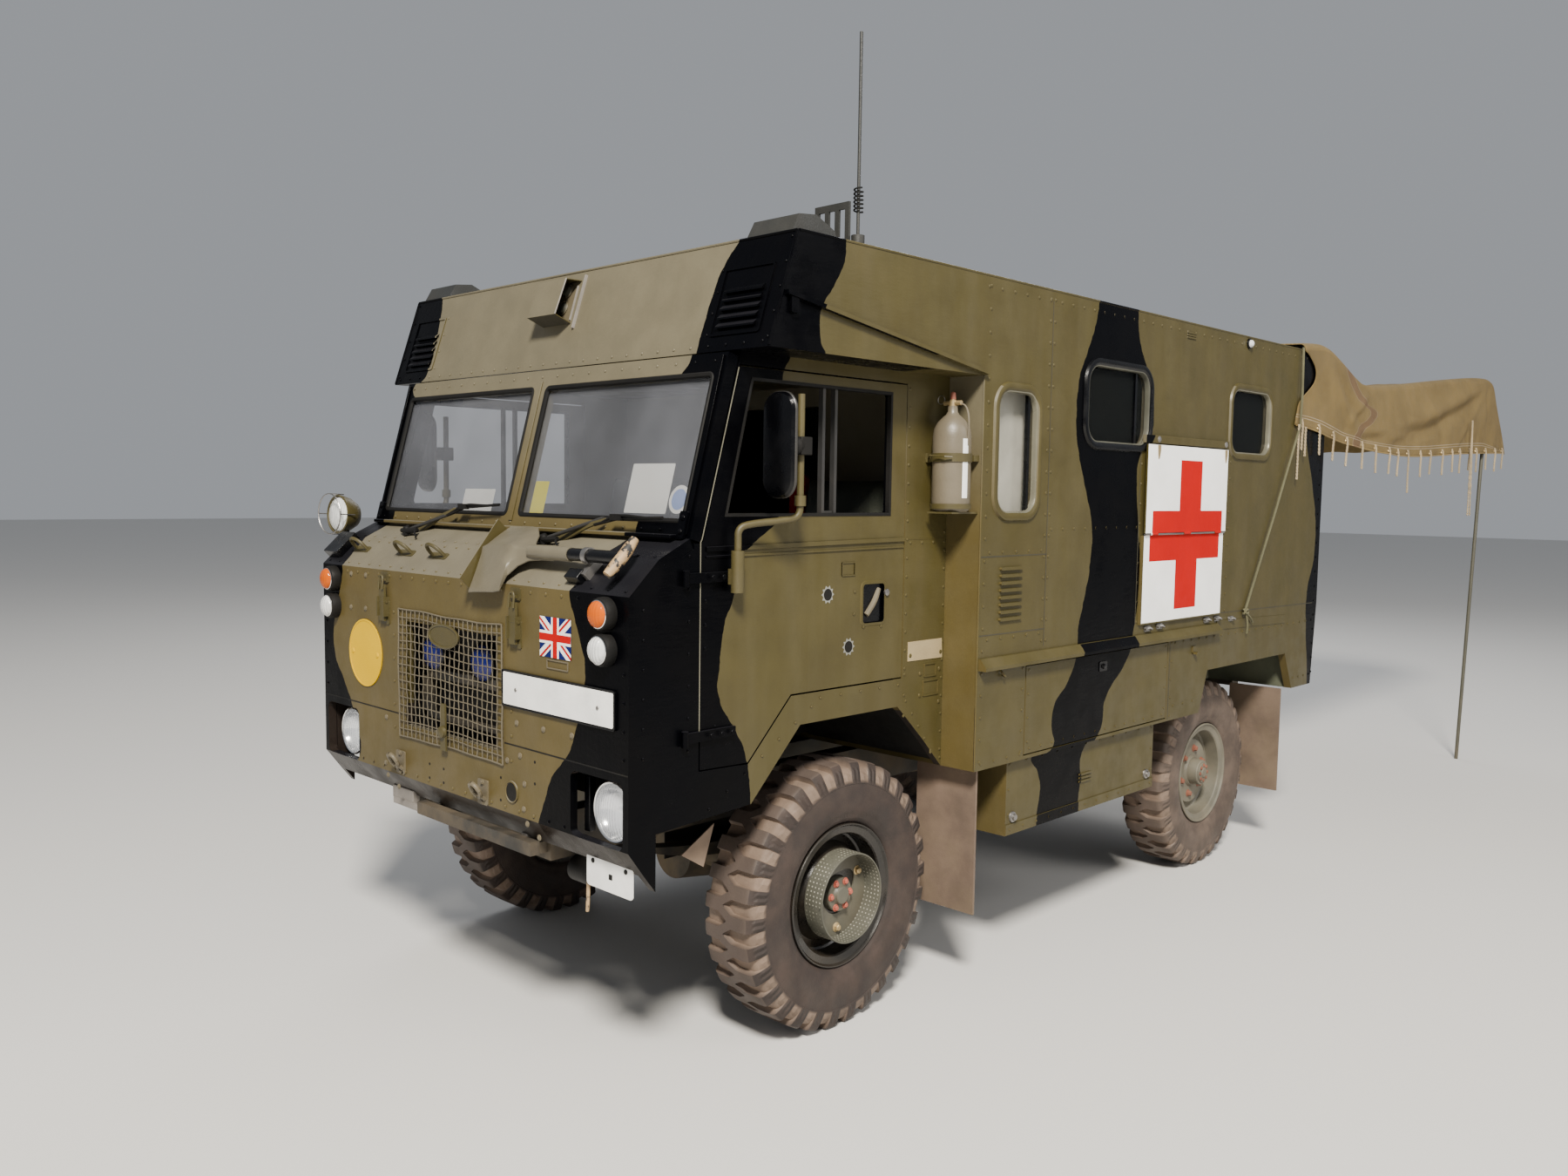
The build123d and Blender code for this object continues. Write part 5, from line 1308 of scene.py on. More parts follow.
@dataclass
class Nose:
    """What is fixed to the cab front: badge, lamps, latches, flag, number plate, hooks and rivets."""

    face_y: float = -0.909
    badge_at: tuple = (-0.026, 1.271)
    mesh_at: tuple = (-0.329, 0.291, 0.913, 1.333)
    mesh_cells: tuple = (23, 16)
    disc_at: tuple = (-0.570, 1.162)
    disc_radius: float = 0.1175
    flag_at: tuple = (0.560, 1.320)
    flag_size: tuple = (0.150, 0.115)
    plate_x: tuple = (0.294, 0.839)
    plate_z: tuple = (1.094, 1.204)
    lamp_x: float = 0.796
    head_x: float = 0.766
    head_y: float = -0.808
    head_z: float = 0.852
    latches: tuple = ((-0.424, 1.365), (0.364, 1.362))
    hooks: tuple = ((-0.328, 0.827), (0.182, 0.819))
    bolts: tuple = ((-0.672, 1.432), (-0.564, 1.433), (-0.676, 1.314), (-0.568, 1.317), (-0.427, 0.956),
                    (0.364, 1.049), (0.500, 1.050), (0.638, 1.052), (0.313, 0.929), (0.381, 0.954),
                    (0.404, 0.873), (0.400, 0.797), (0.418, 0.756), (0.479, 0.728), (-0.420, 0.756),
                    (-0.315, 0.783), (-0.435, 0.797), (-0.346, 0.729))
    drilled: tuple = ((0.456, 0.947), (0.456, 0.883), (0.449, 0.782), (-0.143, 0.841), (-0.144, 0.795),
                      (-0.055, 0.839), (-0.056, 0.794), (0.277, 0.870), (0.276, 0.801))
    rivet_lines: tuple = (((-0.85, 1.440), (0.74, 1.440)), ((-0.868, 1.02), (-0.868, 1.25)),
                          ((0.868, 1.02), (0.868, 1.25)), ((-0.60, 0.785), (0.60, 0.785)),
                          ((-0.37, 0.93), (-0.37, 1.32)), ((0.335, 0.93), (0.335, 1.08)))

    def flag(self, shop: Workshop) -> None:
        """The national flag: blue field, white and red diagonals, white and red cross, each a thin layer.

        Args:
            shop: where the pieces are made.
        """
        w, h = self.flag_size
        reach = math.hypot(w, h)
        face = Face((self.flag_at[0], self.face_y - 0.001, self.flag_at[1]), LEFT, UP)

        def rectangle(width: float, height: float) -> list:
            """A rectangle about the middle."""
            return [(a * width / 2, b * height / 2) for a, b in ((-1, -1), (1, -1), (1, 1), (-1, 1))]

        def diagonal(half: float, sign: int) -> list:
            """A band along a diagonal, cut off at the flag's edges."""
            a, b = half * reach / h, half * reach / w
            band = [(-w / 2, -h / 2), (-w / 2 + a, -h / 2), (w / 2, h / 2 - b), (w / 2, h / 2),
                    (w / 2 - a, h / 2), (-w / 2, -h / 2 + b)]
            return [(x * sign, z) for x, z in band]

        thin = 0.0072 * reach / w
        arms = [
            [(0, 0), (-w / 2, h / 2), (-w / 2, h / 2 - thin), (0, -thin)],
            [(0, 0), (0, thin), (w / 2 - thin * w / h, h / 2), (w / 2, h / 2)],
            [(0, 0), (0, -thin), (-w / 2 + thin * w / h, -h / 2), (-w / 2, -h / 2)],
            [(0, 0), (w / 2, -h / 2), (w / 2, -h / 2 + thin), (0, thin)],
        ]
        layers = [
            ("flag_field", Look.BLUE, [rectangle(w, h)], 0.0008),
            ("flag_white_diagonals", Look.WHITE, [diagonal(0.0130, 1), diagonal(0.0130, -1)], 0.0012),
            ("flag_red_diagonals", Look.RED, arms, 0.0015),
            ("flag_white_cross", Look.WHITE, [rectangle(0.036, h), rectangle(w, 0.036)], 0.0018),
            ("flag_red_cross", Look.RED, [rectangle(0.021, h), rectangle(w, 0.021)], 0.0021),
        ]
        for name, look, outlines, top in layers:
            shapes = [slab(o, face, top - 0.0008 - 0.00005 * k, top + 0.00006 * k)
                      for k, o in enumerate(outlines)]
            shop.make(name, shapes, look)

    def number_plate(self, shop: Workshop) -> None:
        """A blank white plate in a thin black surround, with two screws.

        Args:
            shop: where the pieces are made.
        """
        x0, x1 = self.plate_x
        z0, z1 = self.plate_z
        face = front_face(self.face_y)
        middle = ((x0 + x1) / 2, (z0 + z1) / 2)
        outer = oblong(x1 - x0, z1 - z0, 0.008, middle)
        inner = oblong(x1 - x0 - 0.016, z1 - z0 - 0.014, 0.005, middle)
        shop.make("number_plate_back", slab(outer, face, 0.001, 0.006), Look.GLOSS_BLACK)
        shop.make("number_plate_field", slab(inner, face, 0.006, 0.0072), Look.WHITE)
        shop.make("number_plate_edge", moulding(outer, face, raised(0.003, 0.0078, 0.006)), Look.GLOSS_BLACK)
        spots = [(x0 + 0.075, middle[1]), (x1 - 0.075, middle[1])]
        screws = hexagon_bolts(front_face(self.face_y - 0.007), spots, 0.004, 0.002)
        shop.make("number_plate_screws", screws, Look.STEEL)

    def latch(self, x: float, z: float) -> list[Solid]:
        """A toggle latch.

        Args:
            x, z: its middle on the nose.
        Returns:
            Its two plates, lever, cheeks, loop, hinge pin and keep.
        """
        face, y = front_face(self.face_y), self.face_y
        lever = [(x - 0.017, z - 0.078), (x + 0.017, z - 0.078), (x + 0.020, z - 0.012),
                 (x + 0.015, z + 0.046), (x - 0.015, z + 0.046), (x - 0.020, z - 0.012)]
        loop = [(x - 0.013, y - 0.020, z + 0.030), (x - 0.013, y - 0.016, z + 0.076),
                (x + 0.013, y - 0.016, z + 0.076), (x + 0.013, y - 0.020, z + 0.030)]
        return [
            slab(oblong(0.056, 0.080, 0.004, (x, z - 0.050)), face, 0.0, 0.004),
            slab(oblong(0.050, 0.036, 0.004, (x, z + 0.070)), face, 0.0, 0.005),
            slab(lever, face, 0.008, 0.016),
            box(x - 0.025, x - 0.020, y - 0.022, y, z - 0.062, z + 0.004),
            box(x + 0.020, x + 0.025, y - 0.022, y, z - 0.062, z + 0.004),
            tube(eased(loop), 0.0036, 8),
            tube([(x - 0.028, y - 0.012, z - 0.012), (x + 0.028, y - 0.012, z - 0.012)], 0.005, 8),
            box(x - 0.012, x + 0.012, y - 0.017, y, z + 0.058, z + 0.066),
        ]

    def hook(self, x: float, z: float) -> list[Solid]:
        """A towing eye plate: a backing plate and a ring bent out of it.

        Args:
            x, z: its middle on the nose.
        Returns:
            The plate, the ring with its two legs, and the bolts.
        """
        y, turn = self.face_y, np.linspace(0, 2 * np.pi, 27)
        ring = np.stack([x + 0.022 * np.cos(turn), y - 0.030 - 0.012 * np.sin(turn),
                         z + 0.022 * np.sin(turn)], -1)
        legs = [tube([(at, y - 0.028, z - 0.010), (at, y - 0.004, z - 0.030)], 0.007, 8)
                for at in (x - 0.014, x + 0.014)]
        bolts = hexagon_bolts(front_face(y - 0.005), [(x, z + 0.020), (x, z - 0.040)], 0.0065, 0.006)
        return [slab(oblong(0.056, 0.078, 0.006, (x, z - 0.010)), front_face(y), 0.0, 0.005),
                tube(ring, 0.0075, 8), *legs, bolts]

    def side_lamps(self, shop: Workshop) -> None:
        """Amber and clear lamps in black rubber bodies, on both corners.

        Args:
            shop: where the pieces are made.
        """
        case = capped((0.0, 0.0455), (0.006, 0.0460), (0.022, 0.0455), (0.030, 0.0425), (0.032, 0.039),
                      (0.028, 0.037))
        rim = [(0.029, 0.0385), (0.033, 0.0385), (0.034, 0.0365), (0.031, 0.035)]
        turn = np.linspace(0, np.pi / 2, 7)[1:]
        dome = [(0.0285, 0.0), (0.0285, 0.0362), (0.034, 0.0362)]
        dome += [(0.034 + 0.0175 * math.sin(t), 0.0362 * math.cos(t)) for t in turn]
        for look, label, z in ((Look.AMBER, "indicator", 1.408), (Look.CLEAR_LENS, "side_lamp", 1.311)):
            spots = [(hand * self.lamp_x, self.face_y, z) for hand in (-1, 1)]
            shop.make(f"{label}_bodies", [turned(case, spot, AHEAD, 40) for spot in spots], Look.RUBBER)
            shop.make(f"{label}_rims", [turned(rim, spot, AHEAD, 40, ring=True) for spot in spots],
                      Look.CHROME)
            lenses = shop.make(f"{label}_lenses", [turned(dome, spot, AHEAD, 40) for spot in spots], look)

    def head_lamps(self, shop: Workshop) -> None:
        """Round headlamps: silvered bowl, bulb shield, fluted glass and a chromed rim, in the recess.

        Args:
            shop: where the pieces are made.
        """
        rim = [(0.030, 0.084), (0.050, 0.088), (0.056, 0.0870), (0.059, 0.0835), (0.0575, 0.0800),
               (0.051, 0.0805), (0.031, 0.0815)]
        bowl = capped((0.0, 0.044), (0.022, 0.070), (0.040, 0.080), (0.050, 0.082), (0.050, 0.079),
                      (0.038, 0.074), (0.022, 0.060), (0.010, 0.040), (0.008, 0.0))[:-1]
        glass = [(0.052, 0.0), (0.050, 0.040), (0.049, 0.079), (0.053, 0.080), (0.062, 0.068), (0.071, 0.048),
                 (0.076, 0.024), (0.078, 0.0)]
        bulb = capped((0.012, 0.010), (0.034, 0.012), (0.038, 0.008))
        spots = [(hand * self.head_x, self.head_y, self.head_z) for hand in (-1, 1)]
        rims = shop.make("headlamp_rims", [turned(rim, spot, AHEAD, 48, ring=True) for spot in spots],
                         Look.CHROME)
        shop.make("headlamp_bowls", [turned(bowl, spot, AHEAD, 48) for spot in spots], Look.SILVER)
        glasses = shop.make("headlamp_glasses", [turned(glass, spot, AHEAD, 48) for spot in spots],
                            Look.HEAD_GLASS)
        shop.make("headlamp_bulbs", [turned(bulb, spot, AHEAD, 16) for spot in spots], Look.CHROME)
        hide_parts("front_lamps")

    def behind_mesh(self, shop: Workshop) -> None:
        """What shows through the grille: two blue lamps, and the rails across and beside them.

        Args:
            shop: where the pieces are made.
        """
        spots = [(-0.227, -0.815, 1.193), (0.072, -0.815, 1.189)]
        lamp = [(0.0, 0.0), (0.0, 0.058), (0.030, 0.058), (0.044, 0.046), (0.052, 0.024), (0.054, 0.0)]
        rim = capped((-0.012, 0.050), (0.0, 0.064), (0.028, 0.066), (0.032, 0.060), (0.004, 0.058),
                     (0.001, 0.0))[:-1]
        shop.make("blue_lamps", [turned(lamp, spot, AHEAD, 32) for spot in spots], Look.BLUE_LENS)
        shop.make("blue_lamp_rims", [turned(rim, spot, AHEAD, 32) for spot in spots], Look.GLOSS_BLACK)
        rails = [box(-0.300, 0.262, -0.842, -0.826, 1.108, 1.140),
                 box(-0.30, -0.27, -0.842, -0.815, 0.96, 1.29), box(0.232, 0.262, -0.842, -0.815, 0.96, 1.29),
                 box(-0.300, 0.262, -0.842, -0.822, 0.972, 0.992)]
        shop.make("lamp_rails", rails, Look.CHASSIS, bevel=0.002)

    def bent(self, x: Array, z: Array, lift: Array) -> Array:
        """Points of a wire knocked out of the square grid.

        Args:
            x, z: where the grid has them.
            lift: how far they stand out of it.
        Returns:
            The points, shifted by the sum of two waves each way and by a flare of the low left corner.
        """
        flare = 0.006 * np.clip((x - 0.12) / 0.17, 0, 1) * np.clip((1.05 - z) / 0.14, 0, 1)
        shift_x = 0.0030 * np.sin(11.0 * z + 5.0 * x) + 0.0014 * np.sin(31.0 * z + 17.0 * x) + flare
        shift_z = 0.0034 * np.sin(9.0 * x + 7.0 * z + 1.0) + 0.0014 * np.sin(27.0 * x - 19.0 * z)
        return np.stack([x + shift_x, self.face_y - 0.005 - lift, z + shift_z], -1)

    def wire_mesh(self, shop: Workshop) -> None:
        """The grille: a woven mesh, knocked about, on a rim of thicker wire.

        Crossing wires pass over and under: lift = weave * cos(pi * (distance / pitch + wire's number)).

        Args:
            shop: where the pieces are made.
        """
        x0, x1, z0, z1 = self.mesh_at
        columns, rows = self.mesh_cells
        pitch_x, pitch_z, weave = (x1 - x0) / columns, (z1 - z0) / rows, 0.0008
        wires = []
        z = np.linspace(z0, z1, rows * 4 + 1)
        for i in range(1, columns):
            lift = weave * np.cos(np.pi * ((z - z0) / pitch_z + i))
            wires.append(tube(self.bent(x0 + i * pitch_x + 0 * z, z, lift), 0.0018, 6))
        x = np.linspace(x0, x1, columns * 4 + 1)
        for j in range(1, rows):
            lift = -weave * np.cos(np.pi * ((x - x0) / pitch_x + j))
            wires.append(tube(self.bent(x, z0 + j * pitch_z + 0 * x, lift), 0.0018, 6))
        side = np.linspace(0, 1, 40)
        across, up = x0 + (x1 - x0) * side, z0 + (z1 - z0) * side
        for xs, zs in ((across, z0 + 0 * side), (across, z1 + 0 * side), (x0 + 0 * side, up),
                       (x1 + 0 * side, up)):
            wires.append(tube(self.bent(xs, zs, 0 * side), 0.0026, 8))
        mesh = shop.make("grille_mesh", wires, Look.WIRE)
        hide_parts("grille")

    def badge(self, shop: Workshop) -> None:
        """The blank oval badge on the mesh, and the strap with its boss under it.

        Args:
            shop: where the pieces are made.
        """
        face = front_face(self.face_y - 0.011)
        turn = np.arange(40) * 2 * np.pi / 40
        oval = np.stack([self.badge_at[0] + 0.090 * np.cos(turn), self.badge_at[1] + 0.0375 * np.sin(turn)],
                        -1)
        bead = [(0.0, 0.0), (0.002, 0.006), (-0.002, 0.0075), (-0.006, 0.006), (-0.007, 0.0)]
        shop.make("blank_badge", [slab(oval, face, 0.0, 0.004), moulding(oval, face, bead)], Look.OLIVE)
        boss = capped((0.0, 0.020), (0.010, 0.018), (0.013, 0.010))
        band = [(-0.046, 0.905), (-0.014, 0.905), (-0.018, 1.055), (-0.042, 1.055)]
        spot = (-0.03, self.face_y - 0.016, 0.965)
        shop.make("mesh_strap", [slab(band, face, 0.0, 0.006), turned(boss, spot, AHEAD, 24)], Look.OLIVE)

    def disc(self, shop: Workshop) -> None:
        """The yellow disc with its rim and two studs."""
        face, outline = front_face(self.face_y), circle(self.disc_radius, self.disc_at, 64)
        shop.make("yellow_disc", slab(outline, face, 0.0005, 0.0030), Look.YELLOW)
        spots = [(self.disc_at[0] + dx, self.disc_at[1]) for dx in (-0.088, 0.088)]
        studs = hexagon_bolts(front_face(self.face_y - 0.003), spots, 0.006, 0.003)
        bead = [(0.0, 0.0), (0.0, 0.0042), (-0.003, 0.0050), (-0.006, 0.0042), (-0.006, 0.0)]
        shop.make("yellow_disc_rim", [moulding(outline, face, bead), studs], Look.YELLOW)

    def fastenings(self, shop: Workshop) -> None:
        """Latches, hooks, bolts, drilled holes, rivets, the seam and the valance's round hole.

        Args:
            shop: where the pieces are made.
        """
        face = front_face(self.face_y)
        shop.make("nose_latches", [part for spot in self.latches for part in self.latch(*spot)], Look.OLIVE)
        shop.make("nose_hooks", [part for spot in self.hooks for part in self.hook(*spot)], Look.GREY_OLIVE)
        outline = moulding(oblong(0.103, 0.027, 0.003, (0.5705, 1.2435)), face, raised(0.0035, 0.003))
        shop.make("nose_outline_plate", outline, Look.GREY_OLIVE)
        shop.make("nose_bolts", hexagon_bolts(face, self.bolts, 0.0065, 0.005), Look.GREY_OLIVE)
        # Black dots: painted shade inside the drilled holes
        dot = turned(capped((0.0, 0.0045), (0.0006, 0.0045)), (0, 0, 0), AHEAD, 12)
        shop.make("drilled_hole_shade", dot.copies(face.at(np.array(self.drilled))), Look.RUBBER)
        shop.make("nose_rivets", rivets(face, self.rivet_lines, 0.075), Look.CAMO)
        seam = [strip([(x0, 0.980), (x1, 0.980)], 0.004, face, 0.0002, 0.0008)
                for x0, x1 in ((-0.889, -0.336), (0.298, 0.889))]
        shop.make("nose_seam", seam, Look.RUBBER)
        spot = (0.338, self.face_y, 0.837)
        rim = [(0.0, 0.028), (0.0, 0.034), (0.004, 0.033), (0.005, 0.030), (0.003, 0.028)]
        # A black disc in the rim: painted shade inside the valance's round hole
        shop.make("valance_hole", turned(capped((0.0, 0.028), (0.0030, 0.028)), spot, AHEAD, 32), Look.RUBBER)
        shop.make("valance_hole_rim", turned(rim, spot, AHEAD, 32, ring=True), Look.CAMO)

    def low_fittings(self, shop: Workshop) -> None:
        """The small white plate on its bracket and the pale bar under the valance.

        Args:
            shop: where the pieces are made.
        """
        face = front_face(-0.858)
        shop.make("low_white_plate", slab(oblong(0.208, 0.092, 0.012, (0.746, 0.666)), face, 0.0, 0.003),
                  Look.WHITE)
        bolts = [hexagon_bolts(front_face(-0.861), [(0.672, 0.695), (0.820, 0.695)], 0.005, 0.003),
                 slab(oblong(0.016, 0.016, 0.002, (0.752, 0.664)), face, 0.003, 0.0036)]
        bolts += [box(x, x + 0.020, -0.858, -0.846, 0.690, 0.745) for x in (0.664, 0.810)]
        shop.make("low_plate_bolts", bolts, Look.RUBBER)
        bar = [box(-0.460, 0.364, -0.872, -0.858, 0.646, 0.668),
               box(-0.470, -0.330, -0.868, -0.840, 0.664, 0.708)]
        bar += [box(x, x + 0.030, -0.860, -0.800, 0.650, 0.700) for x in (-0.450, 0.310)]
        shop.make("low_bar", bar, Look.PALE_BAR, bevel=0.003)

    def build(self, shop: Workshop) -> None:
        """Makes the whole cab front."""
        for step in (self.flag, self.number_plate, self.side_lamps, self.head_lamps,
                     self.behind_mesh, self.badge, self.disc, self.fastenings, self.wire_mesh,
                     self.low_fittings):
            step(shop)


@dataclass
class Cowl:
    """The slope over the nose: strap loops, wipers, the ledge under the screen and rows of rivets."""

    slope: Face = Face((0.0, -0.858, 1.5065), LEFT, (0.0, 0.101, 0.097))
    edge: Face = Face((0.0, -0.808, 1.555), LEFT, (0.0, 0.109, 0.053))
    screen: Face = Face((0.0, -0.7385, 1.5976), LEFT, (0.0, 0.139, 0.520))
    loops_x: tuple = (-0.703, -0.389, -0.176)
    pivots: tuple = (-0.513, 0.317)
    arms: tuple = (
        ((-0.585, -0.036), (-0.545, -0.052), (-0.372, 0.036), (-0.290, 0.070), (-0.292, 0.076),
         (-0.385, 0.048)),
        ((0.250, -0.034), (0.290, -0.050), (0.470, 0.028), (0.552, 0.055), (0.550, 0.061), (0.458, 0.042)))
    blades: tuple = (((-0.335, 0.048), (-0.235, 0.078), (-0.030, 0.091)),
                     ((0.498, 0.040), (0.605, 0.062), (0.800, 0.068)))
    edge_rows: tuple = (((-0.86, 0.012), (-0.42, 0.012)), ((-0.30, 0.012), (0.25, 0.012)),
                        ((0.42, 0.012), (0.86, 0.012)))
    slope_rows: tuple = (((-0.86, -0.052), (0.86, -0.052)), ((-0.86, 0.055), (0.55, 0.055)))

    def strap(self, x: float) -> list[Solid]:
        """A footman's loop with its base."""
        arch = np.linspace(0, np.pi, 15)
        flat = np.stack([x - 0.038 * np.cos(arch), 0.012 * np.ones(15)], -1)
        path = self.slope.at(flat, 0.003 + 0.052 * np.sin(arch) ** 0.8)
        return [tube(path, 0.0062, 8), slab(oblong(0.105, 0.026, 0.008, (x, 0.012)), self.slope, 0.0, 0.0035)]

    def wiper(self, pivot: float, arm: tuple, blade: tuple) -> tuple[Solid, list[Solid]]:
        """A flat arm over the foot of the pane, and the blade under its bridge with the pivot and the jet.

        Args:
            pivot: X of the spindle.
            arm: the arm's outline, X and height up the screen.
            blade: the blade's start, middle and end in the same plane.
        Returns:
            The painted solid and the black ones.
        """
        low, middle, high = self.screen.at(np.array(blade), 0.0)
        bridge = [low + 0.25 * (middle - low), middle + (0.0, -0.008, 0.012), high + 0.35 * (middle - high)]
        x, y, z = middle
        boss = [(0.0, 0.0), (0.0, 0.018), (0.014, 0.015), (0.026, 0.010), (0.028, 0.0)]
        end = (pivot + 0.062, -0.776, 1.590)
        link = [(pivot - 0.048, -0.772, 1.586), (pivot, -0.790, 1.586), end]
        jet = [end, (pivot + 0.085, -0.800, 1.586), (pivot + 0.108, -0.806, 1.570)]
        return slab(arm, self.screen, -0.003, 0.004), [
            tube(along_line(low, middle, 0.03), 0.0052, 6),
            tube(along_line(middle, high, 0.03), 0.0046, 6),
            tube(eased(bridge, 3), 0.0038, 6),
            box(x - 0.030, x + 0.020, y - 0.010, y + 0.004, z - 0.006, z + 0.012),
            turned(boss, (pivot, -0.775, 1.578), (0, -0.4, 1), 20),
            tube(eased(link, 2), 0.0085, 8),
            tube(eased(jet, 2), 0.0036, 8),
        ]

    def build(self, shop: Workshop) -> None:
        """Makes the slope's fittings.

        Args:
            shop: where the pieces are made.
        """
        shop.make("cowl_loops", [part for x in self.loops_x for part in self.strap(x)], Look.OLIVE)
        arms, blades = zip(*(self.wiper(*parts) for parts in zip(self.pivots, self.arms, self.blades)))
        shop.make("wiper_arms", arms, Look.OLIVE, bevel=0.0012)
        ledge = [box(-0.846, 0.846, -0.734, -0.704, 1.608, 1.619),
                 box(-0.846, 0.846, -0.709, -0.704, 1.596, 1.612)]
        shop.make("scuttle_ledge", ledge, Look.CAMO, bevel=0.002)
        shop.make("wiper_blades", [p for group in blades for p in group], Look.RUBBER)
        heads = [rivets(self.edge, self.edge_rows, 0.07), rivets(self.slope, self.slope_rows, 0.075)]
        shop.make("cowl_rivets", heads, Look.CAMO)


@dataclass
class Canopy:
    """The canvas awning: one sheet over two poles, with side flaps, sewn hems, eyelets and lace ropes."""

    half: float = 1.040
    corner: float = 0.045
    drop: float = 0.045 * 0.8
    top: tuple = ((2.910, 2.474), (3.246, 2.510), (3.436, 2.518), (3.648, 2.456), (3.831, 2.395),
                  (4.002, 2.354), (4.413, 2.384), (5.060, 2.458), (5.896, 2.543), (6.249, 2.565),
                  (6.330, 2.562), (6.400, 2.541), (6.490, 2.411), (6.660, 2.231), (6.748, 2.108))
    hem: tuple = ((3.074, 2.098), (3.277, 2.088), (3.553, 2.048), (3.884, 2.019), (4.374, 1.995),
                  (4.914, 2.001), (5.496, 2.036), (6.100, 2.062), (6.735, 2.082))
    flap_start: float = 3.120
    edge: tuple = ((0.00, -0.010), (0.06, 0.062), (0.22, 0.160), (0.38, 0.162), (0.51, 0.092), (0.60, 0.030),
                   (0.69, -0.024), (0.84, -0.040), (1.00, -0.050))
    rows: int = 260
    top_columns: int = 72
    flap_columns: int = 34
    thickness: float = 0.0035
    right_share: float = 0.70
    lace_count: int = 19
    hem_line: dict = field(default_factory=dict, init=False)

    # Creases of the flap and the top: start, end, depth, width; ropes: side, distance out, start and shift
    # behind the axle, upper and lower end
    flap_creases = [
        ((0.55, 0.02), (1.15, 0.32), -0.014, 0.034), ((0.50, 0.10), (1.10, 0.42), 0.012, 0.030),
        ((1.10, 0.02), (0.85, 0.34), 0.012, 0.034), ((1.00, 0.30), (2.00, 0.34), 0.014, 0.050),
        ((0.95, 0.40), (2.10, 0.22), -0.012, 0.040), ((2.00, 0.04), (2.60, 0.36), 0.007, 0.03),
        ((3.36, 0.00), (1.45, 0.30), 0.022, 0.055), ((3.30, 0.10), (1.40, 0.40), -0.020, 0.050),
        ((3.34, 0.04), (2.75, 0.44), 0.010, 0.040), ((3.36, 0.03), (3.50, 0.30), -0.010, 0.03)]
    top_creases = [
        ((0.50, 0.95), (1.15, 0.10), -0.020, 0.050), ((0.50, -0.95), (1.15, -0.10), -0.020, 0.050),
        ((1.10, 0.96), (0.70, 0.30), 0.014, 0.045), ((1.10, -0.96), (0.70, -0.30), 0.014, 0.045),
        ((3.38, 0.95), (2.20, 0.25), -0.018, 0.050), ((3.38, -0.95), (2.20, -0.25), -0.018, 0.050),
        ((3.30, 0.50), (1.40, 0.55), 0.008, 0.040), ((0.02, 0.60), (0.50, 0.40), 0.006, 0.03),
        ((0.05, -0.30), (0.55, -0.60), 0.006, 0.03)]
    ropes = [(1, 0.046, 5.775, 0.0, 2.257, 1.650), (1, 0.046, 5.775, 0.050, 2.257, 1.650),
             (1, 0.012, 3.058, 0.0, 2.100, 1.835), (-1, 0.012, 3.058, 0.0, 2.100, 1.835),
             (1, 0.012, 3.142, 0.0, 2.092, 1.950), (-1, 0.012, 3.142, 0.0, 2.092, 1.950)]

    @staticmethod
    def along(points: Sequence, count: int) -> tuple[Array, Array]:
        """Even points along a softened path, and how far along each one is."""
        path = eased(points, 2)
        run = np.concatenate([[0], np.cumsum(np.linalg.norm(np.diff(path, axis=0), axis=1))])
        at = np.linspace(0, run[-1], count)
        return np.stack([np.interp(at, run, path[:, 0]), np.interp(at, run, path[:, 1])], -1), at

    @staticmethod
    def creased(height: Array, a: Array, b: Array, lines: Sequence,
                share: Union[float, Array] = 1.0) -> Array:
        """Soft folds along straight lines of the sheet.

        Args:
            height: of the sheet before it is creased.
            a, b: where each of its points is, along and across.
            lines: start, end, depth and width of each fold.
            share: how much of the folds shows at each point.
        Returns:
            The height with a bell across each line, depth * exp(-(distance / width)^2), fading to both ends.
        """
        for start, end, depth, width in lines:
            p, q = np.asarray(start), np.asarray(end)
            way = q - p
            at = ((a - p[0]) * way[0] + (b - p[1]) * way[1]) / (way @ way)
            off = np.hypot(a - p[0] - at * way[0], b - p[1] - at * way[1])
            fade = np.clip(1.0 - np.abs(2 * at - 1) ** 4, 0.0, 1.0)
            height = height + depth * np.exp(-((off / width) ** 2)) * fade * share
        return height

    def flap(self, line: Array, run: Array) -> tuple[Array, Array, Array]:
        """One flap from the top's edge down to its hem.

        Args:
            line: Y and Z of the top's edge, one row for each row of the sheet.
            run: how far along the top each row is.
        Returns:
            Grids of X, Y and Z. Y and Z are straight blends from the edge to the hem, shifted by the cut of
            the front edge; X is a sum of three ripples that grows towards the hem, with the creases.
        """
        start = np.interp(self.flap_start, line[:, 0], run)
        share = np.clip((run - start) / (run[-1] - start), 0.0, 1.0)
        low, low_run = self.along(self.hem, 200)
        hem = np.stack([np.interp(share * low_run[-1], low_run, low[:, k]) for k in (0, 1)], -1)
        t, y, z, s = np.linspace(0, 1, self.flap_columns)[None, :], line[:, :1], line[:, 1:], run[:, None]
        cut = np.interp(t, *eased(self.edge, 3).T) * np.exp(-np.clip(run - start, 0, None) / 0.30)[:, None]
        free = np.clip((y - 3.36) / 0.35, 0.0, 1.0) * np.clip((6.75 - y) / 0.4, 0.0, 1.0)
        ripple = (np.sin(s * 5.1 + 0.6) + 0.6 * np.sin(s * 11.7 + 1.9 * t + 0.3)
                  + 0.35 * np.sin(s * 23.0 - 2.4 * t))
        swell = 0.009 * ripple * t ** 1.2 * free + 0.016 * np.sin(np.pi * t / 1.15) * free
        a, b = np.broadcast_arrays(s, t * 0.45)
        swell = self.creased(swell, a, b, self.flap_creases, np.clip(free + 0.15, 0, 1))
        flap_y, flap_z = y + (hem[:, :1] - y) * t + cut, (z - self.drop) + (hem[:, 1:] - z + self.drop) * t
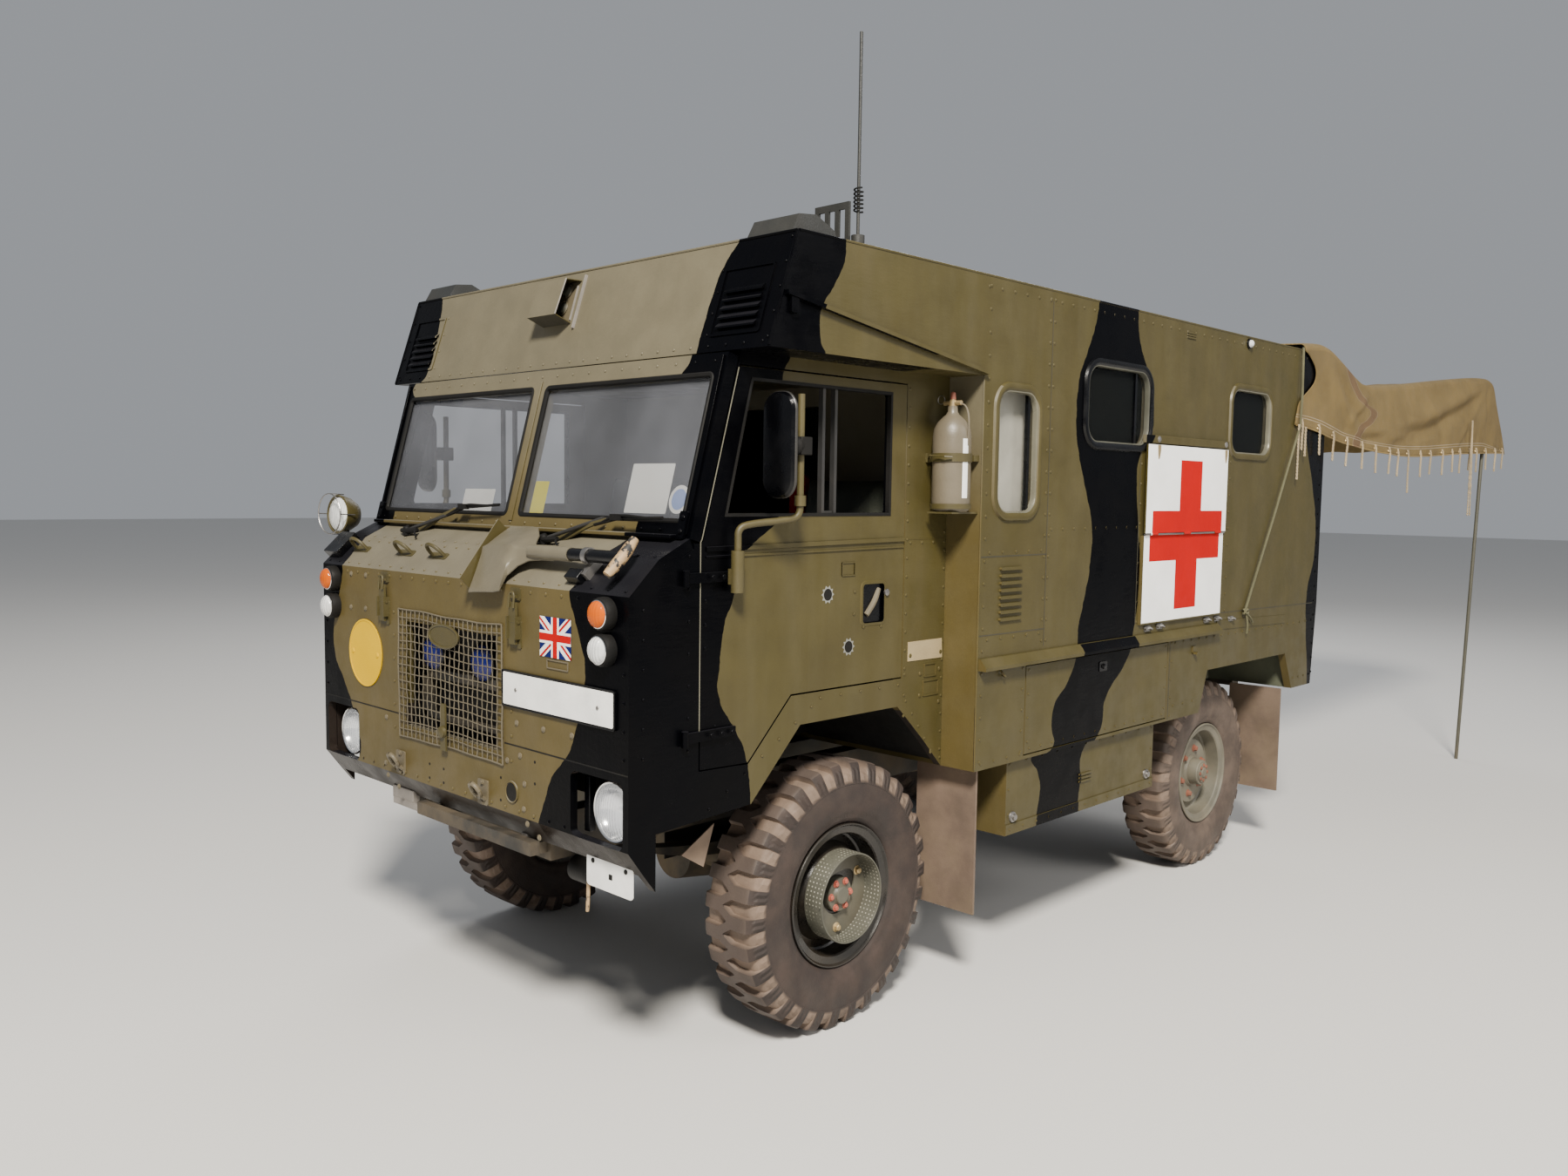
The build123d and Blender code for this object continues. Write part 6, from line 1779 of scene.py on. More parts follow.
        return self.half + np.clip(swell, -0.003, 0.042), flap_y, flap_z

    def side(self, line: Array, run: Array, hand: int) -> Array:
        """Flap and rounded edge of one side from the hem up; the right flap hangs less far down.

        Args:
            line: Y and Z of the top's edge, one row for each row of the sheet.
            run: how far along the top each row is.
            hand: 1 for the left, -1 for the right.
        Returns:
            Its points, the edge a quarter circle in five steps.
        """
        flap_x, flap_y, flap_z = self.flap(line, run)
        turn = np.linspace(0, np.pi / 2, 7)[None, 1:-1]
        bend_x = self.half - self.corner * (1 - np.cos(turn)) + 0 * run[:, None]
        bend_z = line[:, 1:] - self.drop * (1 - np.sin(turn))
        share = 1.0 if hand > 0 else self.right_share
        height = line[:, 1:] - self.drop + (flap_z - line[:, 1:] + self.drop) * share
        flap = np.stack([hand * flap_x, flap_y, height], -1)[:, ::-1]
        bend = np.stack([hand * bend_x, np.broadcast_to(line[:, :1], bend_z.shape), bend_z], -1)
        return np.concatenate([flap, bend], 1)

    def over(self, line: Array, run: Array) -> Array:
        """The top from the left edge to the right one.

        Args:
            line: Y and Z of the top's edge, one row for each row of the sheet.
            run: how far along the top each row is.
        Returns:
            Its points. The height sags as 1 - u^2 between the poles, two waves flutter over it, and it is
            creased; over the roof it is held up on the roof's sheet.
        """
        u, y, s = np.linspace(-1, 1, self.top_columns)[None, ::-1], line[:, :1], run[:, None]
        open_span = np.clip((y - 3.55) / 0.5, 0, 1) * np.clip((6.36 - y) / 0.6, 0, 1)
        on_roof = np.clip((3.40 - y) / 0.2, 0, 1)
        sag = -0.030 * (1 - u ** 2) * open_span
        flutter = (0.006 * np.sin(s * 7.0 + 3.0 * u) * np.cos(u * 9.0 + s * 1.7)
                   + 0.004 * np.sin(u * 21.0 + s * 4.0)) * (1 - 0.6 * on_roof) * (1 - u ** 4)
        a, b = np.broadcast_arrays(s, u)
        top_z = self.creased(line[:, 1:] + sag + flutter - 0.006, a, b, self.top_creases)
        top_z = np.where(y < 3.40, np.maximum(top_z, 2.4685), top_z)
        top_x = np.broadcast_to(u * (self.half - self.corner), top_z.shape)
        return np.stack([top_x, np.broadcast_to(y, top_z.shape), top_z], -1)

    def sheet(self) -> tuple[Solid, Array, float]:
        """The canvas as one grid from hem to hem.

        Returns:
            The surface, its flat coordinates, and its area. Each row runs from one hem up the flap, round the
            edge, over the top and down again. Ahead of the flaps' start a row has only the top.
        """
        line, run = self.along(self.top, self.rows)
        left, right = self.side(line, run, 1), self.side(line, run, -1)
        grid = np.concatenate([left, self.over(line, run), right[:, ::-1]], 1)
        rows, cols = grid.shape[:2]
        index = np.arange(rows * cols).reshape(rows, cols)
        quads = np.stack([index[:-1, :-1], index[1:, :-1], index[1:, 1:], index[:-1, 1:]], -1)
        keep = np.ones(quads.shape[:2], bool)
        ahead = line[:-1, 0] < self.flap_start - 1e-3
        keep[:, : self.flap_columns + 3] &= ~ahead[:, None]
        keep[:, cols - self.flap_columns - 4:] &= ~ahead[:, None]
        quads = quads[keep]
        flat = grid.reshape(-1, 3)
        first, second = flat[quads[:, 2]] - flat[quads[:, 0]], flat[quads[:, 3]] - flat[quads[:, 1]]
        area = 0.5 * np.linalg.norm(np.cross(first, second), axis=1).sum()
        used, packed = np.unique(quads.ravel(), return_inverse=True)
        across = np.concatenate([[0], np.cumsum(np.linalg.norm(np.diff(grid[rows // 2], axis=0), axis=1))])
        uv = np.stack(np.broadcast_arrays(across[None], run[:, None]), -1).reshape(-1, 2)[used]
        started = int(np.argmax(~ahead))
        self.hem_line = {1: grid[started:, 0], -1: grid[started:, -1]}
        return Solid(flat[used], packed, np.full(len(quads), 4)), uv, float(area)

    def holes(self, hand: int) -> Array:
        """Where one hem's lace holes are."""
        hem = self.hem_line[hand][4:-6]
        return hem[np.linspace(0, len(hem) - 1, self.lace_count).astype(int)]

    def laces(self) -> list[Solid]:
        """Short rope ends that hang from the hem's holes, and the longer ropes at the pole and the body.

        Returns:
            Two strands for each rope.
        """
        made = []
        for hand in (1, -1):
            for k, spot in enumerate(self.holes(hand)):
                length = (0.150 if hand > 0 else 0.060) + 0.012 * math.sin(3.1 * k)
                length += 0.10 if k == 8 else 0.0
                swing, out = 0.012 * math.sin(1.7 * k), hand * 0.004
                top = spot + (hand * 0.006, 0.0, 0.034)
                path = [top, top + (hand * 0.006, 0.004, -0.030), top + (out, swing * 0.6, -length * 0.6),
                        top + (out, swing, -length)]
                made.extend(self.strands(eased(path, 2), 0.0036, hand))
        for hand, out, y, shift, z0, z1 in self.ropes:
            x = hand * (self.half + out)
            path = [(x, y, z0), (x, y + shift * 0.5, z0 * 0.6 + z1 * 0.4), (x, y + shift, z1)]
            made.extend(self.strands(eased(path, 2), 0.0034, hand))
        return made

    @staticmethod
    def strands(path: Array, radius: float, hand: int) -> list[Solid]:
        """Two strands wound round a line, half a turn apart."""
        share = np.linspace(0, len(path) - 1, 40)
        line = np.stack([np.interp(share, np.arange(len(path)), path[:, k]) for k in range(3)], -1)
        run = np.concatenate([[0], np.cumsum(np.linalg.norm(np.diff(line, axis=0), axis=1))])
        turn = run / 0.034 * 2 * np.pi
        wind = np.stack([np.cos(turn) * hand, np.sin(turn), 0 * turn], -1) * radius * 0.75
        return [tube(line + wind, radius, 6), tube(line - wind, radius, 6)]

    def build(self, shop: Workshop) -> None:
        """Args:
            shop: where the pieces are made.
        """
        solid, uv, area = self.sheet()
        canvas = shop.make("canopy_sheet", solid, Look.CANVAS, closed=False, angle=180.0, uv=("cloth", uv))
        thick = canvas.modifiers.new("cloth", "SOLIDIFY")
        thick.thickness, thick.offset = self.thickness, 0.0
        seams = [tube(self.hem_line[hand][1:-2:3] + (hand * 0.001, 0.0, 0.0), 0.0045, 6) for hand in (1, -1)]
        hems = shop.make("canopy_hems", seams, Look.CANVAS)
        laces = shop.make("canopy_laces", self.laces(), Look.ROPE)
        ring = [(0.0, 0.004), (0.003, 0.005), (0.003, 0.008), (0.0, 0.009)]
        eyelets = [turned(ring, spot + (hand * 0.002, 0, 0.014), (hand, 0, 0), 12, ring=True)
                   for hand in (1, -1) for spot in self.holes(hand)]
        rings = shop.make("canopy_eyelets", eyelets, Look.BRASS)
        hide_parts("canopy")


@dataclass
class Studio:
    """Pale floor, soft light and the photograph's camera."""

    lens: float = 27.74
    position: tuple = (3.38249, -2.88686, 1.73943)
    yaw: float = -0.772136
    pitch: float = -0.0792194
    roll: float = 0.01406
    floor_half: float = 60.0
    floor_colour: tuple = (0.62, 0.61, 0.59)
    sky_colour: tuple = (0.86, 0.90, 0.96, 1.0)
    sky_strength: float = 0.38

    # Each lamp's name, place, target, size, power and tint
    lamps = [("key", (6.5, -9.0, 9.5), (0.0, -1.0, 1.0), 2.2, 3900.0, (1.0, 0.945, 0.85)),
             ("side", (9.5, 1.5, 6.0), (0.0, 0.0, 1.0), 6.0, 420.0, (1.0, 0.97, 0.93)),
             ("back", (-6.0, 7.0, 8.0), (0.0, 0.0, 1.5), 6.0, 500.0, (0.95, 0.97, 1.0))]

    def camera(self, shop: Workshop) -> None:
        """Sets the camera where the photograph was taken.

        Args:
            shop: where the pieces are made.
        """
        data = bpy.data.cameras.new("photo_view")
        data.lens, data.sensor_width, data.clip_end = self.lens, 36.0, 200.0
        made = bpy.data.objects.new("photo_view", data)
        sy, cy, sp, cp = math.sin(self.yaw), math.cos(self.yaw), math.sin(self.pitch), math.cos(self.pitch)
        ahead = Vector((sy * cp, cy * cp, sp))
        right = Vector((cy, -sy, 0.0))
        up = right.cross(ahead)
        c, s = math.cos(self.roll), math.sin(self.roll)
        across, above = right * c + up * s, up * c - right * s
        turn = Matrix((across, above, -ahead)).transposed().to_4x4()
        made.matrix_world = Matrix.Translation(shop.place(self.position)) @ turn
        bpy.context.scene.collection.objects.link(made)
        bpy.context.scene.camera = made

    def light(self, name: str, position: Sequence, target: Sequence, size: float, power: float,
              tint: Rgb) -> None:
        """An area lamp that looks at a point.

        Args:
            name: of the lamp.
            position, target: where it is and where it looks, in the frame.
            size: across its disc.
            power: in watts.
            tint: its colour.
        """
        data = bpy.data.lights.new(name, "AREA")
        data.shape, data.size, data.energy, data.color = "DISK", size, power, tint
        made = bpy.data.objects.new(name, data)
        aim = (Vector(target) - Vector(position)).to_track_quat("-Z", "Y")
        made.matrix_world = Matrix.Translation(Vector(position)) @ aim.to_matrix().to_4x4()
        bpy.context.scene.collection.objects.link(made)

    def build(self, shop: Workshop) -> None:
        """Makes the floor, the lights, the sky and the camera.

        Args:
            shop: where the pieces are made.
        """
        half = self.floor_half
        mesh = bpy.data.meshes.new("studio_floor")
        mesh.from_pydata([(-half, -half, 0.0), (half, -half, 0.0), (half, half, 0.0), (-half, half, 0.0)], [],
                         [(0, 1, 2, 3)])
        floor = bpy.data.objects.new("studio_floor", mesh)
        bpy.context.scene.collection.objects.link(floor)
        g = Graph("studio_floor")
        g.set(Base_Color=self.floor_colour, Roughness=0.9)
        mesh.materials.append(g.material)
        for lamp in self.lamps:
            self.light(*lamp)
        world = bpy.data.worlds.new("sky")
        world.use_nodes = True
        inputs = world.node_tree.nodes["Background"].inputs
        inputs[0].default_value, inputs[1].default_value = self.sky_colour, self.sky_strength
        bpy.context.scene.world = world
        self.camera(shop)


@dataclass
class Shovel:
    """The spade strapped across the cowl: arched blade, socket, shaft, worn grip and the edge's channel."""

    slope: Face = Face((0.0, -0.840, 1.524), LEFT, (0.0, 1.0, 1.0))
    shaft_lift: float = 0.046

    # From socket to edge: place along the shaft, half width, drop of the sides and height of the crown
    stations = np.array([
        (0.500, 0.016, 0.014, 0.046), (0.440, 0.018, 0.014, 0.047), (0.385, 0.026, 0.018, 0.052),
        (0.345, 0.045, 0.026, 0.056), (0.318, 0.082, 0.036, 0.060), (0.300, 0.118, 0.044, 0.062),
        (0.268, 0.124, 0.044, 0.060), (0.220, 0.126, 0.042, 0.056), (0.170, 0.127, 0.040, 0.050),
        (0.128, 0.128, 0.038, 0.044)])
    grip = [(0.812, -0.066), (0.816, -0.03), (0.818, 0.0), (0.816, 0.03), (0.812, 0.066)]
    corner = [(-0.010, -0.016), (0.006, -0.016), (0.006, -0.012), (-0.006, -0.012), (-0.006, 0.034),
              (-0.010, 0.034)]

    def blade(self) -> Solid:
        """The blade as a closed sheet: rows from socket to edge, an arch that widens at the shoulders."""
        u = np.linspace(-1, 1, 25)[None]
        x, half, drop, crown = (self.stations[:, k:k + 1] for k in range(4))
        wing = np.where(half > 0.1, 1.0, 0.0)
        lean = x - 0.25 * half * u * wing
        point = half * u - 0.040 * wing * np.clip(-u - 0.45, 0, 1) ** 1.5
        height = crown - drop * np.abs(u) ** 1.25 + 0.006 * np.exp(-(u / 0.10) ** 2) * wing
        flat = np.stack(np.broadcast_arrays(lean, point), -1)
        upper, lower = self.slope.at(flat, height), self.slope.at(flat, height - 0.0035)
        return skin(np.concatenate([upper, lower[:, ::-1]], 1))

    def bar(self, x0: float, x1: float, radius: Sequence) -> Solid:
        """A round bar along the shaft's line, with a radius for each of its points."""
        flat = np.stack([np.linspace(x0, x1, len(radius)), np.zeros(len(radius))], -1)
        return tube(self.slope.at(flat, self.shaft_lift), np.asarray(radius), 16)

    def channel(self) -> Solid:
        """The channel that the blade's edge stands in: one section carried along three points."""
        line = self.slope.at([(0.160, -0.132), (0.128, -0.010), (0.096, 0.116)], 0.018)
        lines = [line + (dx, 0.0, 0.0) + self.slope.lifted(up).origin - self.slope.origin
                 for dx, up in self.corner]
        return skin(np.stack(lines, 1))

    def build(self, shop: Workshop) -> None:
        """Makes the spade and what holds it.

        Args:
            shop: where the pieces are made.
        """
        socket = self.bar(0.385, 0.585, [0.0195, 0.0215, 0.0205])
        blade = shop.make("spade_blade", [self.blade(), socket], Look.SPADE)
        shop.make("spade_shaft", self.bar(0.580, 0.812, [0.0180, 0.0185, 0.0185, 0.0180]), Look.GLOSS_BLACK)
        line = self.slope.at(self.grip, self.shaft_lift + 0.004)
        radius = np.array([0.013, 0.017, 0.017, 0.017, 0.013])
        shop.make("spade_grip", tube(line, radius, 12), Look.WORN_WOOD)
        shop.make("spade_channel", self.channel(), Look.CAMO)
        ring = turned([(-0.009, 0.0195), (-0.009, 0.0235), (0.009, 0.0235), (0.009, 0.0195)],
                      self.slope.at([(0.664, 0.0)], self.shaft_lift)[0], LEFT, 24, ring=True)
        foot = slab(oblong(0.022, 0.070, 0.004, (0.664, -0.016)), self.slope, 0.0, 0.026)
        clamp_box = slab(oblong(0.062, 0.034, 0.003, (0.628, -0.052)), self.slope, 0.0, 0.030)
        shop.make("spade_clamp", [ring, foot], Look.STEEL)
        shop.make("spade_clamp_box", clamp_box, Look.GLOSS_BLACK, bevel=0.002)
        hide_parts("shovel")


@dataclass
class SearchLamp:
    """The small search lamp and its bracket on the far corner of the cowl."""

    centre: tuple = (-0.945, -0.815, 1.634)
    aim: tuple = (0.10, -1.0, 0.05)
    guard_radius: float = 0.074

    def build(self, shop: Workshop) -> None:
        """Makes the lamp, its wire guard and the bracket.

        Args:
            shop: where the pieces are made.
        """
        bowl = [(-0.075, 0.0), (-0.074, 0.016), (-0.058, 0.045), (-0.030, 0.062), (0.0, 0.070),
                (0.012, 0.072), (0.014, 0.067), (0.0, 0.064), (-0.030, 0.052), (-0.050, 0.0)]
        glass = [(0.004, 0.0), (0.004, 0.066), (0.012, 0.058), (0.020, 0.034), (0.023, 0.0)]
        shop.make("search_lamp_bowl", turned(bowl, self.centre, self.aim, 40), Look.OLIVE)
        shop.make("search_lamp_glass", turned(glass, self.centre, self.aim, 40), Look.CLEAR_LENS)
        turn, ahead = np.linspace(0, 2 * np.pi, 41)[:, None], unit(self.aim)
        across = unit(np.cross(self.aim, UP))
        ring = self.guard_radius * (np.cos(turn) * across + np.sin(turn) * np.array(UP))
        hoop = np.asarray(self.centre) + ahead * 0.045 + ring
        stays = [tube(np.stack([hoop[k], hoop[k] - ahead * 0.060]), 0.0022, 6) for k in (0, 10, 20, 30)]
        shop.make("search_lamp_guard", [tube(hoop, 0.0024, 6)] + stays, Look.STEEL)
        foot = [(self.centre[0] + 0.02, -0.800, 1.575), (-0.925, -0.800, 1.555), (-0.890, -0.805, 1.535),
                (-0.872, -0.812, 1.528)]
        slope = Face((0.0, -0.846, 1.516), LEFT, (0.0, 0.101, 0.097))
        block = slab(oblong(0.105, 0.100, 0.006, (-0.850, 0.000)), slope, 0.0, 0.030)
        shop.make("search_lamp_bracket", [tube(eased(foot), 0.009, 10), block], Look.GLOSS_BLACK, bevel=0.002)


@dataclass
class Windscreen:
    """Rubber round the two panes, the papers behind them, and strips at the pillars."""

    foot: tuple = (-0.699, 1.608)
    head: tuple = (-0.560, 2.128)
    pane_x: float = 0.440
    half: float = 0.405
    hinges_x: tuple = (-0.858, 0.858)

    def __post_init__(self) -> None:
        """Works out the screen's plane, its length up the slope, and the panes' lower and upper edges."""
        up = (0.0, self.head[0] - self.foot[0], self.head[1] - self.foot[1])
        self.plane = Face((0.0, *self.foot), LEFT, up)
        self.rake = math.hypot(up[1], up[2])
        self.low, self.high = 0.048, self.rake - 0.060

    def rubbers(self, shop: Workshop) -> None:
        """The surround of each pane."""
        bead = [(0.004, -0.004), (0.005, 0.001), (0.001, 0.0035), (-0.007, 0.002), (-0.010, -0.006),
                (-0.004, -0.010)]
        height, middle = self.high - self.low, (self.low + self.high) / 2
        outlines = [oblong(2 * self.half, height, 0.018, (hand * self.pane_x, middle)) for hand in (-1, 1)]
        shop.make("pane_rubbers", [moulding(line, self.plane, bead) for line in outlines], Look.RUBBER)

    def papers(self, shop: Workshop) -> None:
        """Blank papers behind the glass, each a little over the one before it.

        Args:
            shop: where the pieces are made.
        """
        inner = self.plane.lifted(-0.034)
        for name, look, places in (
            ("paper_white", Look.PAPER, [(0.190, 0.150, 0.630, 0.150), (0.190, 0.085, -0.275, 0.098)]),
            ("paper_yellow", Look.YELLOW_PAPER, [(0.075, 0.115, 0.085, 0.112)]),
        ):
            sheets = [slab(oblong(w, h, 0.004, (x, z)), inner, 0.002 + 0.001 * k, 0.0026 + 0.001 * k)
                      for k, (w, h, x, z) in enumerate(places)]
            shop.make(name, sheets, look)
        spot = (0.775, 0.118)
        shop.make("paper_round", slab(circle(0.042, spot, 32), inner, 0.0045, 0.0050), Look.PAPER)
        shop.make("paper_round_inner", slab(circle(0.031, spot, 32), inner, 0.0050, 0.0053), Look.BLUE_PAPER)

    def frame(self, shop: Workshop) -> None:
        """Strips, rivets and hinge brackets on the screen's frame.

        Args:
            shop: where the pieces are made.
        """
        trims = [strip([(hand * 0.872, 0.01), (hand * 0.872, self.rake - 0.01)], 0.010,
                       self.plane, 0.0, 0.006)
                 for hand in (-1, 1)]
        trims += [strip([(0.0, self.low - 0.02), (0.0, self.high + 0.02)], 0.018, self.plane, 0.0, 0.004)]
        shop.make("screen_strips", trims, Look.CAMO, bevel=0.001)
        rows = [((-0.84, z), (0.84, z)) for z in (self.rake - 0.024, 0.022)]
        shop.make("screen_rivets", rivets(self.plane, rows, 0.085, 0.0045), Look.CAMO)
        hinges = [slab(oblong(0.030, 0.080, 0.004, (x, 0.035)), self.plane, 0.0, 0.014)
                  for x in self.hinges_x]
        spots = [(x, height) for x in self.hinges_x for height in (0.015, 0.055)]
        hinges += [hexagon_bolts(self.plane.lifted(0.014), spots, 0.006, 0.005)]
        shop.make("screen_hinges", hinges, Look.CAMO)

    def build(self, shop: Workshop) -> None:
        """Makes the surrounds, the papers and what is on the frame."""
        self.rubbers(shop)
        self.papers(shop)
        self.frame(shop)


@dataclass
class CabDoor:
    """One cab door's seams, mouldings, handle, studs, window channels and mirror, and the side behind it."""

    hand: int
    wall: float = 0.890
    stars: tuple = ((-0.134, 1.426), (-0.033, 1.256))
    recess: tuple = (0.030, 0.140, 1.322, 1.453)
    mirror_head: tuple = (0.976, 1.872, 0.122, 0.298, 0.050)
    mirror_foot: tuple = (0.922, -0.548)
    mirror_pole: tuple = (0.978, -0.356)
    front_rows: tuple = (((-0.70, 1.02), (-0.70, 1.56)), ((-0.86, 1.02), (-0.86, 1.42)),
                         ((-0.62, 0.84), (-0.20, 1.085)), ((-0.16, 1.108), (0.22, 1.108)))
    side_rows: tuple = (((0.252, 1.160), (0.252, 2.080)), ((0.252, 1.00), (0.252, 1.14)),
                        ((0.262, 1.050), (0.405, 0.862)), ((0.405, 0.855), (0.458, 0.830)),
                        ((0.270, 1.578), (0.455, 1.578)), ((0.456, 0.86), (0.456, 2.05)))
    stud_rows: tuple = (((-0.007, 1.429), (-0.009, 1.358)), ((0.038, 1.313), (0.125, 1.310)),
                        ((-0.64, 1.30), (-0.64, 1.50)), ((-0.60, 1.045), (-0.60, 1.075)))
    side_bolts: tuple = ((0.337, 1.134), (0.444, 1.142), (0.444, 1.028), (0.337, 1.060), (0.280, 1.20),
                         (0.446, 1.20))

    @staticmethod
    def star(centre: Sequence, outer: float, inner: float, points: int = 10) -> Array:
        """A star's outline: its radius swings between two lengths."""
        turn = np.arange(points * 2) * np.pi / points
        radius = np.where(np.arange(points * 2) % 2 == 0, outer, inner)
        return np.stack([centre[0] + radius * np.cos(turn), centre[1] + radius * np.sin(turn)], -1)

    def put(self, shop: Workshop, name: str, solids: Union[Solid, Iterable[Solid]], look: Look,
            on_door: bool = True, **rest) -> bpy.types.Object:
        """Makes solids drawn for the left side, on this door's side and body.

        Args:
            shop: where the piece is made.
            name: of the piece, without its side.
            solids: its meshes.
            look: its finish.
            on_door: whether it moves with the door.
            rest: what else Workshop.make takes.
        Returns:
            The object.
        """
        side = SIDES[self.hand]
        body = f"cab_door_{side}" if on_door else "truck"
        return shop.make(f"{name}_{side}", Solid.joined(solids).on(self.hand), look, body, **rest)

    def mirror(self, shop: Workshop) -> None:
        """The mirror: bent arm in its socket, ball joint, and a tall round-cornered head with the glass.

        Args:
            shop: where the pieces are made.
        """
        x, z, w, h, r = self.mirror_head
        foot, pole = self.mirror_foot, self.mirror_pole
        bends = [(*foot, 1.462), (*foot, 1.600), (*foot, 1.632), (0.930, -0.524, 1.648),
                 (0.970, -0.380, 1.660), (*pole, 1.676), (*pole, 1.720), (*pole, 2.020)]
        collar = [(1.700, 0.0115), (1.700, 0.017), (1.730, 0.017), (1.730, 0.0115)]
        socket = capped((1.455, 0.019), (1.573, 0.019))
        arm = [tube(eased(bends, 2), 0.0105, 12), turned(socket, (*foot, 0.0), UP, 20),
               turned(collar, (*pole, 0.0), UP, 16, ring=True),
               box(0.902, 0.916, -0.566, -0.532, 1.478, 1.522)]
        self.put(shop, "mirror_arm", arm, Look.OLIVE)
        face = front_face(-0.430)
        rings = [face.at(oblong(w - 2 * d, h - 2 * d, r - d, (x, z)), lift)
                 for d, lift in ((0.004, 0.0), (0.0, 0.003), (0.0, 0.014), (0.006, 0.022), (0.022, 0.027))]
        head = self.put(shop, "mirror_head", skin(np.stack(rings)), Look.GLOSS_BLACK)
        bead = [(-0.001, 0.002), (0.002, 0.004), (0.002, 0.010), (-0.001, 0.013)]
        self.put(shop, "mirror_rim", moulding(oblong(w, h, r, (x, z)), face, bead), Look.PLASTIC)
        glass = slab(oblong(w - 0.014, h - 0.014, r - 0.007, (-x, z)), rear_face(-0.430), 0.0, 0.0012)
        self.put(shop, "mirror_glass", glass, Look.MIRROR)
        ball = [(-0.030, 0.0), (-0.026, 0.017), (0.0, 0.027), (0.020, 0.022), (0.032, 0.010), (0.070, 0.010),
                (0.070, 0.0)]
        joint = [box(0.956, 1.004, -0.380, -0.334, z - 0.026, z + 0.026),
                 turned(ball, (0.984, -0.385, z), AHEAD, 24)]
        self.put(shop, "mirror_joint", joint, Look.RUBBER, bevel=0.003)
        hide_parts(f"mirror_{SIDES[self.hand]}")

    def window(self, shop: Workshop, face: Face) -> None:
        """The belt moulding, the window's seal and its channels.

        Args:
            shop: where the pieces are made.
            face: the wall that they are on.
        """
        belt = [strip([(-0.640, 1.578), (0.232, 1.590)], 0.014, face, 0.0, 0.006),
                strip([(-0.640, 1.556), (0.232, 1.566)], 0.007, face, 0.0, 0.004)]
        self.put(shop, "door_belt", belt, Look.CAMO, bevel=0.0012)
        window = [(-0.566, 1.672), (0.158, 1.672), (0.158, 2.060), (-0.468, 2.060)]
        seal = [(0.004, 0.0), (0.004, 0.0020), (0.000, 0.003), (-0.005, 0.002), (-0.006, -0.014),
                (0.002, -0.002)]
        self.put(shop, "door_window_seal", moulding(window, face, seal), Look.RUBBER)
        bars = [box(self.wall - 0.024, self.wall - 0.006, y - 0.006, y + 0.006, 1.672, 2.060)
                for y in (-0.157, -0.102)]
        bars += [box(self.wall - 0.020, self.wall - 0.010, -0.151, -0.108, 1.676, 1.684)]
        self.put(shop, "door_window_channels", bars, Look.PLASTIC)

    def handle(self, shop: Workshop, face: Face) -> None:
        """The handle in its recess, and the lock beside it.

        Args:
            shop: where the pieces are made.
            face: the wall that they are on.
        """
        y0, y1, z0, z1 = self.recess
        middle = ((y0 + y1) / 2, (z0 + z1) / 2)
        bead = [(-0.003, -0.002), (-0.003, 0.002), (0.006, 0.0015), (0.008, 0.0)]
        self.put(shop, "door_handle_rim", moulding(oblong(y1 - y0, z1 - z0, 0.014, middle), face, bead),
                 Look.CAMO)
        # A black plate at the back of the recess: black paint and painted shade
        well = slab(oblong(y1 - y0 - 0.002, z1 - z0 - 0.002, 0.012, middle), face, -0.0094, -0.0080)
        self.put(shop, "door_handle_shaded_well", well, Look.GLOSS_BLACK)
        lever = [(self.wall - 0.012, 0.120, 1.432), (self.wall - 0.005, 0.098, 1.395),
                 (self.wall - 0.008, 0.058, 1.350)]
        self.put(shop, "door_handle", tube(eased(lever), 0.0105, 10), Look.GREY_OLIVE)
        barrel = [(0.0, 0.0), (0.0, 0.012), (0.006, 0.011), (0.007, 0.0)]
        self.put(shop, "door_lock_barrel", turned(barrel, (self.wall, 0.148, 1.420), LEFT, 20), Look.STEEL)

    def markings(self, shop: Workshop, face: Face) -> None:
        """Studs, the two stars, the outlined plate and the hinge bolts.

        Args:
            shop: where the pieces are made.
            face: the wall that they are on.
        """
        self.put(shop, "door_studs", rivets(face, self.stud_rows, 0.07, 0.006), Look.CAMO)
        stars = [slab(self.star(spot, 0.029, 0.021), face, 0.0, 0.0008) for spot in self.stars]
        middles = [slab(circle(0.0185, spot, 24), face, 0.0008, 0.0014) for spot in self.stars]
        self.put(shop, "door_stars", stars, Look.SILVER_PAINT)
        self.put(shop, "door_star_middles", middles, Look.RUBBER)
        plate = moulding(oblong(0.064, 0.044, 0.003, (-0.040, 1.502)), face, raised(0.004, 0.003))
        self.put(shop, "door_outline_plate", plate, Look.CAMO)
        bolts = [hexagon_bolts(left_face(0.912), [(y, z) for y in (-0.630, -0.590, -0.550)], 0.005, 0.002)
                 for z in (1.500, 1.056)]
        self.put(shop, "door_hinge_bolts", bolts, Look.CAMO)

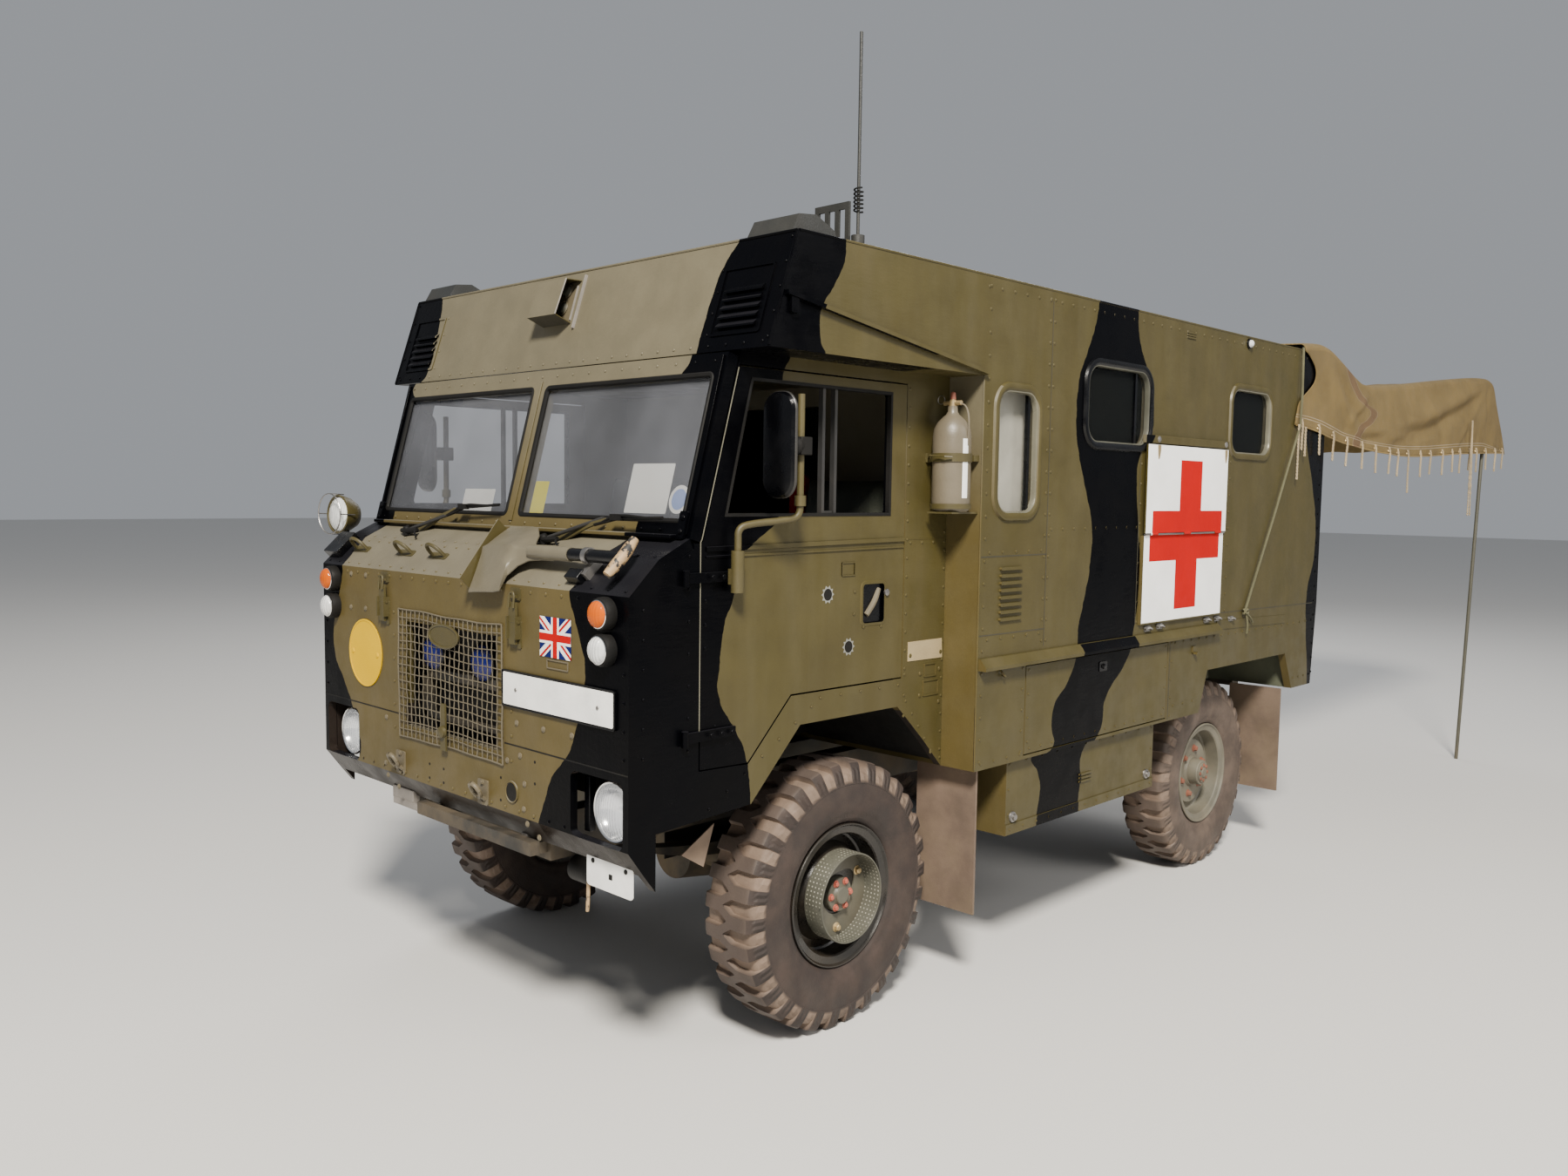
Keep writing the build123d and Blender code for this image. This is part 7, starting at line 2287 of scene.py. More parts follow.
    def cab_side(self, shop: Workshop, face: Face) -> None:
        """What is on the cab's wall before and behind the door.

        Args:
            shop: where the pieces are made.
            face: the wall that they are on.
        """
        # Pale line along the door's front edge: worn paint and a painted highlight
        pillar = [(-0.6600, 1.070), (-0.6600, 1.598), (-0.655, 1.606), (-0.5215, 2.088)]
        self.put(shop, "pillar_seam_highlight", strip(pillar, 0.0030, face, 0.0002, 0.0012), Look.PALE_TRIM,
                 on_door=False)
        plate = slab([(0.267, 1.182), (0.456, 1.180), (0.452, 1.247), (0.267, 1.247)], face, 0.0, 0.002)
        self.put(shop, "data_plate", plate, Look.CREAM, on_door=False)
        fittings = [moulding(oblong(w, h, 0.003, spot), face, raised(0.004, 0.0035))
                    for w, h, spot in ((0.066, 0.046, (0.390, 1.143)), (0.086, 0.054, (0.395, 1.082)))]
        fittings += [hexagon_bolts(face, self.side_bolts, 0.0055, 0.004), rivets(face, self.side_rows, 0.062),
                     strip([(0.240, 1.590), (0.464, 1.590)], 0.003, face, 0.0002, 0.001)]
        self.put(shop, "cab_side_fittings", fittings, Look.CAMO, on_door=False)
        self.put(shop, "cab_front_rivets", rivets(face, self.front_rows, 0.085, 0.0048), Look.CAMO,
                 on_door=False)

    def build(self, shop: Workshop) -> None:
        """Makes the pieces of the door and of the wall behind it."""
        face = left_face(self.wall)
        self.window(shop, face)
        self.handle(shop, face)
        self.markings(shop, face)
        self.mirror(shop)
        self.cab_side(shop, face)


@dataclass
class BodySides:
    """Window trims, seams, rivets, boards, catches and sill fittings of both walls, drawn for the left."""

    wall: float = 1.032
    sill_wall: float = 1.002
    windows: tuple = ((0.669, 1.887, 0.252, 0.430, 0.070), (1.358, 2.086, 0.480, 0.300, 0.078),
                      (2.556, 2.082, 0.420, 0.296, 0.070))
    catches: tuple = ((1.642, 1.207), (1.745, 1.210), (2.178, 1.207), (2.281, 1.207), (2.424, 1.197))

    # Sections of the window trims, and lines and rows on the wall as (behind the front axle, height)
    surround = [(-0.006, -0.004), (-0.007, 0.004), (-0.002, 0.0085), (0.008, 0.0110), (0.018, 0.0085),
                (0.022, 0.0)]
    lip = [(-0.0065, -0.016), (-0.0065, 0.0042), (-0.0105, 0.0042), (-0.0125, 0.0), (-0.0125, -0.016)]
    seam_lines = [((0.470, 1.531), (0.872, 1.531)), ((0.470, 1.264), (0.872, 1.262)),
                  ((0.872, 1.200), (0.872, 2.425)), ((2.300, 1.230), (3.380, 1.216)),
                  ((1.542, 1.232), (1.542, 1.960)), ((1.853, 0.806), (1.853, 1.140))]
    rivet_rows = [((0.492, 0.83), (0.492, 2.43)), ((0.886, 1.22), (0.886, 2.43)),
                  ((0.858, 1.22), (0.858, 2.43)), ((0.52, 1.545), (0.84, 1.545)),
                  ((0.52, 1.248), (0.84, 1.248)), ((0.480, 2.426), (3.40, 2.426)),
                  ((3.405, 0.86), (3.405, 2.40)), ((0.745, 0.83), (0.745, 1.13)),
                  ((0.50, 0.822), (0.74, 0.822)), ((1.87, 0.82), (1.87, 1.13)),
                  ((1.90, 1.128), (3.38, 1.128)), ((1.553, 1.24), (1.553, 1.95)),
                  ((0.90, 1.62), (1.53, 1.62)), ((2.36, 1.24), (2.36, 1.90)), ((1.90, 0.86), (2.08, 0.86)),
                  ((3.18, 0.85), (3.38, 0.85))]
    lid_rows = [((0.80, 0.835), (1.80, 0.835)), ((0.785, 0.86), (0.785, 1.12)),
                ((1.818, 0.86), (1.818, 1.12))]
    sill_rows = [((0.73, 0.785), (1.77, 0.785)), ((0.722, 0.60), (0.722, 0.78)),
                 ((1.776, 0.60), (1.776, 0.78))]

    def trims(self, shop: Workshop, face: Face) -> None:
        """Surrounds, lips and sliding bars of the windows; the middle window's are dark.

        Args:
            shop: where the pieces are made.
            face: the wall that they are on.
        """
        first, middle, last = (oblong(w, h, r, (y, z), 9) for y, z, w, h, r in self.windows)
        for name, section, look, dark in (("surround", self.surround, Look.CAMO, Look.GLOSS_BLACK),
                                          ("lip", self.lip, Look.PALE_TRIM, Look.HUB_GREY)):
            shop.both(f"window_{name}s", [moulding(line, face, section) for line in (first, last)], look)
            shop.both(f"window_{name}_black", moulding(middle, face, section), dark)
        sliders = [box(self.wall - 0.022, self.wall - 0.010, y - 0.008, y + 0.008, z - h / 2, z + h / 2)
                   for y, z, h in ((1.505, 2.086, 0.296), (0.752, 1.887, 0.40))]
        shop.both("window_sliders", sliders, Look.GLOSS_BLACK)

    def seams(self, shop: Workshop, face: Face) -> None:
        """Seams and rivets of the wall, and the rivets and the catch of its locker lid.

        Args:
            shop: where the pieces are made.
            face: the wall that they are on.
        """
        shop.both("body_seams", [strip(line, 0.0035, face, 0.0002, 0.0010) for line in self.seam_lines],
                  Look.SEAM)
        shop.both("body_rivets", rivets(face, self.rivet_rows, 0.075, 0.0062), Look.CAMO)
        heads, spot = rivets(face, self.lid_rows, 0.075, 0.005), (1.302, 1.085)
        knob = turned([(0.0, 0.0), (0.0, 0.011), (0.008, 0.009), (0.010, 0.0)],
                      (self.wall + 0.002, *spot), LEFT, 16)
        catch = Solid.joined([slab(oblong(0.058, 0.038, 0.006, spot), face, 0.0, 0.003), knob])
        for hand, side in SIDES.items():
            shop.make(f"locker_rivets_{side}", heads.on(hand), Look.CAMO, f"locker_lid_{side}")
            shop.make(f"locker_catch_{side}", catch.on(hand), Look.GLOSS_BLACK, f"locker_lid_{side}")

    def board(self, shop: Workshop, face: Face) -> None:
        """The fixed half of the red-cross board, its hinge and edges, the catches, and the ledge and leaves.

        Args:
            shop: where the pieces are made.
            face: the wall that they are on.
        """
        half = slab([(1.572, 1.232), (2.290, 1.232), (2.290, 1.586), (1.572, 1.586)], face, 0.0092, 0.0105)
        shop.both("fixed_cross_board", half, Look.BOARD)
        shop.both("board_hinge", tube([(1.048, 1.570, 1.591), (1.048, 2.286, 1.591)], 0.0045, 10), Look.STEEL)
        lines = ([(1.566, 1.229), (2.296, 1.229)], [(1.568, 1.232), (1.568, 1.586)],
                 [(2.294, 1.232), (2.294, 1.586)])
        shop.both("board_edges", [strip(line, 0.006, face, 0.0, 0.012) for line in lines], Look.CAMO)
        leaf = [(-0.013, 1.949), (0.013, 1.949), (0.013, 1.925), (0.004, 1.896), (-0.004, 1.892),
                (-0.010, 1.915)]
        outer = left_face(1.052)
        leaves = Solid.joined([slab(np.array(leaf) + (y, 0.0), outer, 0.0002, 0.0012)
                               for y in (1.655, 2.268)])
        for hand, side in SIDES.items():
            shop.make(f"board_leaves_{side}", leaves.on(hand), Look.BRASS, f"cross_board_{side}")
        shop.both("board_catches", self.catch_parts(face), Look.STEEL)
        ledge = slab([(1.552, 1.955), (2.302, 1.955), (2.302, 1.987), (1.552, 1.987)], face, 0.0, 0.018)
        shop.both("board_ledge", ledge, Look.CAMO, bevel=0.002)

    def catch_parts(self, face: Face) -> list[Solid]:
        """The catches under the board, each a plate with a bent strap and a knob, and the leaves' two bolts.

        Args:
            face: the wall.
        Returns:
            Plates and straps, then the bolts, then the knobs.
        """
        plates, knobs = [], []
        for y, z in self.catches:
            strap = [(self.wall + 0.004, y - 0.018, z), (self.wall + 0.020, y - 0.008, z + 0.006),
                     (self.wall + 0.020, y + 0.014, z - 0.002), (self.wall + 0.004, y + 0.022, z - 0.004)]
            plates += [slab(oblong(0.050, 0.022, 0.005, (y, z)), face, 0.0, 0.004),
                       tube(eased(strap, 2), 0.0045, 8)]
            knobs.append(turned([(0.0, 0.0), (0.0, 0.008), (0.010, 0.007), (0.012, 0.0)],
                                (self.wall + 0.003, y - 0.02, z + 0.002), LEFT, 14))
        bolts = hexagon_bolts(left_face(self.wall + 0.018), [(1.655, 1.972), (2.268, 1.972)], 0.009, 0.006)
        return plates + [bolts] + knobs

    def plates(self, shop: Workshop, face: Face) -> None:
        """Small plates, a hook and ribs on the wall, and the dome lamp.

        Args:
            shop: where the pieces are made.
            face: the wall that they are on.
        """
        hook = [(self.wall, 0.600, 1.140), (self.wall + 0.016, 0.600, 1.124),
                (self.wall + 0.016, 0.616, 1.112), (self.wall, 0.620, 1.118)]
        parts = [strip([(2.285, 1.176), (3.040, 1.156)], 0.040, face, 0.0, 0.003),
                 slab(oblong(0.034, 0.030, 0.004, (2.071, 1.086)), face, 0.0, 0.006),
                 box(self.wall, self.wall + 0.022, 2.062, 2.080, 1.066, 1.076),
                 tube(eased(hook, 2), 0.004, 8)]
        parts += [slab(oblong(0.078, 0.007, 0.003, (1.935, z)), face, 0.0, 0.004)
                  for z in (2.402, 2.412, 2.422)]
        shop.both("wall_plates", parts, Look.CAMO)
        spot, turn = (self.wall, 2.498, 2.432), np.linspace(0, np.pi / 2, 6)[1:]
        base = [(0.0, 0.0), (0.0, 0.024), (0.006, 0.023), (0.008, 0.018), (0.008, 0.0)]
        shop.both("dome_lamp_bases", turned(base, spot, LEFT, 24), Look.GLOSS_BLACK)
        glass = [(0.008, 0.0), (0.008, 0.017)]
        glass += [(0.010 + 0.013 * math.sin(t), 0.017 * math.cos(t)) for t in turn]
        shop.both("dome_lamps", turned(glass, spot, LEFT, 24), Look.CLEAR_LENS)

    def sill(self, shop: Workshop) -> None:
        """Flange, rivets, vents and knobs of the box under the wall.

        Args:
            shop: where the pieces are made.
        """
        face = left_face(self.sill_wall)
        parts = [strip([(0.705, 0.545), (1.792, 0.545)], 0.038, face, 0.0, 0.004),
                 rivets(left_face(1.006), [((0.73, 0.545), (1.77, 0.545))], 0.09, 0.005),
                 rivets(face, self.sill_rows, 0.10, 0.005)]
        parts += [slab(oblong(0.090, 0.008, 0.003, (1.245, z)), face, 0.0, 0.005)
                  for z in (0.640, 0.654, 0.668)]
        shop.both("sill_flanges", parts, Look.CAMO)
        knob = [(0.0, 0.0), (0.0, 0.020), (0.006, 0.019), (0.008, 0.012), (0.016, 0.011), (0.017, 0.0)]
        knobs = [turned(knob, (self.sill_wall, y, 0.588), LEFT, 20) for y in (0.748, 1.735)]
        shop.both("sill_knobs", knobs, Look.STEEL)

    def lashing(self, shop: Workshop) -> None:
        """The rope that ties the awning down, its knot wound twice round, and its two ends.

        Args:
            shop: where the pieces are made.
        """
        rope = [tube([(1.046, 3.085, 2.470), (1.052, 3.080, 2.250), (1.052, 3.072, 2.090)], 0.006, 8),
                tube([(1.052, 3.072, 2.095), (1.046, 2.825, 1.66), (1.040, 2.560, 1.222)], 0.006, 8)]
        turn = np.linspace(0, 4 * np.pi, 40)
        knot = [1.046 + 0.008 * np.cos(turn), 2.556 + 0.016 * np.sin(turn),
                1.222 + 0.010 * np.cos(turn * 1.5)]
        rope += [tube(np.stack(knot, -1), 0.005, 6)]
        rope += [tube(eased(end), 0.0045, 6) for end in (
            [(1.045, 2.560, 1.218), (1.050, 2.605, 1.190), (1.044, 2.640, 1.165)],
            [(1.045, 2.556, 1.218), (1.052, 2.570, 1.170), (1.044, 2.582, 1.120)])]
        shop.both("lashing", rope, Look.GREEN_ROPE)

    def build(self, shop: Workshop) -> None:
        """Makes the fittings of both walls."""
        face = left_face(self.wall)
        for step in (self.trims, self.seams, self.board, self.plates):
            step(shop, face)
        self.sill(shop)
        self.lashing(shop)


@dataclass
class Overhang:
    """The raked face over the windscreen: louvre frames, rivets, the body's edges, and the lamp hood."""

    rake: Face = Face((0.0, -0.544, 2.134), LEFT, (0.0, 0.107, 0.330))
    run: float = math.hypot(0.107, 0.330)
    corners: tuple = (-1.030, 1.030)

    # The hood's sheet as (behind the front axle, height): its outside, its inside, and the shadow under it
    outer = [(-0.4970, 2.2830), (-0.5590, 2.3070), (-0.5130, 2.4280), (-0.4480, 2.4280)]
    inner = [(-0.4490, 2.4255), (-0.5112, 2.4255), (-0.5555, 2.3088), (-0.4962, 2.2858)]
    under = [(-0.4972, 2.2826), (-0.5582, 2.3062), (-0.5582, 2.3056), (-0.4972, 2.2820)]

    def edges(self, shop: Workshop) -> None:
        """Rounds along the body's outer edges, and the ends of its gutters."""
        lines = [tube(self.rake.at([(x, 0.004), (x, self.run - 0.004)], -0.001), 0.0045, 8)
                 for x in self.corners]
        lines += [tube([(x, -0.430, 2.462), (x, 0.465, 2.462), (x, 3.435, 2.462)], 0.0045, 8)
                  for x in self.corners]
        lines += [tube([(x, 0.467, 0.806), (x, 0.467, 2.130)], 0.004, 8) for x in self.corners]
        lines += [tube([(-1.028, -0.4375, 2.461), (1.028, -0.4375, 2.461)], 0.0045, 8)]
        shop.make("body_edges", lines, Look.CAMO)
        gutter = slab(oblong(0.030, 0.060, 0.004, (-0.455, 2.262)), left_face(1.032), 0.0, 0.012)
        shop.both("gutter_ends", gutter, Look.CAMO)

    def hood(self, shop: Workshop) -> None:
        """The lamp hood: a bent sheet held off the wall, open to the left, over a panel with two small lamps.

        Args:
            shop: where the pieces are made.
        """
        side = left_face(0.0)
        sheets = [slab(self.outer + self.inner, side, -0.099, 0.056), slab(self.outer, side, -0.102, -0.0992)]
        hood = shop.make("lamp_hood", sheets, Look.CAMO)
        # A dark plate under the hood's floor: painted shadow
        shop.make("lamp_hood_painted_shadow", slab(self.under, side, -0.098, 0.055), Look.SEAM)
        # Pale beads along the hood's edge and the panel's folds: painted highlights where the edges catch the
        # light
        highlight_beads = [strip([(0.0500, 0.168), (0.0460, 0.290)], 0.004, self.rake, 0.0, 0.005),
                 strip([(0.0810, 0.137), (0.0790, 0.324)], 0.007, self.rake, 0.0, 0.008),
                 tube([(0.0570, -0.5588, 2.3072), (0.0570, -0.5130, 2.4275)], 0.0022, 6)]
        shop.make("lamp_hood_highlight_beads", highlight_beads, Look.PALE_BAR)
        panel = slab([(-0.096, 0.162), (0.048, 0.162), (0.046, 0.305), (-0.096, 0.305)],
                     self.rake, 0.0, 0.002)
        shop.make("lamp_panel", panel, Look.GREY_OLIVE)
        lens = [(0.0, 0.0), (0.0, 0.022), (0.006, 0.020), (0.012, 0.012), (0.013, 0.0)]
        rim = [(-0.004, 0.022), (0.004, 0.0255), (0.007, 0.024), (0.003, 0.0215)]
        spots, aim = [(-0.004, -0.546 + (z - 2.134) * 0.324, z) for z in (2.338, 2.397)], (0, -1, 0.3)
        shop.make("box_lamp_rims", [turned(rim, spot, aim, 24, ring=True) for spot in spots], Look.GREY_OLIVE)
        shop.make("box_lamps", [turned(lens, spot, aim, 24) for spot in spots], Look.HUB_GREY)
        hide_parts("lamp_box")

    def build(self, shop: Workshop) -> None:
        """Makes the frames, the rivets, the edges and the hood.

        Args:
            shop: where the pieces are made.
        """
        middle = self.run / 2
        outlines = [oblong(0.205, 0.210, 0.008, (hand * 0.876, middle - 0.022), 4) for hand in (-1, 1)]
        frames = [moulding(line, self.rake, raised(0.007, 0.004)) for line in outlines]
        shop.make("louvre_frames", frames, Look.CAMO)
        rows = [((-1.0, 0.018), (1.0, 0.018))]
        rows += [((x, middle - 0.12), (x, middle + 0.08)) for x in (-0.76, 0.76)]
        rows += [((x, 0.03), (x, self.run - 0.02)) for x in (-1.015, 1.015)]
        shop.make("overhang_rivets", rivets(self.rake, rows, 0.075, 0.0048), Look.CAMO)
        self.edges(shop)
        self.hood(shop)


@dataclass
class GasBottle:
    """The gas bottle in its holder behind the cab, with valve, pin, pipe, straps and a blank label."""

    x: float = 0.968
    y: float = 0.380
    radius: float = 0.064
    wall: float = 0.4655

    def upright(self, profile: Sequence, sides: int, z: float = 0.0, ring: bool = False) -> Solid:
        """A form turned about the bottle's axis."""
        return turned(profile, (self.x, self.y, z), UP, sides, ring)

    def top(self, shop: Workshop) -> None:
        """The valve with its cap and pin, and the bent pipe.

        Args:
            shop: where the pieces are made.
        """
        x, y = self.x, self.y
        valve = [(2.028, 0.0), (2.028, 0.013), (2.048, 0.013), (2.050, 0.009), (2.058, 0.009), (2.058, 0.0)]
        wheel = tube([(x - 0.034, y, 2.040), (x + 0.034, y, 2.040)], 0.008, 10)
        shop.make("bottle_valve", [self.upright(valve, 16), wheel], Look.BRASS)
        cap = [(2.052, 0.0), (2.052, 0.010), (2.074, 0.008), (2.078, 0.0)]
        shop.make("bottle_cap", self.upright(cap, 14), Look.OXIDE_NUT)
        turn = np.linspace(0, 2 * np.pi, 25)
        hoop = np.stack([x - 0.048 + 0.014 * np.cos(turn), y + 0 * turn, 2.052 + 0.014 * np.sin(turn)], -1)
        shop.make("bottle_pin", tube(hoop, 0.0018, 6), Look.STEEL)
        pipe = [(x + 0.030, y, 2.038), (x + 0.052, y + 0.004, 2.030), (x + 0.068, y, 1.985),
                (x + 0.063, y, 1.900)]
        shop.make("bottle_pipe", tube(eased(pipe), 0.003, 8), Look.BOTTLE)

    def straps(self, shop: Workshop) -> None:
        """Two bands round the bottle and what ties them to the wall.

        Args:
            shop: where the pieces are made.
        """
        x, y, inner, outer = self.x, self.y, self.radius + 0.0005, self.radius + 0.004
        bands = [self.upright([(-half, inner), (-half, outer), (half, outer), (half, inner)], 48,
                              z, ring=True)
                 for half, z in ((0.014, 1.860), (0.014 * 0.6, 1.700))]
        wire = [(x + 0.048, y - 0.062, 1.860), (x + 0.030, y - 0.078, 1.862), (x - 0.03, y - 0.078, 1.866),
                (x - 0.072, y - 0.03, 1.862)]
        stays = [box(x - 0.050, x - 0.020, y + 0.055, self.wall, 1.850, 1.870),
                 box(x + 0.020, x + 0.050, y + 0.055, self.wall, 1.850, 1.870),
                 box(x - 0.050, x + 0.050, y - 0.060, self.wall, 1.676, 1.682),
                 box(x - 0.082, x - 0.070, y - 0.040, y - 0.006, 1.845, 1.875), tube(wire, 0.003, 6)]
        shop.make("bottle_straps", bands + stays, Look.OLIVE)

    def arc(self, radius: float) -> Array:
        """The part of a circle round the bottle's axis that the label covers."""
        turn = np.linspace(-0.34, 0.02, 8)
        return np.stack([self.x + radius * np.cos(turn), self.y + radius * np.sin(turn)], -1)

    def build(self, shop: Workshop) -> None:
        """Makes the bottle and its fittings.

        Args:
            shop: where the pieces are made.
        """
        r = self.radius
        profile = [(1.682, 0.0), (1.682, r - 0.012), (1.688, r - 0.003), (1.700, r), (1.930, r),
                   (1.955, r - 0.004), (1.975, r - 0.014), (1.992, 0.034), (2.002, 0.022), (2.012, 0.017),
                   (2.030, 0.016), (2.030, 0.0)]
        bottle = shop.make("gas_bottle", self.upright(profile, 48), Look.BOTTLE)
        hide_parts("gas_cylinder")
        self.top(shop)
        self.straps(shop)
        label = np.concatenate([self.arc(r + 0.0006), self.arc(r - 0.001)[::-1]])
        shop.make("bottle_label", slab(label, top_face(0.0), 1.728, 1.922), Look.PAPER)


@dataclass
class Tail:
    """The rear doors' pane trims, ribs and locking bar, the blank rear plate, and the doors' rivets."""

    doors_y: float = 3.460
    frame_y: float = 3.4402

    def build(self, shop: Workshop) -> None:
        """Makes what is on each door, then what is on the frame.

        Args:
            shop: where the pieces are made.
        """
        back = rear_face(self.doors_y)
        bead = [(-0.006, -0.002), (-0.006, 0.004), (0.004, 0.008), (0.016, 0.005), (0.018, 0.0)]
        for hand, side in SIDES.items():
            body = f"rear_leaf_{side}"
            pane = oblong(0.330, 0.360, 0.050, (-hand * 0.282, 1.950), 8)
            shop.make(f"rear_pane_trim_{side}", moulding(pane, back, bead), Look.RUBBER, body)
            ribs = [strip([(-hand * 0.045, z), (-hand * 0.520, z)], 0.014, back, 0.0, 0.005)
                    for z in (1.230, 1.420, 1.620)]
            rows = [((-hand * x, 1.05), (-hand * x, 2.20)) for x in (0.03, 0.54)]
            shop.make(f"rear_ribs_{side}", ribs + [rivets(back, rows, 0.085)], Look.CAMO, body)
        lever = [(0.060, 3.476, 1.470), (0.060, 3.486, 1.470), (0.170, 3.486, 1.455)]
        bar = [tube([(0.060, 3.472, 1.080), (0.060, 3.472, 2.180)], 0.008, 10),
               box(0.040, 0.080, 3.460, 3.476, 1.440, 1.500), tube(eased(lever), 0.007, 10)]
        bar += [box(0.045, 0.075, 3.460, 3.474, z - 0.012, z + 0.012) for z in (1.14, 1.75, 2.13)]
        shop.make("rear_bar", bar, Look.STEEL, "rear_leaf_left")
        plate = slab(oblong(0.280, 0.200, 0.008, (-0.760, 1.330)), rear_face(3.4405), 0.0, 0.004)
        shop.make("rear_number_plate", plate, Look.WHITE)
        rows = [((-0.98, 2.38), (0.98, 2.38)), ((-0.98, 1.24), (-0.98, 2.34)), ((0.98, 1.24), (0.98, 2.34)),
                ((-0.62, 1.24), (-0.62, 2.28)), ((0.62, 1.24), (0.62, 2.28))]
        shop.make("tail_rivets", rivets(rear_face(self.frame_y), rows, 0.085), Look.CAMO)


@dataclass
class RoofKit:
    """Seams and rivets across the roof, and the spring at the aerial's foot."""

    seams_y: tuple = (0.468, 1.180, 1.900, 2.620)
    aerial: tuple = (1.000, -0.150, 2.560)

    def build(self, shop: Workshop) -> None:
        """Makes the seams and the spring, a helix of six turns."""
        seams = [strip([(-1.02, y), (1.02, y)], 0.045, top_face(2.464), 0.0, 0.003) for y in self.seams_y]
        rows = [((-1.0, y + d), (1.0, y + d)) for y in self.seams_y for d in (-0.014, 0.014)]
        shop.make("roof_seams", seams + [rivets(top_face(2.467), rows, 0.10)], Look.CAMO)
        x, y, z = self.aerial
        turn = np.linspace(0, 12 * np.pi, 150)
        coil = np.stack([x + 0.013 * np.cos(turn), y + 0.013 * np.sin(turn), z + 0.070 * turn / turn[-1]], -1)
        shop.make("aerial_spring", tube(coil, 0.0026, 6), Look.RUBBER)


@dataclass
class Cabin:
    """Padded seats, dashboard dials, the pale lining behind the front body windows, black sheets of painted
    shade behind the others, and the extinguisher.
    """

    seat_x: tuple = (-0.575, 0.575)
    width: float = 0.450
    shells: tuple = ((0.205, -0.170, 0.300, 1.118, 1.150), (0.19, 0.345, 0.365, 1.20, 1.70))
    dials: tuple = ((-0.640, 1.520, 0.045), (-0.520, 1.520, 0.045), (-0.420, 1.515, 0.026))

    def pad(self, width: float, length: float, height: float) -> tuple[Array, Array, Array]:
        """Half-height, and flat coordinates, of a cushion as a crowned closed form.

        Args:
            width, length, height: of the pad.
        Returns:
            Grids of x, y and half height: a superellipse outline, its sides drawn in between the corners, and
            a crown with two sewn channels that dip along the length.
        """
        u, v = np.meshgrid(np.linspace(-1, 1, 33), np.linspace(-1, 1, 33), indexing="ij")
        x = u * width / 2 * (1 - 0.025 * (1 - v ** 2))
        y = v * length / 2 * (1 - 0.025 * (1 - u ** 2))
        crown = (1 - u ** 8) ** 0.5 * (1 - v ** 8) ** 0.5 * (0.72 + 0.28 * (1 - u ** 2) * (1 - v ** 2))
        channels = np.exp(-((u - 0.36) / 0.03) ** 2) + np.exp(-((u + 0.36) / 0.03) ** 2)
        channels = 0.10 * channels * (1 - v ** 6)
        return x, y, height / 2 * np.clip(crown - channels, 0.0, 1.0)

    def cushion(self, origin: Sequence, tilt: float, length: float, height: float) -> Solid:
        """The pad, turned about X by a tilt and set at its middle."""
        x, y, half = self.pad(self.width, length, height)
        c, s = math.cos(tilt), math.sin(tilt)

        def put(z: Array) -> Array:
            """Points of one face of the pad."""
            return np.stack([origin[0] + x, origin[1] + y * c - z * s, origin[2] + y * s + z * c], -1)

        return Solid.joined([skin(put(half), ring_closed=False), skin(put(-half * 0.8), ring_closed=False)])

    def seats(self, shop: Workshop) -> None:
        """Cushions and backs on their shells.

        Args:
            shop: where the pieces are made.
        """
        squabs = [self.cushion((x, 0.030, 1.190), -0.055, 0.420, 0.125) for x in self.seat_x]
        backs = [self.cushion((x, 0.312, 1.520), math.radians(81.0), 0.540, 0.085) for x in self.seat_x]
        shells = [box(x - half, x + half, *rest) for x in self.seat_x for half, *rest in self.shells]
        seat = shop.make("seat_cushions", squabs, Look.VINYL, angle=60.0)
        back = shop.make("seat_backs", backs, Look.VINYL, angle=60.0)
        shop.make("seat_shells", shells, Look.CHASSIS, bevel=0.004)
        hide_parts("seats")

    def build(self, shop: Workshop) -> None:
        """Makes the seats, the dials, what is behind the windows, and the extinguisher.

        Args:
            shop: where the pieces are made.
        """
        self.seats(shop)
        dials = [turned(capped((0.0, r), (0.010, r), (0.012, r - 0.006), (0.009, r - 0.008)), (x, -0.585, z),
                        (0, 1, 0.35), 28) for x, z, r in self.dials]
        shop.make("dials", dials, Look.GLOSS_BLACK)
        lining = [box(x - 0.002, x + 0.002, 0.540, 0.840, 1.64, 2.14) for x in (0.974, -0.974)]
        shop.make("window_lining", lining, Look.PALE_INSIDE)
        # Black sheets as painted shade behind the middle and rear windows
        shade_sheets = [box(s * 0.984 - 0.002, s * 0.984 + 0.002, y0, y1, 1.90, 2.26)
                  for s in (-1, 1) for y0, y1 in ((1.08, 1.64), (2.31, 2.80))]
        shop.make("window_shade_sheets", shade_sheets, Look.SHADE_SHEET)
        bottle = [(1.655, 0.0), (1.655, 0.036), (1.662, 0.040), (1.780, 0.040), (1.800, 0.028),
                  (1.808, 0.014), (1.826, 0.014), (1.826, 0.0)]
        shop.make("extinguisher", turned(bottle, (0.263, 0.395, 0.0), UP, 28), Look.RED)
        grip = [box(0.255, 0.271, 0.345, 0.410, 1.826, 1.832), box(0.257, 0.269, 0.350, 0.405, 1.838, 1.844),
                box(0.225, 0.301, 0.432, 0.440, 1.70, 1.73)]
        shop.make("extinguisher_grip", grip, Look.RUBBER)


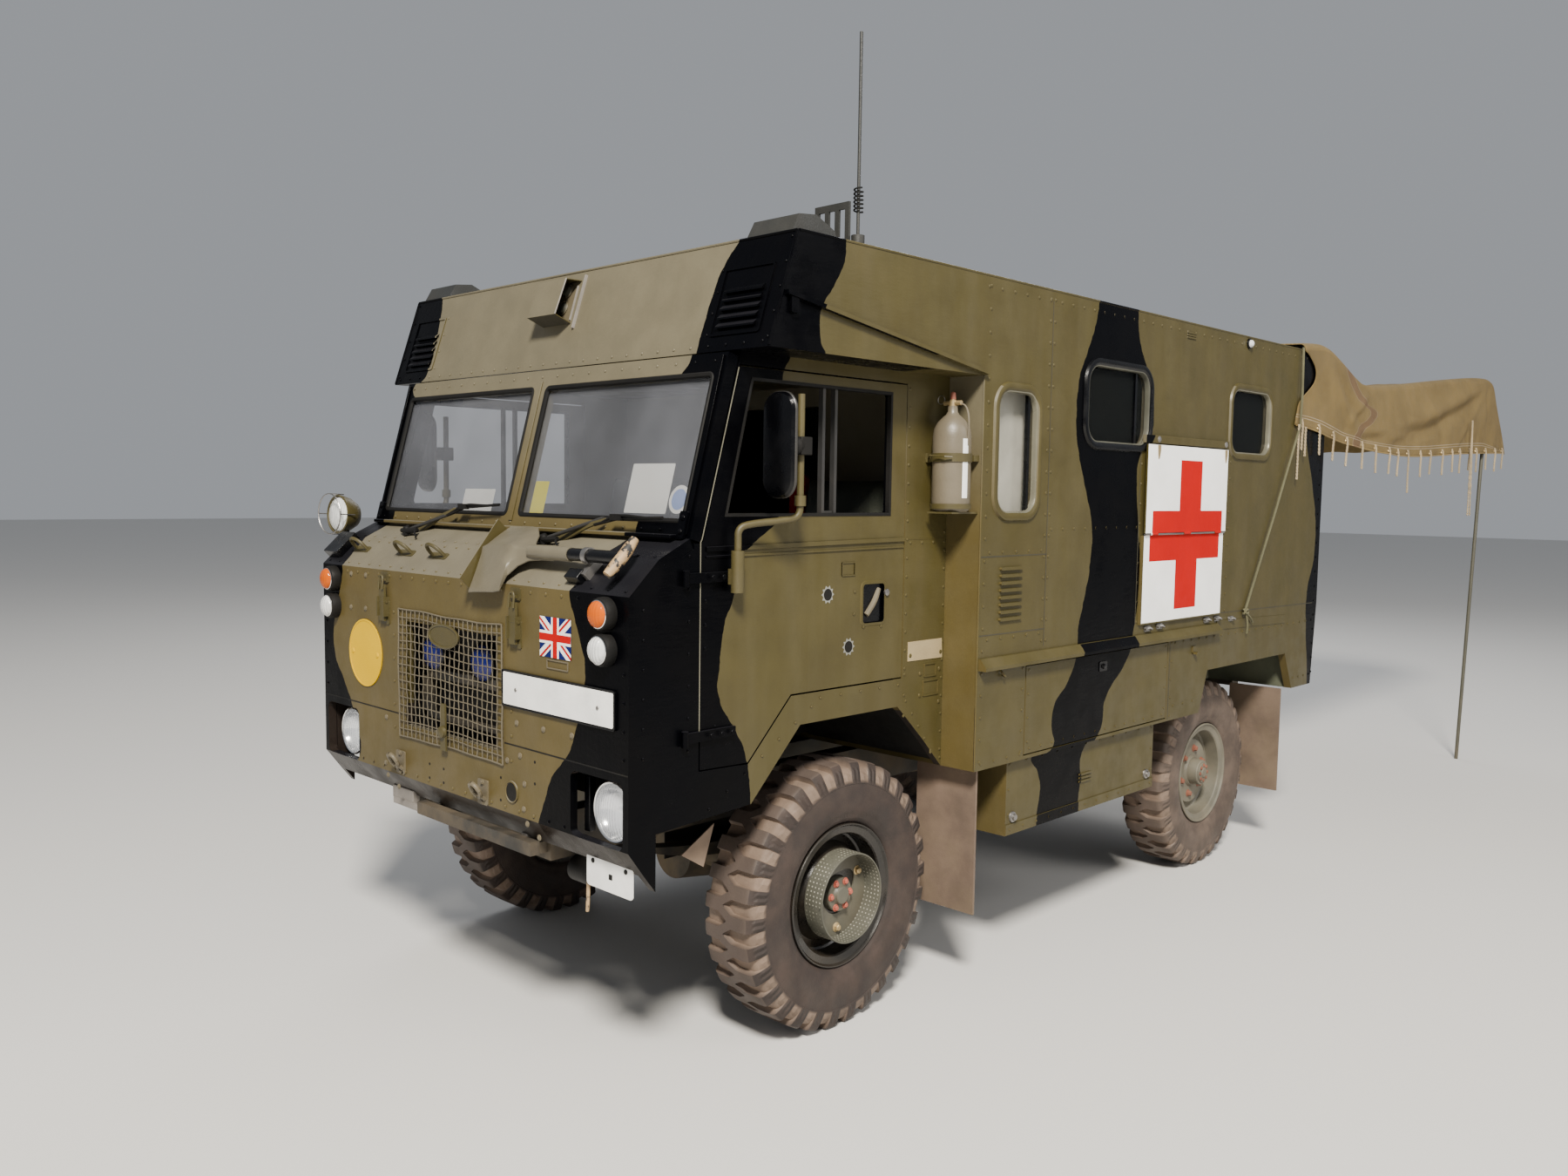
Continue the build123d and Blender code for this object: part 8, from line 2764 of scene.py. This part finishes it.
@dataclass
class Underside:
    """Brackets, pipes and pins that hang under the nose and the body."""

    flap_y: float = 0.5265
    flap_x: tuple = (0.77, 0.87, 0.97)

    def build(self, shop: Workshop) -> None:
        """Makes the low fittings.

        Args:
            shop: where the pieces are made.
        """
        rod = [(0.640, -0.846, 0.705), (0.636, -0.850, 0.620), (0.634, -0.852, 0.535)]
        shop.make("drain_rod", tube(rod, 0.0055, 8), Look.WORN_WOOD)
        pipe = [(0.0, 0.0), (0.0, 0.040), (0.095, 0.040), (0.105, 0.033), (0.105, 0.0)]
        shop.make("tow_tube", turned(pipe, (0.420, -0.730, 0.590), LEFT, 24), Look.RUBBER)
        post = box(0.640, 0.664, -0.868, -0.846, 0.776, 0.936)
        shop.make("lamp_recess_post", post, Look.GLOSS_BLACK, bevel=0.002)
        bracket = slab([(-0.644, 0.692), (-0.518, 0.763), (-0.559, 0.640)], left_face(0.800), -0.002, 0.002)
        for hand, side in SIDES.items():
            shop.make(f"arch_bracket_{side}", bracket.on(hand), Look.FLAP)
        shields = [box(s * 0.318 - 0.0015, s * 0.318 + 0.0015, -0.30, 0.32, 0.500, 0.700) for s in (-1, 1)]
        shop.make("gearbox_shields", shields, Look.RUBBER)
        spots = [(hand * x, 0.780) for hand in (-1, 1) for x in self.flap_x]
        shop.make("flap_bolts", hexagon_bolts(rear_face(self.flap_y), spots, 0.007, 0.005), Look.STEEL)


def main() -> None:
    """Builds the dressed truck round its frame."""
    logging.basicConfig(level=logging.INFO, format="%(name)s: %(message)s")
    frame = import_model()
    shop = Workshop(frame)
    assemblies = [
        Paintwork(), Nose(), Cowl(), Shovel(), SearchLamp(), Windscreen(), CabDoor(1), CabDoor(-1),
        BodySides(), Overhang(), GasBottle(), Tail(), RoofKit(), Cabin(), Underside(), Canopy(),
        RoadWheel("front_left", 0.0, 0.762, "front_wheel_left", 1, True),
        RoadWheel("front_right", 0.0, -0.762, "front_wheel_right", -1, True),
        RoadWheel("rear_left", 2.565, 0.7745, "rear_wheel_left", 1, False),
        RoadWheel("rear_right", 2.565, -0.7745, "rear_wheel_right", -1, False),
        Studio(),
    ]
    for assembly in assemblies:
        assembly.build(shop)


if __name__ == "__main__":
    main()
